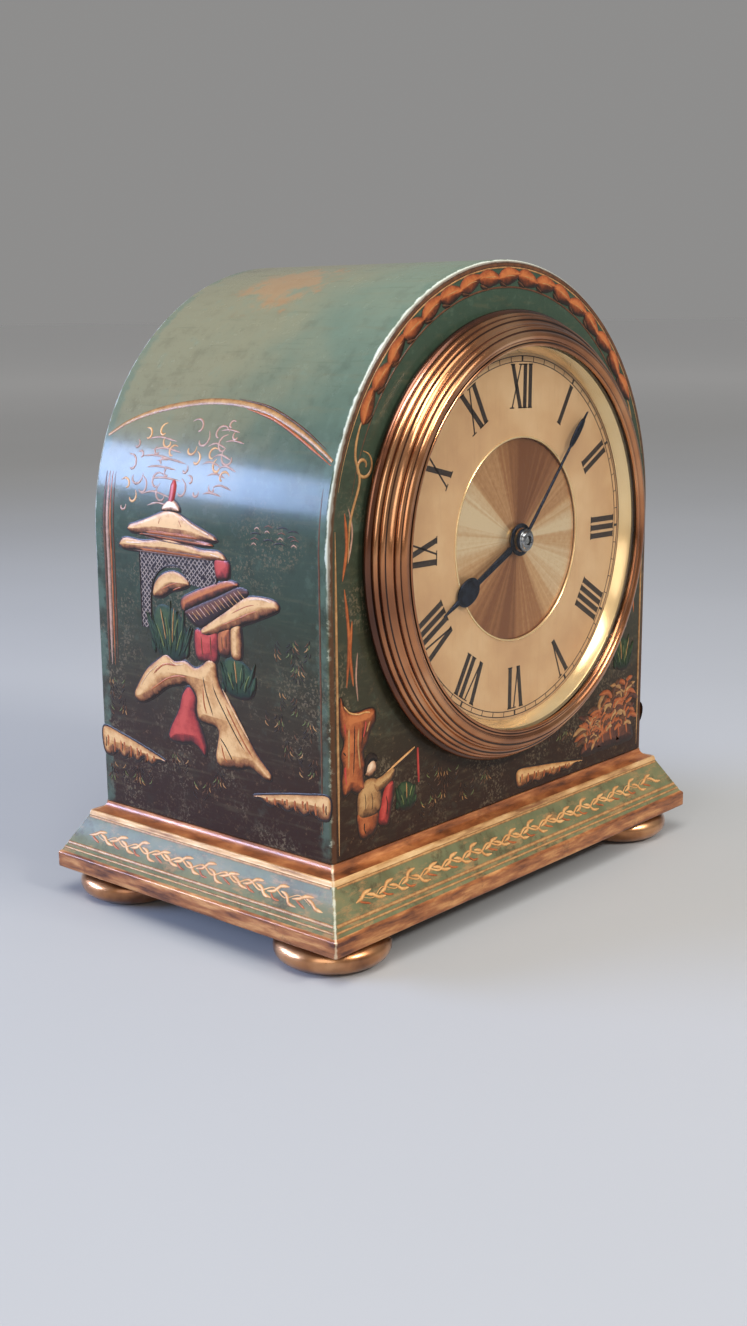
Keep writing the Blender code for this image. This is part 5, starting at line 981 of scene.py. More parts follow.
class Print:
    """Flat ink shapes a hair above the dial."""

    def __init__(self):
        self.points = []
        self.faces = []

    def shape(self, corners, turn):
        start = len(self.points)
        count = len(corners)
        for height in (INK_FOOT, INK_HEIGHT):
            self.points += [on_dial(a, b, height, turn) for a, b in corners]
        self.faces += [tuple(start + count + k for k in range(count)),
                       tuple(start + k for k in range(count))]
        for k in range(count):
            k2 = (k + 1) % count
            self.faces.append((start + k, start + k2, start + count + k2, start + count + k))

    def bar(self, a, b, width, turn):
        """A straight stroke between two points, cut level at both ends."""
        half = width / 2
        self.shape([(a[0] - half, a[1]), (a[0] + half, a[1]), (b[0] + half, b[1]), (b[0] - half, b[1])],
                   turn)

    def ring(self, radius, width):
        start = len(self.points)
        steps = 240
        for k in range(steps):
            angle = 2 * pi * k / steps
            for side, height in ((-1, INK_FOOT), (1, INK_FOOT), (1, INK_HEIGHT), (-1, INK_HEIGHT)):
                r = radius + side * width / 2
                self.points.append(on_dial(r * sin(angle), r * cos(angle), height))
        for k in range(steps):
            a, b = start + 4 * k, start + 4 * ((k + 1) % steps)
            self.faces += [(a + j, a + (j + 1) % 4, b + (j + 1) % 4, b + j) for j in range(4)]


NUMERALS = ("XII", "I", "II", "III", "IIII", "V", "VI", "VII", "VIII", "IX", "X", "XI")
LETTER_WIDTHS = {"I": 2.3, "V": 4.8, "X": 5.1}


def print_numeral(ink, text, turn):
    low = NUMERAL_RADIUS - NUMERAL_HEIGHT / 2
    high = NUMERAL_RADIUS + NUMERAL_HEIGHT / 2
    serif = NUMERAL_SERIF_DEPTH
    left = -sum(LETTER_WIDTHS[letter] for letter in text) / 2
    for letter in text:
        width = LETTER_WIDTHS[letter]
        middle = left + width / 2
        reach = (width - NUMERAL_STEM) / 2
        if letter == "I":
            ink.bar((middle, low), (middle, high), NUMERAL_STEM, turn)
            feet = [middle]
        elif letter == "V":
            ink.bar((middle - reach, high), (middle, low), NUMERAL_STEM, turn)
            ink.bar((middle + reach, high), (middle + 0.2, low), NUMERAL_HAIRLINE, turn)
            feet = []
        else:
            ink.bar((middle - reach, high), (middle + reach, low), NUMERAL_STEM, turn)
            ink.bar((middle + reach, high), (middle - reach, low), NUMERAL_HAIRLINE, turn)
            feet = [middle - reach, middle + reach]
        heads = [middle] if letter == "I" else [middle - reach, middle + reach]
        for place in heads:
            ink.bar((place, high - serif), (place, high), NUMERAL_SERIF, turn)
        for place in feet:
            ink.bar((place, low), (place, low + serif), NUMERAL_SERIF, turn)
        left += width


def make_dial():
    """Champagne chapter ring with Roman numerals and a minute track, round a sunburst centre."""
    ring = [(GLASS_RADIUS, CHAPTER_FRONT), (CHAPTER_INNER_RADIUS + 0.15, CHAPTER_FRONT),
            (CHAPTER_INNER_RADIUS, CHAPTER_FRONT + 0.15), (CHAPTER_INNER_RADIUS, CHAPTER_BACK),
            (GLASS_RADIUS, CHAPTER_BACK)]
    chapter = turned("silvered_chapter_ring", ring, CHAMPAGNE, DIAL_CENTRE, segments=192,
                     slot="silvered_ring")
    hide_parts("chapter_ring")
    centre = [(3.4, SUNBURST_FRONT), (CHAPTER_INNER_RADIUS - 0.3, SUNBURST_FRONT),
              (CHAPTER_INNER_RADIUS - 0.1, DIAL_PLATE_FRONT), (3.4, DIAL_PLATE_FRONT)]
    turned("sunburst_centre", centre, SUNBURST, DIAL_CENTRE, segments=192, slot="gilt_dial")
    bead = arc((CHAPTER_INNER_RADIUS + 0.05, CHAPTER_FRONT), 0.3, 0, -180, 6)
    turned("centre_bead", bead, SIGHT_BRASS, DIAL_CENTRE, segments=192, slot="gilt_dial")
    ink = Print()
    for hour, text in enumerate(NUMERALS):
        print_numeral(ink, text, 30.0 * hour)
    for minute in range(60):
        width = FIVE_MINUTE_LINE if minute % 5 == 0 else TRACK_LINE
        ink.bar((0.0, TRACK_INNER_RADIUS), (0.0, TRACK_OUTER_RADIUS), width, 6.0 * minute)
    for radius in (TRACK_INNER_RADIUS, TRACK_OUTER_RADIUS):
        ink.ring(radius, TRACK_LINE)
    new_piece("dial_numerals", ink.points, ink.faces, [INK], slot="silvered_ring")


# Hands

def hand_outline(hub, length, swell_at, swell_length, swell_width, stem):
    """A slim hand pointing up: round hub, thin tapered stem, one swelling and a fine point."""
    half = stem / 2
    right = arc((0.0, 0.0), hub, -90, 84, 14)
    foot = swell_at - swell_length / 2
    right += [(half * 1.25, hub + 1.0), (half * 1.1, (hub + foot) / 2)]
    steps = 14
    for k in range(steps + 1):
        angle = pi * k / steps
        right.append((max(half * 0.9, swell_width / 2 * sin(angle) ** 0.8),
                      swell_at - swell_length / 2 * cos(angle)))
    right += [(half * 0.6, (swell_at + swell_length / 2 + length) / 2), (half * 0.2, length)]
    return right + [(-u, v) for u, v in right[::-1] if u > 0.001]


def make_hand(name, node, outline, bore, front, back, turn, body):
    """A flat blued hand with a soft edge, turned clockwise from the top."""
    rooms = room_inside(outline)
    hole = arc((0.0, 0.0), bore, 0, 345, 23)
    face = inset_path(outline, HAND_BEVEL, rooms)
    loops = [(outline, back), (outline, front + HAND_BEVEL), (face, front), (hole, front), (hole, back)]
    angle = radians(turn)
    points = []
    starts = []
    for loop, y in loops:
        starts.append(len(points))
        points += [(u * cos(angle) + v * sin(angle), y, DIAL_Z - u * sin(angle) + v * cos(angle))
                   for u, v in loop]
    faces = []
    for first, second in ((0, 1), (1, 2), (3, 4)):
        count = len(loops[first][0])
        for k in range(count):
            k2 = (k + 1) % count
            faces.append((starts[first] + k, starts[first] + k2, starts[second] + k2, starts[second] + k))
    for outer, inner in ((2, 3), (0, 4)):
        flat = [[Vector((u, v, 0.0)) for u, v in loops[n][0]] for n in (outer, inner)]
        count = len(flat[0])
        faces += [tuple(starts[outer] + k if k < count else starts[inner] + k - count for k in triangle)
                  for triangle in tessellate_polygon(flat)]
    hand = new_piece(name, points, faces, [BLUED], body=body, slot="blued_steel")
    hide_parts(node)


def make_hands():
    make_hand("moon_hour_hand", "hour_hand", hand_outline(**HOUR_HAND), HOUR_BORE,
              HOUR_HAND_FRONT, HOUR_HAND_BACK, HOUR_HAND_DEG, "hour_hand_work")
    make_hand("leaf_minute_hand", "minute_hand", hand_outline(**MINUTE_HAND), MINUTE_BORE,
              MINUTE_HAND_FRONT, MINUTE_HAND_BACK, MINUTE_HAND_DEG, "minute_hand_work")
    rim, back = COLLET_RADIUS, COLLET_BACK
    profile = [(COLLET_BORE, back), (rim - 0.1, back), (rim, back - 0.15), (rim - 0.1, back - 0.3),
               (rim - 0.5, back - 0.35)]
    profile += arc((rim - 1.0, COLLET_FRONT + 0.4), 0.4, 0, -90, 5) + [(COLLET_BORE, COLLET_FRONT)]
    collet = turned("bright_collet", profile, COLLET_STEEL, DIAL_CENTRE, segments=48,
                    body="minute_hand_work", slot="steel")
    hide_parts("hand_collet")


# Movement: finer springs and setting knob, and finishes for the solids that stay

def spiral_spring(name, node, middle, inner, outer, turns, thickness, front, back, end_turn, finish, body,
                  slot):
    """A flat ribbon wound in a spiral whose outer end lies at a given angle."""
    per_turn = 48
    count = turns * per_turn
    points = []
    faces = []
    for k in range(count + 1):
        share = k / count
        angle = radians(end_turn) + 2 * pi * turns * (share - 1.0)
        radius = inner + (outer - inner) * share
        for out, y in ((0.5, front), (0.5, back), (-0.5, back), (-0.5, front)):
            reach = radius + out * thickness
            points.append((middle[0] + reach * cos(angle), y, middle[1] + reach * sin(angle)))
    for k in range(count):
        for j in range(4):
            j2 = (j + 1) % 4
            faces.append((4 * k + j, 4 * k + j2, 4 * k + 4 + j2, 4 * k + 4 + j))
    faces += [(0, 1, 2, 3), tuple(4 * count + j for j in range(4))]
    spring = new_piece(name, points, faces, [finish], body=body, slot=slot)
    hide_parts(node)


def make_screws():
    """Blued screws that hold the plates, the balance cock and the bridge, each with a near-black bar
    standing in the slot as painted shade.
    """
    heads = [(x, DIAL_Z + z, BACK_PLATE_BACK, PILLAR_SCREW_RADIUS)
             for x, z in ((-PILLAR_X, PILLAR_Z), (-PILLAR_X, -PILLAR_Z), (PILLAR_X, -PILLAR_Z))]
    heads += [(*COCK_SCREW, COCK_BACK, COCK_SCREW_RADIUS),
              (*BRIDGE_SCREW, BRIDGE_BACK, BRIDGE_SCREW_RADIUS)]
    points, faces, slot_shade_points, slot_shade_faces = [], [], [], []
    for number, (x, z, level, radius) in enumerate(heads):
        top = level + 0.35 * radius
        profile = [(0.0, level), (radius, level), (radius, top - SCREW_BEVEL), (radius - SCREW_BEVEL, top),
                   (0.0, top)]
        more, ring = turned_shape(profile, (x, z), segments=40, closed=False)
        faces += [tuple(len(points) + k for k in face) for face in ring]
        points += more
        turn = 1.0 + 2.0 * number
        along = Vector((cos(turn), 0.0, sin(turn)))
        across = Vector((-along.z, 0.0, along.x))
        # A near-black bar on the head stands in for the slot: painted shade
        slot_shade_faces += [tuple(len(slot_shade_points) + k for k in face) for face in BOX_FACES]
        slot_shade_points += [tuple(Vector((x, y, z)) + radius * (0.92 * a * along + 0.13 * b * across))
                        for a in (-1, 1) for y in (top - 0.1, top + 0.02) for b in (-1, 1)]
    new_piece("movement_screws", points, faces, [BLUED], slot="blued_steel")
    new_piece("screw_slots", slot_shade_points, slot_shade_faces, [INK], slot="blued_steel")


def make_springs():
    spiral_spring("coiled_mainspring", "mainspring", BARREL_MIDDLE, MAINSPRING_INNER, MAINSPRING_OUTER,
                  MAINSPRING_TURNS, MAINSPRING_THICKNESS, MAINSPRING_FRONT, MAINSPRING_BACK, 0.0, STEEL,
                  "spring_barrel", "steel")
    spiral_spring("coiled_balance_spring", "balance_spring", BALANCE_MIDDLE, HAIRSPRING_INNER,
                  HAIRSPRING_OUTER, HAIRSPRING_TURNS, HAIRSPRING_THICKNESS, HAIRSPRING_FRONT,
                  HAIRSPRING_BACK, HAIRSPRING_END_DEG, BLUED, "case", "blued_steel")


def make_set_knob():
    """A fluted knob on a plain neck."""
    front, back, soft = SET_KNOB_FRONT, SET_KNOB_BACK, SET_KNOB_ROUND
    side = SET_KNOB_RADIUS - soft
    profile = [(0.0, front), (SET_KNOB_NECK, front), (SET_KNOB_NECK, front + 3.2)]
    profile += arc((side, front + 4.4), soft, -90, 0, 4) + arc((side, back - soft), soft, 0, 80, 4)
    profile += [(side - 0.6, back - 0.25), (side - 1.0, back), (0.0, back)]
    knob = turned("fluted_set_knob", profile, MOVEMENT_BRASS, DIAL_CENTRE, segments=144, closed=False,
                  flutes=(SET_KNOB_FLUTES, SET_KNOB_FLUTE_DEPTH, side - 0.2), body="minute_hand_work",
                  slot="brass")
    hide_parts("set_knob")


def finish_solids():
    """Materials and soft edges for the solids that show as they are."""
    stay = {
        WOOD: ["base_board"],
        MOVEMENT_BRASS: ["dial_plate", "front_plate", "back_plate", "pillar_1", "pillar_2", "pillar_3",
                         "pillar_4", "movement_strap_left", "movement_strap_right", "barrel",
                         "barrel_cover", "hour_wheel", "minute_wheel", "centre_wheel", "intermediate_wheel",
                         "third_wheel", "fourth_wheel", "winding_key"],
        GILT_BRASS: ["escape_bridge", "balance_cock", "balance_wheel", "escape_wheel"],
        NICKEL: ["escapement_platform"],
        STEEL: ["centre_arbor", "cannon_pinion", "intermediate_arbor", "third_arbor", "fourth_arbor",
                "escape_arbor", "barrel_arbor", "ratchet_wheel", "pallet_lever", "regulator_index",
                "hinge_pin"],
        BLUED: ["click", "click_spring"],
    }
    for finish, names in stay.items():
        for name in names:
            solid = bpy.data.objects[name]
            solid.data.materials.clear()
            solid.data.materials.append(finish)
            edge = solid.modifiers.new("soft_edges", "BEVEL")
            edge.width = SOLID_EDGE * MM
            edge.segments = 2
            edge.limit_method = "ANGLE"
            edge.angle_limit = radians(50.0)


# Ring, door and hinge on the back

def hinge_tube(name, low, high, body):
    profile = [(HINGE_BORE, low), (HINGE_RADIUS - 0.2, low), (HINGE_RADIUS, low + 0.2),
               (HINGE_RADIUS, high - 0.2), (HINGE_RADIUS - 0.2, high), (HINGE_BORE, high)]
    turned(name, profile, REAR_BRASS, (HINGE_X, HINGE_Y), "Z", 40, body=body, slot="brass")


def plain_block(name, low, high, finish, body, slot):
    """A box between two corners."""
    points = [(x, y, z) for x in (low[0], high[0]) for y in (low[1], high[1]) for z in (low[2], high[2])]
    return new_piece(name, points, BOX_FACES, [finish], body=body, slot=slot)


def make_rear_ring():
    """A stepped ring round the opening, with two hinge ears on blocks."""
    inner, outer, front, back = REAR_OPENING_RADIUS, REAR_RING_RADIUS, REAR_RING_FRONT, REAR_RING_BACK
    bead = REAR_BEAD_RADIUS
    ring = [(inner, front), (outer, front), (outer, front + 0.4)]
    ring += arc((outer - 0.9, front + 0.4), 0.9, 0, 80, 5)
    ring += [(bead + 1.7, back - 0.1), (bead + 1.4, back - 0.55), (bead + 0.8, back - 0.6)]
    ring += arc((bead, back - 0.6), 0.6, 0, 180, 8)
    ring += [(bead - 1.1, back - 0.6), (bead - 1.5, back - 0.1), (bead - 1.9, back), (inner + 0.2, back),
             (inner, back - 0.2)]
    piece = turned("stepped_rear_ring", ring, REAR_BRASS, DIAL_CENTRE, segments=192, sharp=40.0,
                   slot="brass")
    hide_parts("rear_bezel")
    for sign, name in ((1, "upper"), (-1, "lower")):
        low, high = sorted((DIAL_Z + sign * EAR_START, DIAL_Z + sign * EAR_END))
        hinge_tube("hinge_ear_" + name, low, high, "case")
        plain_block("hinge_block_" + name, (HINGE_X - HINGE_BLOCK_HALF, back - 0.6, low + 0.2),
                    (HINGE_X + HINGE_BLOCK_HALF, HINGE_Y - HINGE_BORE, high - 0.2), REAR_BRASS, "case",
                    "brass")


def make_rear_door():
    """A dished brass door with a bead and a boss, hung on one knuckle."""
    rim, front, back = DOOR_RADIUS, DOOR_FRONT, DOOR_BACK
    bead, boss = DOOR_BEAD_RADIUS, DOOR_BOSS_RADIUS
    door = [(0.0, front), (rim - 0.3, front), (rim, front + 0.3), (rim, back - 0.5)]
    door += arc((rim - 0.7, back - 0.5), 0.7, 0, 90, 5)
    door += [(rim - 1.8, back + 0.2), (rim - 2.4, back - 0.25), (bead + 0.6, back - 0.35)]
    door += arc((bead, back - 0.35), 0.5, 0, 180, 6)
    door += [(bead - 0.7, back - 0.35), (bead - 1.4, back - 0.2), (boss, back), (boss - 0.4, back + 0.25)]
    door += arc((boss - 2.4, back - 1.2), 2.0, 45, 90, 4) + [(0.0, back + 0.9)]
    piece = turned("dished_rear_door", door, REAR_BRASS, DIAL_CENTRE, segments=192, closed=False,
                   sharp=40.0, body="door", slot="brass")
    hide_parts("rear_door")
    hinge_tube("hinge_knuckle", DIAL_Z - KNUCKLE_HALF, DIAL_Z + KNUCKLE_HALF, "door")
    plain_block("hinge_tab", (HINGE_X + HINGE_BORE, front + 0.1, DIAL_Z - KNUCKLE_HALF + 0.2),
                (-rim + 1.5, back - 0.1, DIAL_Z + KNUCKLE_HALF - 0.2), REAR_BRASS, "door", "brass")


def make_door_knob():
    """A turned knob with a waist and a domed end."""
    foot, radius, back, end = DOOR_KNOB_FOOT, DOOR_KNOB_RADIUS, DOOR_BACK, DOOR_KNOB_END
    knob = [(0.0, back - 0.4), (foot, back - 0.4), (foot, back + 0.4), (foot - 0.8, back + 0.7),
            (foot - 0.9, end - 3.2), (foot - 0.5, end - 2.6)]
    knob += arc((radius - 0.9, end - 1.5), 0.9, -50, 60, 8) + arc((0.0, end - 4.4), 4.4, 66, 90, 5)
    piece = turned("turned_door_knob", knob, REAR_BRASS, (DOOR_KNOB_X, DIAL_Z), segments=48, closed=False,
                   body="door", slot="brass")
    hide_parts("door_knob")


# Painted relief: raised gilt and coloured ornament on the lacquer

PAINT_RELIEF = 0.7  # share of a motif's drawn height that the old, rubbed paint keeps


class Relief:
    """Raised paint on the case, gathered by colour into one mesh each."""

    def __init__(self):
        self.points = {}
        self.faces = {}
        self.shades = {}

    def add(self, paint, points, faces, shades):
        held = self.points.setdefault(paint, [])
        start = len(held)
        held += points
        self.shades.setdefault(paint, []).extend(shades)
        self.faces.setdefault(paint, []).extend(tuple(start + k for k in face) for face in faces)

    def patch(self, paint, surface, outline, height, flat=False):
        """A filled shape with a rounded rim, painted darker at the rim, with painted light that makes it
        paler towards the upper left and darker towards the lower right.
        """
        path = outline if flat else smooth_path(outline, 0.9, closed=True)
        count = len(path)
        rooms = room_inside(path)
        loops = ((0.0, -0.1, 0.0), (0.0, 0.35, 0.08), (0.35, 0.8, 0.3), (1.0, 1.0, 0.52), (2.2, 1.0, 0.66))
        if flat:
            loops = ((0.0, -0.1, 0.0), (0.0, 1.0, 0.6))
        # Painted light from the upper left: rims facing up and left are paler, those facing down and right
        # darker
        painted_light = [0.28 * (0.45 * nu - 0.9 * nv) for nu, nv in inward(path)]
        points = []
        shades = []
        for inset, rise, shade in loops:
            loop = inset_path(path, inset, rooms)
            up = rise * height * PAINT_RELIEF if rise > 0 else rise
            points += [surface(u, v, up) for u, v in loop]
            shades += [shade + (light if shade else 0.0) for light in painted_light]
        faces = []
        rows = len(loops)
        for row in range(rows - 1):
            for k in range(count):
                k2 = (k + 1) % count
                faces.append((row * count + k, row * count + k2, (row + 1) * count + k2,
                              (row + 1) * count + k))
        for row in (0, rows - 1):
            level = [Vector((u, v, 0.0)) for u, v in inset_path(path, loops[row][0], rooms)]
            faces += [tuple(row * count + k for k in triangle) for triangle in tessellate_polygon([level])]
        self.add(paint, points, faces, shades)

    def stroke(self, paint, surface, path, width, height, ends=(0.2, 0.2), closed=False):
        """A raised brush stroke; ends are the shares of its width at the start and finish."""
        track = smooth_path(path, 0.7, closed)
        count = len(track)
        shape = ((-1.0, -0.3, 0.3), (-0.6, 0.75, 0.55), (0.0, 1.0, 0.75), (0.6, 0.75, 0.55),
                 (1.0, -0.3, 0.3))
        points = []
        shades = []
        for k, (u, v) in enumerate(track):
            before = track[k - 1] if closed or k else track[0]
            after = track[(k + 1) % count] if closed or k < count - 1 else track[-1]
            du, dv = after[0] - before[0], after[1] - before[1]
            length = hypot(du, dv) or 1.0
            share = k / max(count - 1, 1)
            start, end = ends
            swell = 1.0 if closed else min(1.0, start + (1 - start) * share * 4,
                                           end + (1 - end) * (1 - share) * 4)
            for across, up, shade in shape:
                shift = across * width / 2 * swell
                points.append(surface(u - dv / length * shift, v + du / length * shift,
                                      up * height * PAINT_RELIEF * swell))
                shades.append(shade)
        rows = len(shape)
        faces = []
        for k in range(count if closed else count - 1):
            this, other = k * rows, (k + 1) % count * rows
            faces += [(this + j, this + (j + 1) % rows, other + (j + 1) % rows, other + j)
                      for j in range(rows)]
        if not closed:
            faces += [tuple(range(rows)), tuple((count - 1) * rows + j for j in range(rows))]
        self.add(paint, points, faces, shades)

    def strokes(self, paint, surface, paths, width, **settings):
        for path in paths:
            self.stroke(paint, surface, path, width, **settings)

    def outlined(self, paint, surface, outline, height, line=0.8):
        """A filled shape with a dark painted rim."""
        self.stroke("ink", surface, outline, line, 0.12, closed=True)
        self.patch(paint, surface, outline, height)

    def leaf(self, paint, surface, foot, angle, length, width, height):
        """A pointed leaf from its foot, at an angle in degrees."""
        along, across = cos(radians(angle)), sin(radians(angle))
        shape = ((0.0, 0.0), (0.3, 0.46), (0.65, 0.4), (1.0, 0.0), (0.65, -0.4), (0.3, -0.46))
        self.patch(paint, surface, [(foot[0] + length * a * along - width * b * across,
                                     foot[1] + length * a * across + width * b * along) for a, b in shape],
                   height)

    def curl(self, paint, surface, middle, radius, start, turns, width, height):
        """A spiral brush stroke that winds in to its middle."""
        steps = max(6, int(12 * abs(turns)))
        path = []
        for k in range(steps + 1):
            share = k / steps
            angle = radians(start) + 2 * pi * turns * share
            reach = radius * (1 - 0.75 * share)
            path.append((middle[0] + reach * cos(angle), middle[1] + reach * sin(angle)))
        self.stroke(paint, surface, path, width, height, ends=(0.3, 0.5))

    def finish(self):
        for paint, points in self.points.items():
            new_piece("ornament_" + paint, points, self.faces[paint], [PAINTS[paint]], sharp=60.0,
                      slot="green_lacquer", shades=self.shades[paint])


# Surfaces that take ornament: u to the right as seen from outside, v up, h outwards

def up_the_side(v, h):
    """Distance out from the middle and height, for a length v up the side and on over the dome."""
    if v <= ARCH_Z:
        return HALF_WIDTH + h, v
    angle = (v - ARCH_Z) / ARCH_RADIUS
    return (ARCH_RADIUS + h) * cos(angle), ARCH_Z + (ARCH_RADIUS + h) * sin(angle)


def on_left(u, v, h):
    out, z = up_the_side(v, h)
    return (-out, -u, z)


def on_right(u, v, h):
    out, z = up_the_side(v, h)
    return (out, u, z)


def on_front(u, v, h):
    return (u, CASE_FRONT - h, v)


def on_back(u, v, h):
    return (-u, CASE_BACK + h, v)


def round_arch(surface, radius):
    """A band along the arch of the front or back: u along it from the top, v outwards."""
    def place(u, v, h):
        angle = pi / 2 - u / radius
        return surface((radius + v) * cos(angle), ARCH_Z + (radius + v) * sin(angle), h)
    return place


def frieze_side(side):
    """The sloping frieze of one side of the plinth: v is up the slope from its foot."""
    rise = FRIEZE_TOP - EDGE_TOP - FRIEZE_FOOT_UP - FRIEZE_HEAD_DOWN
    run = PLINTH_OVERHANG - COVE_OVERHANG - FRIEZE_FOOT_IN - FRIEZE_HEAD_OUT
    slope = hypot(rise, run)

    def surface(u, v, h):
        out = PLINTH_OVERHANG - FRIEZE_FOOT_IN - run * v / slope + h * rise / slope
        z = EDGE_TOP + FRIEZE_FOOT_UP + rise * v / slope + h * run / slope
        if side == "front":
            return (u, CASE_FRONT - out, z)
        if side == "back":
            return (-u, CASE_BACK + out, z)
        if side == "left":
            return (-HALF_WIDTH - out, -u, z)
        return (HALF_WIDTH + out, u, z)
    return surface


def moved(surface, du=0.0, dv=0.0, scale=1.0, flip=False):
    """The same surface with its origin moved, for a motif drawn elsewhere, larger or the other way round."""
    def place(u, v, h):
        return surface(du + (-u if flip else u) * scale, dv + v * scale, h)
    return place


# Motifs, each drawn about its own foot

def draw_rock(relief, s):
    """A hollow mound: a folded gilt ribbon over a red heart."""
    relief.outlined("red", s, [(-6.8, 20), (-4.2, 17), (-4.2, 12.6), (-2.4, 9), (-0.8, 4.6), (-1.6, 2.2),
                               (-3.6, 4), (-6, 5), (-11, 4.2), (-15, 5), (-14.6, 7.6), (-11.2, 13),
                               (-9.4, 17.6)], 0.25)
    relief.outlined("cream", s, [(-28.4, 14.6), (-26.6, 18), (-23, 22.4), (-18.4, 25.6), (-15, 27.4),
                                 (-12, 26), (-8, 26.6), (-4.4, 25.2), (-1.4, 26.4), (1, 28.2), (3.4, 27.4),
                                 (4.2, 23), (6, 20), (9.2, 17.2), (12.4, 12.6), (17.2, 6.4), (22.6, 1.2),
                                 (20.4, 0), (15.4, 2.2), (10, 1), (4, 0.8), (2.6, 3), (3.8, 8.6),
                                 (3.2, 10.8), (0, 11.2), (-3.4, 11.8), (-4.2, 14.4), (-4, 17.8),
                                 (-6.8, 20.6), (-10.2, 20), (-15, 18.6), (-21, 14.8), (-26, 13)], 0.45)
    relief.strokes("ink", s, [[(1.4, 27), (2.6, 21), (6, 15.6), (11, 9), (16.6, 3)],
                              [(-1.6, 25.6), (-0.4, 20), (1.6, 15), (2.8, 11.2)],
                              [(3.6, 9), (6.4, 6.4), (9.6, 2)]], 0.6, height=0.62)
    relief.strokes("orange", s, [[(-25.6, 14.6), (-20, 18), (-14, 21.4), (-8, 22.4), (-3.4, 20.6)],
                                 [(-22, 20), (-16, 24.6), (-9, 24.8)],
                                 [(4.6, 21), (8.6, 14.6), (14, 7.4), (19, 2.4)],
                                 [(-1.4, 22), (-1, 16), (0.6, 12.6)], [(4.6, 7.6), (6, 3), (8, 2)]], 0.9,
                   height=0.58)
    relief.strokes("white", s, [[(-26.8, 16.4), (-22, 21.6), (-16.4, 25.6)],
                                [(5.4, 21.6), (9.8, 15.8), (15, 9)],
                                [(-14.6, 26.6), (-11.4, 25.2), (-7.6, 26)]], 0.5, height=0.6)


def draw_island(relief, s, length, rise, strokes):
    """A low bank that runs out to a point on the right, ragged below and hatched with upright strokes."""
    outline = [(0, rise), (length * 0.3, rise * 0.84), (length * 0.65, rise * 0.5), (length, rise * 0.08)]
    outline += [(length * (0.88 - 0.11 * k), -rise * (0.02 + 0.26 * (k % 2))) for k in range(8)]
    relief.outlined("cream", s, outline + [(0, -rise * 0.1)], 0.2)
    for k in range(strokes):
        share = k / strokes
        u = length * (0.03 + 0.8 * share) + 0.4 * (k % 3)
        top = rise * (0.86 - 0.66 * share)
        low = -rise * (0.04 + 0.1 * (k * 2 % 3))
        middle = top + (low - top) * (0.25 + 0.2 * (k % 3))
        relief.stroke("brown", s, [(u, middle), (u + 0.3, (middle + low) / 2), (u - 0.1, low)], 0.7, 0.3)
        relief.stroke("orange", s, [(u + 0.9, top * 0.9), (u + 1.1, (top + low) / 2), (u + 0.8, low * 0.7)],
                      1.1, 0.28)


def draw_roof(relief, s, left, right, peak, base, eave):
    """A tented roof with upturned ends: left and right ends, peak (u, v), base height and eave depth."""
    relief.outlined("cream", s, [(left, base + eave * 0.9), (left + 2.4, base + eave * 1.3),
                                 ((left + peak[0]) / 2 - 1, (base + peak[1]) / 2 + 0.6),
                                 (peak[0] - 2.6, peak[1] - 0.5), peak, (peak[0] + 2.6, peak[1] - 0.6),
                                 ((right + peak[0]) / 2 + 1, (base + peak[1]) / 2 + 0.2),
                                 (right - 2.4, base + eave), (right, base + eave * 0.5),
                                 (right - 0.6, base - 0.1), ((left + right) / 2, base),
                                 (left + 0.8, base + 0.1)], 0.42)
    relief.stroke("orange", s, [(left + 2, base + 0.6), ((left + right) / 2, base + 0.7),
                                (right - 2, base + 0.4)], 1.5, 0.46)
    relief.stroke("brown", s, [(left + 3, base + 0.1), ((left + right) / 2, base), (right - 3, base)], 0.7,
                  0.5)


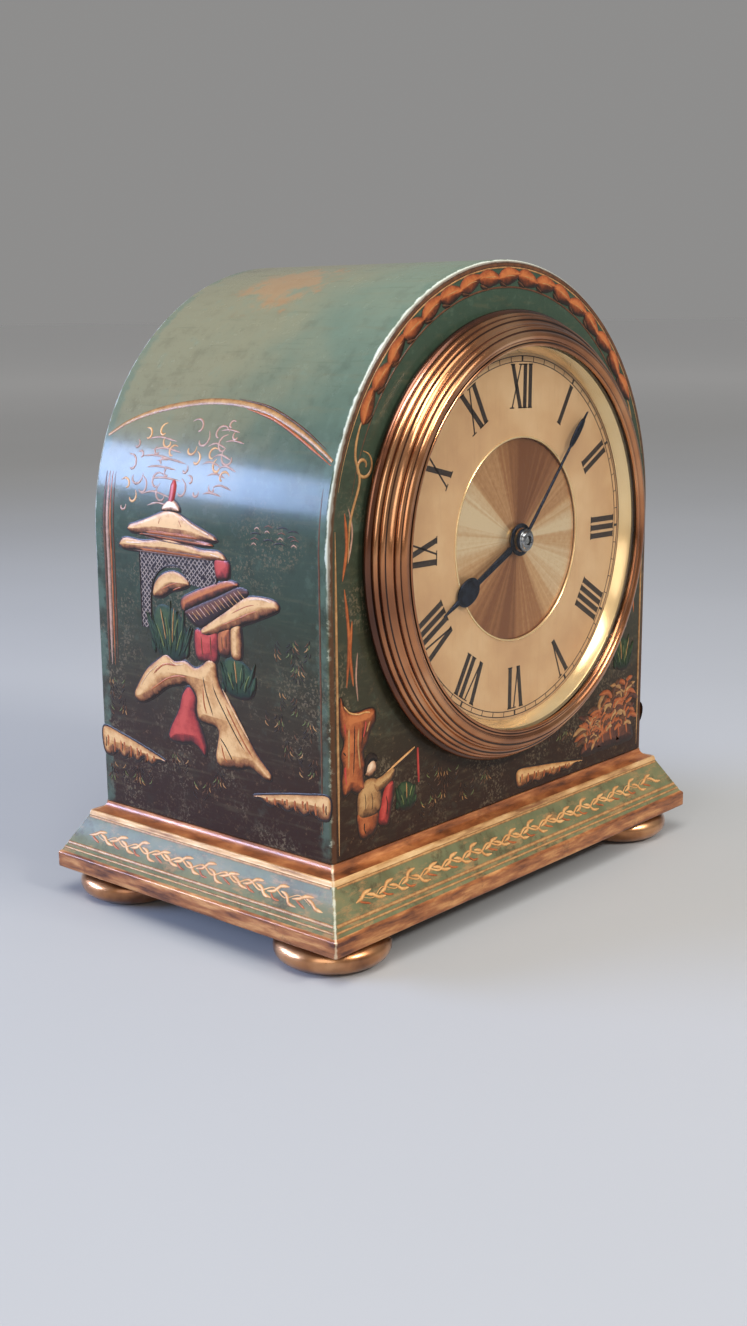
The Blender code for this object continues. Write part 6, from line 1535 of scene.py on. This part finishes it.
def draw_pavilion(relief, s):
    """A garden pavilion of two storeys, with tented roofs above and a tiled lean-to roof below."""
    relief.patch("lattice", s, [(-24, 33.8), (-24, 14), (-20.8, 14), (-20.6, 22), (-19.4, 27),
                                (-15.4, 30.4), (-9, 31), (-5, 27), (4.4, 26), (4.6, 33.8)], 0.14, flat=True)
    relief.strokes("ink", s,
                   [[(-24.2, 34), (-24.2, 14)], [(-20.4, 14), (-20.2, 22.4), (-18.6, 27.4), (-14.6, 30.6),
                              (-9.6, 31.2), (-6, 29.4)], [(4.6, 34), (4.8, 26)]], 0.6, height=0.3,
                   ends=(1, 0.6))
    relief.outlined("cream", s, [(-19.4, 22.8), (-18.6, 26), (-15.6, 28.6), (-11, 29.8), (-7, 28.6),
                                 (-5.2, 26.8), (-8.4, 25.4), (-12.4, 24.4), (-16, 22.6)], 0.35)
    relief.strokes("orange", s, [[(-18, 23.6), (-13, 26), (-8, 27.4)], [(-12, 24.8), (-8, 26.2)]], 0.6,
                   height=0.45)
    draw_roof(relief, s, -31.4, 7.8, (-12.0, 38.4), 34.0, 2.4)
    relief.patch("orange", s, [(-23, 38.3), (-12, 37.2), (0, 37), (4, 37.6), (0, 38.6), (-12, 39),
                               (-22, 39)], 0.4)
    relief.strokes("brown", s, [[(-22, 38), (-12, 37.2), (-2, 37)], [(-20, 39), (-10, 38.4), (2, 38)],
                                [(-28, 35.4), (-14, 34.8), (4, 34.8)]], 0.6, height=0.5)
    draw_roof(relief, s, -28.0, 4.8, (-12.0, 45.4), 38.6, 2.0)
    relief.strokes("orange", s, [[(-25, 40), (-14, 39.6), (0, 39.6)], [(-15.6, 43.6), (-16.6, 41)],
                                 [(-9, 43.4), (-7.4, 41)]], 0.6, height=0.5)
    relief.strokes("white", s, [[(-8.6, 44.4), (-3.4, 42), (3.6, 39.8)], [(-30.6, 35.8), (-22, 36.2)],
                                [(2, 35.6), (7, 34.9)]], 0.7, height=0.52)
    relief.outlined("white", s, [(-15.4, 45.2), (-14.6, 46.8), (-12.4, 48), (-10, 47.4), (-8.4, 45.2),
                                 (-12, 44.8)], 0.5)
    relief.stroke("red", s, [(-12.2, 47.6), (-11.9, 50), (-11.8, 53.2)], 2.6, 0.5, ends=(1.0, 0.25))
    relief.outlined("red", s, [(4.4, 34.4), (9, 34.2), (9.6, 31.4), (8.6, 29.4), (4.6, 29.8)], 0.4)
    # Lean-to roof
    relief.outlined("orange", s, [(-8.6, 22.8), (-4, 25.2), (3, 27.8), (9, 29.4), (12.4, 28.4), (4, 24.8),
                                  (-3, 22), (-7.8, 19.8)], 0.35)
    relief.patch("tile", s, [(-7.6, 19.6), (-3, 21.8), (5, 25), (12.6, 28.2), (16, 26.6), (8.4, 22),
                             (-1.4, 16.2)], 0.3)
    for k in range(14):
        u = -6.4 + 1.4 * k
        v = 19.8 + 0.6 * k
        relief.stroke("gold" if k % 3 else "pink", s, [(u, v), (u + 1.8, v - 1.4), (u + 3.4, v - 2.7)],
                      0.45, 0.42)
    relief.outlined("cream", s, [(-1.6, 15.8), (8, 21.6), (14.6, 25.6), (20.4, 26.4), (25.4, 25.8),
                                 (26.2, 23.8), (22, 21.8), (14, 18.8), (6, 16), (0.6, 14.4)], 0.42)
    relief.strokes("orange", s, [[(2, 16), (10, 19.4), (18, 22.6), (24, 24)],
                                 [(8, 20.4), (15, 23.6), (20, 24.6)]],
                   0.7, height=0.5)
    relief.strokes("white", s, [[(15, 25.2), (20.4, 26), (25, 25.2)]], 0.6, height=0.52)
    # Walls under it
    relief.outlined("red", s, [(-3.8, 15.4), (0.4, 15.2), (4.4, 16.2), (4.2, 8.4), (0, 7.6), (-3.6, 8.6)],
                    0.3)
    relief.outlined("orange", s, [(4.8, 16), (9, 17.4), (8.8, 10.8), (4.8, 10.6)], 0.3)
    relief.outlined("cream", s, [(9.4, 17.6), (12.8, 18.4), (13, 10.4), (9.4, 10.2)], 0.35)
    relief.strokes("brown", s, [[(6, 15.6), (6.2, 11)], [(7.6, 16), (7.6, 11.2)], [(-1.6, 15), (-1.2, 8.4)],
                                [(1.8, 15.6), (2, 8.6)]], 0.5, height=0.42)


def draw_bush(relief, s, wide, high, blades):
    """A ragged clump of dark leaves with paler blades."""
    relief.patch("green", s, [(-wide * 0.8, high * 0.4), (-wide * 0.6, high * 0.8),
                              (-wide * 0.1, high * 0.86),
                            (wide * 0.5, high * 0.72), (wide * 0.8, high * 0.4), (wide * 0.7, high * 0.12),
                              (wide * 0.2, 0),
                            (-wide * 0.5, high * 0.08)], 0.2)
    for k in range(3 * blades):
        share = (k + 0.5) / (3 * blades) * 2 - 1
        turn = 90 - 26 * share + 8 * (k % 3 - 1)
        foot = (wide * 0.72 * share, high * (0.08 + 0.22 * (k * 2 % 5) / 4))
        relief.leaf("green", s, foot, turn, high * (0.42 + 0.1 * (k * 3 % 4) - 0.16 * abs(share)), 1.7,
                    0.32)
    for k in range(blades):
        share = (k + 0.5) / blades * 2 - 1
        foot = high * (0.16 + 0.1 * (k % 3))
        head = high * (0.58 + 0.13 * (k * 2 % 3))
        u = wide * 0.6 * share
        relief.stroke("gold" if k % 3 == 1 else "leaf", s, [(u * 0.5, foot), (u * 0.8, (foot + head) / 2),
                                                            (u * 1.2, head)],
                      0.6, 0.42)


def draw_clouds(relief, s):
    """Drifts of curling cloud in many short pale strokes."""
    for k in range(34):
        u = -31.0 + 42.0 * (k * SCATTER_U % 1.0)
        v = -8.0 + 19.0 * (k * SCATTER_V % 1.0) + 0.12 * u
        radius = 1.5 + 0.8 * (k % 3)
        turns = 0.62 if k % 2 else -0.58
        relief.curl(("pink", "cream", "pink")[k % 3], s, (u, v), radius, 20.0 + 31.0 * (k % 5), turns, 0.75,
                    0.16)
        if k % 2:
            reach = 2.2 + 1.1 * (k % 4)
            relief.stroke("pink", s, [(u - reach, v - radius), (u - reach * 0.2, v - radius * 0.7),
                                      (u + reach, v - radius * 1.1)], 0.6, 0.15)


def draw_birds(relief, s):
    """A distant flight in short pale and dark flecks."""
    for k in range(15):
        u = -8.0 + 17.0 * (k * SCATTER_U % 1.0)
        v = -2.0 + 4.6 * (k * SCATTER_V % 1.0)
        reach = 0.9 + 0.6 * (k % 3)
        relief.stroke(("pink", "brown", "ink")[k % 3], s,
                      [(u - reach, v), (u, v + 0.6), (u + reach, v + 0.1)], 0.4, 0.14)


def draw_grasses(relief, s, spots):
    """Loose tufts and flecks on the dark ground."""
    for k, (u, v) in enumerate(spots):
        for j in range(14):
            at = (u + 6.4 * ((j * SCATTER_U + k * 0.3) % 1.0) - 3.2,
                  v + 4.6 * ((j * SCATTER_V + k * 0.2) % 1.0))
            lean = 0.8 * ((j + k) % 4 - 1.5)
            paint = ("brown", "ink", "gold", "ink", "leaf", "ink", "brown")[(j + k) % 7]
            relief.stroke(paint, s, [at, (at[0] + lean * 0.8, at[1] + 0.6), (at[0] + lean, at[1] + 1.3)],
                          0.34, 0.12)


def draw_angler(relief, s):
    """A small robed figure on the bank with a rod, seen from behind."""
    relief.outlined("orange", s, [(-4.6, 7.4), (-4.8, 3), (-3.6, 0.2), (-0.6, 0), (1.8, 1.6), (2.8, 7)],
                    0.3, line=0.6)
    relief.outlined("red", s, [(2.6, 3), (6, 1.4), (7.6, 5), (8.6, 9.4), (8.4, 12.4), (6, 12.6), (4.2, 9)],
                    0.34, line=0.6)
    relief.outlined("gold", s, [(-4.4, 12.6), (-2, 14.8), (1.6, 14.6), (3.4, 12), (4, 8), (3, 5.6),
                                (-0.6, 5), (-4.4, 5.8), (-5.2, 9)], 0.4, line=0.6)
    relief.outlined("gold", s, [(0.4, 13.8), (4.2, 14.6), (7.8, 16), (9.2, 15.2), (8.4, 13), (5, 11.2),
                                (1.8, 10.6)], 0.46,
                    line=0.6)
    relief.strokes("ink", s, [[(-2.8, 12.8), (-2.2, 9), (-3, 6)], [(-0.4, 12.4), (0.4, 9), (-0.2, 5.6)],
                              [(5.2, 10.2), (6, 7), (5.6, 3.4)], [(-2.6, 4.6), (-2.8, 2.6), (-2, 0.8)],
                              [(2.4, 12.6), (5, 13.2), (7.4, 14.4)]], 0.5, height=0.5)
    relief.outlined("white", s, [(-2, 16.2), (-2, 18.2), (-0.2, 19.8), (1.6, 19), (2, 16.8), (0.4, 15.2)],
                    0.45, line=0.5)
    relief.patch("ink", s, [(-2.9, 17), (-2.3, 20.2), (0, 21.6), (2.2, 20.4), (2.4, 18.8), (0.8, 19.2),
                            (-1, 18.4), (-1.7, 16.6)], 0.55)
    relief.stroke("ink", s, [(6.4, 14.8), (11.4, 16.8), (17, 19)], 1.1, 0.32, ends=(0.7, 0.5))
    relief.stroke("cream", s, [(6.2, 15.2), (11.4, 17.2), (17, 19.4)], 0.7, 0.4, ends=(0.7, 0.5))


def draw_crag(relief, s):
    """A tall split rock, streaked down its face."""
    relief.outlined("orange", s, [(-6.4, 25.4), (-5, 22.8), (-3.4, 21.2), (0, 20.6), (3.4, 20.8), (6, 20.2),
                                  (6.2, 17.4), (4.2, 15), (3.2, 12.4), (1.6, 10.4), (2.2, 7), (1.6, 3.4),
                                  (2.2, 0.8), (-0.8, 0.2), (-3, 1.4), (-5.4, 0.6), (-6.2, 4), (-5.6, 8),
                                  (-6.4, 11), (-5.2, 14), (-6.4, 17), (-6.8, 21)], 0.4)
    relief.strokes("red", s, [[(-5.4, 20), (-5, 16.6), (-5.2, 14.6)], [(2.6, 19), (2.2, 16), (1, 13)],
                              [(-5, 9), (-5, 5), (-4.4, 2)]], 1.3, height=0.46)
    relief.strokes("gold", s, [[(-3.6, 19.6), (-3.8, 13), (-4, 5)], [(0.4, 19), (-0.4, 13), (0.6, 4)],
                               [(4.4, 18.4), (3.4, 16.4), (2.4, 14.4)]], 1.2, height=0.5)
    relief.strokes("ink", s, [[(-1.6, 20), (-1.8, 12), (-2.4, 3)], [(-6, 12), (-4.6, 10.4)],
                              [(1.6, 17.6), (0.8, 11)]],
                   0.6, height=0.54)
    relief.strokes("cream", s,
                   [[(-5.6, 23.4), (-3.2, 21), (0.6, 20)], [(-1, 20), (2.6, 20.2), (5.2, 19.4)]], 0.7,
                   height=0.52)


def draw_thicket(relief, s):
    """Low ragged rocks under sprays of pointed leaves."""
    for left, right, top in ((3, 13, 13), (-15, -4, 6), (-7, 6, 9)):
        middle = (left + right) / 2
        relief.outlined("tile", s, [(left, 0.4), (left + 1.2, top * 0.5), (left + 3, top * 0.7),
                                    (middle, top), (right - 2.6, top * 0.74), (right - 1.4, top * 0.4),
                                    (right, 0.6), (middle, -0.4)], 0.3)
        relief.strokes("orange", s,
                       [[(middle - 3, top * 0.7), (middle - 3.2, top * 0.4), (middle - 2.4, 1)],
                                     [(middle + 1, top * 0.86), (middle + 0.8, top * 0.5),
                                      (middle + 2, 1)]], 1.3, height=0.4)
    for k in range(26):
        u = -12.0 + 24.0 * (k * SCATTER_U % 1.0)
        v = 3.0 + (10.0 + 0.4 * u) * (k * SCATTER_V % 1.0)
        for j in range(4):
            angle = radians(15.0 + 44.0 * j + 12.0 * (k % 4))
            bend = angle + 0.5 * (1 if j > 1 else -1)
            reach = 2.6 + 0.7 * (k % 3)
            relief.stroke(("orange", "brown", "tile", "orange", "gold")[(k + 2 * j) % 5], s,
                          [(u, v), (u + reach * cos(angle), v + reach * sin(angle)),
                           (u + 2 * reach * cos(bend), v + 2 * reach * sin(bend))], 1.9, 0.42,
                          ends=(0.3, 0.1))


def draw_leaf_band(relief, s):
    """Touching leaves along the arch between thin lines, ending in curls above upright lines."""
    radius = 65.8
    band = round_arch(s, radius)
    pitch = 8.2
    leaves = 8
    end = pitch * (leaves + 0.5)
    for v, paint, wide in ((2.9, "brown", 1.2), (2.2, "gold", 0.5), (-2.7, "brown", 0.6)):
        relief.stroke(paint, band, [(-end - 18, v), (0, v), (end + 18, v)], wide, 0.16)
    for k in range(-leaves, leaves + 1):
        foot = (k * pitch - 5.0, 0.5 if k % 2 else -0.5)
        relief.leaf("orange", band, foot, -7 if k % 2 else 7, 10.2, 4.6, 0.45)
        relief.stroke("gold", band, [(foot[0] + 1.6, foot[1]), (k * pitch, 0.2), (k * pitch + 3.6, 0)], 0.6,
                      0.52)
        relief.leaf("brown", band, (k * pitch - 4.4, -1.2), -24, 3.6, 1.4, 0.3)
    for side in (-1, 1):
        relief.curl("gold", s, (side * 57.2, 122.5), 3.6, 90, side * 1.3, 1.0, 0.3)
        relief.stroke("gold", s, [(side * 55, 137), (side * 58.6, 131), (side * 60, 125),
                                  (side * 58.6, 119), (side * 62, 110), (side * 63, 100)], 0.9, 0.28)
    for side in (-1, 1):
        relief.stroke("gold", s, [(side * 67.4, 28.5), (side * 67.4, 70), (side * 67.4, 108)], 1.0, 0.22)


# Pictures on each face

def side_frame(relief, s):
    """Lines that frame the picture of a side: an arched one above and pairs up the edges."""
    relief.stroke("gold", s, [(-40.6, 127.6), (-33, 132), (-22, 135.6), (-8, 138), (4, 138), (16, 136),
                              (28, 131.4),
                             (36, 127.4), (40.8, 124.6)], 1.9, 0.3, ends=(0.5, 0.5))
    relief.stroke("orange", s, [(8, 136.6), (18, 134.2), (28, 130), (36, 126), (40.6, 123.6)], 0.9, 0.34)
    relief.stroke("brown", s, [(4, 139.2), (16, 137.2), (28, 132.6), (38, 127.4)], 0.6, 0.3)
    for u, paint, wide in ((-38.4, "brown", 1.2), (-37.2, "pink", 1.4), (-36.0, "orange", 0.8),
                           (-34.8, "brown", 0.7)):
        relief.stroke(paint, s, [(u, 66), (u + 0.3, 90), (u + 0.1, 118)], wide, 0.16, ends=(0.1, 0.3))
    relief.stroke("brown", s, [(39.4, 34), (39.6, 80), (39.5, 118)], 0.7, 0.14)


def paint_left(relief):
    s = on_left
    side_frame(relief, s)
    draw_clouds(relief, moved(s, 0.0, 121.0))
    draw_birds(relief, moved(s, 26.0, 105.0))
    draw_bush(relief, moved(s, -13.4, 70.0), 8.6, 17.0, 7)
    draw_bush(relief, moved(s, 11.6, 63.6), 7.6, 12.0, 4)
    draw_pavilion(relief, moved(s, 0.0, 64.0))
    draw_rock(relief, moved(s, 0.0, 44.2))
    draw_island(relief, moved(s, -42.0, 42.0), 25.0, 6.0, 9)
    draw_island(relief, moved(s, 41.8, 39.0, flip=True), 26.0, 4.8, 9)
    draw_grasses(relief, s, [(-34, 52), (-36, 57), (-30, 33), (-27, 34), (-3, 34), (4, 38), (29, 62),
                             (32, 70), (27, 75), (35, 56), (30, 50), (36, 47), (-12, 40), (24, 57),
                             (-38, 33), (34, 76)])


def paint_right(relief):
    s = on_right
    side_frame(relief, s)
    draw_clouds(relief, moved(s, 4.0, 119.0, flip=True))
    draw_birds(relief, moved(s, -24.0, 108.0))
    draw_bush(relief, moved(s, 15.0, 66.0), 9.0, 18.0, 7)
    draw_pavilion(relief, moved(s, 3.0, 66.0, 0.86, flip=True))
    draw_rock(relief, moved(s, 2.0, 46.0, 0.95, flip=True))
    draw_crag(relief, moved(s, -31.0, 44.0, 0.8))
    draw_island(relief, moved(s, 42.0, 40.0, flip=True), 22.0, 5.4, 8)
    draw_island(relief, moved(s, -41.8, 36.0), 30.0, 5.0, 10)
    draw_grasses(relief, s, [(34, 52), (36, 57), (30, 33), (3, 36), (-4, 38), (-29, 74), (-24, 78),
                             (-14, 40), (12, 34)])


def paint_front(relief):
    s = on_front
    draw_leaf_band(relief, s)
    for side in (-1, 1):
        relief.strokes("orange", s, [[(side * 64, 70), (side * 63, 82), (side * 64.4, 94)],
                                     [(side * 61.6, 70), (side * 62.6, 78), (side * 61.8, 86)],
                                     [(side * 65, 96), (side * 63.4, 104), (side * 64, 112)]], 1.2,
                       height=0.22)
        relief.strokes("pink", s, [[(side * 60, 66), (side * 60.6, 72), (side * 60, 78)],
                                   [(side * 63, 100), (side * 61.4, 107), (side * 62.6, 113)]], 0.7,
                       height=0.2)
    draw_crag(relief, moved(s, -60.0, 42.6))
    draw_bush(relief, moved(s, -42.0, 34.0), 5.0, 9.0, 3)
    draw_angler(relief, moved(s, -55.6, 30.6))
    relief.stroke("red", s, [(-37.4, 49.6), (-37.2, 45), (-37.0, 40.4)], 0.9, 0.3, ends=(0.8, 0.8))
    draw_island(relief, moved(s, 6.0, 29.6), 32.0, 4.2, 10)
    draw_thicket(relief, moved(s, 52.0, 31.0))
    draw_bush(relief, moved(s, 58.5, 53.0), 5.6, 12.0, 5)
    draw_grasses(relief, s, [(-28, 33), (-24, 36), (-30, 38), (-18, 31), (-33, 30), (-8, 33), (24, 38),
                             (30, 36), (40, 30)])


def paint_back(relief):
    s = on_back
    draw_leaf_band(relief, s)
    draw_crag(relief, moved(s, -58.0, 34.0))
    draw_bush(relief, moved(s, -47.0, 31.0), 6.0, 11.0, 5)
    for middle, left, right, rise in ((-20.0, 16.0, 22.0, 4.4), (27.0, 20.0, 14.0, 3.6)):
        draw_island(relief, moved(s, middle, 30.0, flip=True), left, rise, 6)
        draw_island(relief, moved(s, middle, 30.0), right, rise, 7)
    draw_rock(relief, moved(s, 54.0, 32.0, 0.5, flip=True))
    draw_grasses(relief, s, [(-20, 38), (2, 34), (14, 37), (36, 42), (-38, 44), (48, 52), (60, 62),
                             (-60, 64)])


def paint_friezes(relief):
    """A running leaf scroll round the plinth between thin gilt lines."""
    for side, half in (("front", HALF_WIDTH), ("back", HALF_WIDTH), ("left", CASE_BACK),
                       ("right", CASE_BACK)):
        s = frieze_side(side)
        for v, wide in ((1.2, 0.7), (2.7, 1.0), (11.2, 0.8)):
            end = half + PLINTH_OVERHANG - 1.2 - 0.55 * v
            relief.stroke("gold", s, [(-end, v), (0, v), (end, v)], wide, 0.14, ends=(1, 1))
        pitch = 8.6
        count = int((2 * half + 4) / pitch)
        stem = []
        for k in range(count):
            u = (k - (count - 1) / 2) * pitch
            stem += [(u - pitch / 4, 7.5), (u + pitch / 4, 5.9)]
            rise = 0.35 * (k % 3 - 1)
            relief.stroke("cream", s, [(u - 4.0, 6.2), (u - 1.6, 6.8), (u - 0.2, 8.0 + rise),
                                       (u + 2.6, 8.4 + rise)],
                          1.1, 0.18)
            relief.stroke("cream", s, [(u + 0.4, 7.2), (u + 2.6, 6.6), (u + 4.0, 5.2 - rise),
                                       (u + 6.6, 4.9 - rise)],
                          1.1, 0.18)
            relief.stroke("orange", s, [(u - 2.8, 6.2), (u - 1.2, 5.2 - rise), (u + 0.8, 4.8)], 0.7, 0.18)
        relief.stroke("cream", s, stem, 0.7, 0.2)


def paint_case():
    relief = Relief()
    paint_left(relief)
    paint_right(relief)
    paint_front(relief)
    paint_back(relief)
    paint_friezes(relief)
    relief.finish()


make_case()
make_plinth()
make_feet()
make_bezel()
make_glass()
make_dial()
make_hands()
make_springs()
make_set_knob()
finish_solids()
make_screws()
make_rear_ring()
make_rear_door()
make_door_knob()
paint_case()


# Stage: floor, light and camera, with places and sizes in metres

FLOOR_RADIUS = 40.0
FLOOR_SIDES = 96
FADE_START = 500.0  # in millimetres from the clock: the floor grows paler from here to the end
FADE_END = 4000.0


def make_stage():
    """A wide round floor, pale and plain from every side, that fades into the surroundings far away."""
    floor = Finish("pale_floor", roughness=0.7, Specular_IOR_Level=0.2)
    near = floor.ramp(floor.noise(400.0), [(0.3, colour(166, 167, 168)), (0.7, colour(171, 172, 173))])
    fade = floor.between(floor.length(floor.x, floor.y), FADE_START, FADE_END)
    floor.set("Base Color", floor.mix(fade, near, colour(252, 252, 252)))
    turns = [2 * pi * k / FLOOR_SIDES for k in range(FLOOR_SIDES)]
    mesh = bpy.data.meshes.new("floor")
    mesh.from_pydata([(FLOOR_RADIUS * cos(a), FLOOR_RADIUS * sin(a), 0.0) for a in turns], [],
                     [tuple(range(FLOOR_SIDES))])
    mesh.materials.append(floor.material)
    piece = bpy.data.objects.new("floor", mesh)
    bpy.context.scene.collection.objects.link(piece)


def make_lamp(name, place, aim, size, watts, shade, spread):
    data = bpy.data.lights.new(name, "AREA")
    data.shape = "RECTANGLE"
    data.size, data.size_y = size
    data.energy = watts
    data.color = shade
    data.spread = radians(spread)
    lamp = bpy.data.objects.new(name, data)
    lamp.location = place
    lamp.rotation_euler = (Vector((0.0, 0.0, aim)) - Vector(place)).to_track_quat("-Z", "Y").to_euler()
    bpy.context.scene.collection.objects.link(lamp)


# Soft boxes: name, place, height aimed at, size, watts, colour and angle of the beam in degrees
LAMPS = (
    ("key", (0.25, -1.35, 1.35), 0.1, (1.0, 0.9), 8.0, (1.0, 0.96, 0.9), 180.0),
    ("glint", (0.1, -1.3, 1.0), 0.1, (0.5, 0.16), 12.0, (1.0, 0.98, 0.95), 180.0),
    ("overhead", (-0.52, -0.36, 1.4), 0.1, (0.8, 0.8), 16.0, (1.0, 0.98, 0.95), 180.0),
    ("fill", (-1.6, -0.8, 0.7), 0.08, (1.2, 1.0), 7.0, (1.0, 0.97, 0.93), 180.0),
    ("window", (-1.0, 1.1, 0.45), 0.12, (1.1, 0.32), 6.5, (0.42, 0.58, 1.0), 70.0),
)
SURROUNDINGS = (0.82, 0.81, 0.8, 1.0)
SURROUNDINGS_STRENGTH = 0.33


def make_light():
    for lamp in LAMPS:
        make_lamp(*lamp)
    world = bpy.data.worlds.new("studio")
    bpy.context.scene.world = world
    world.use_nodes = True
    back = world.node_tree.nodes["Background"]
    back.inputs["Color"].default_value = SURROUNDINGS
    back.inputs["Strength"].default_value = SURROUNDINGS_STRENGTH


CAMERA_PLACE = (-0.34029, -0.29293, 0.15737)
CAMERA_AZIMUTH = -48.806
CAMERA_ELEVATION = 12.298
CAMERA_ROLL = -0.510
CAMERA_LENS = 43.328
CAMERA_SENSOR = 36.0


def make_camera():
    azimuth, elevation, roll = (radians(a) for a in (CAMERA_AZIMUTH, CAMERA_ELEVATION, CAMERA_ROLL))
    back = Vector((sin(azimuth) * cos(elevation), -cos(azimuth) * cos(elevation), sin(elevation)))
    right = (-back).cross(Vector((0.0, 0.0, 1.0))).normalized()
    up = right.cross(-back)
    level_right = right * cos(roll) + up * sin(roll)
    level_up = up * cos(roll) - right * sin(roll)
    data = bpy.data.cameras.new("camera")
    data.lens = CAMERA_LENS
    data.sensor_width = CAMERA_SENSOR
    data.clip_start = 0.01
    camera = bpy.data.objects.new("camera", data)
    turn = Matrix((level_right, level_up, back)).transposed()
    camera.matrix_world = Matrix.Translation(CAMERA_PLACE) @ turn.to_4x4()
    bpy.context.scene.collection.objects.link(camera)
    bpy.context.scene.camera = camera


make_stage()
make_light()
make_camera()
bpy.context.scene.view_settings.view_transform = "Standard"
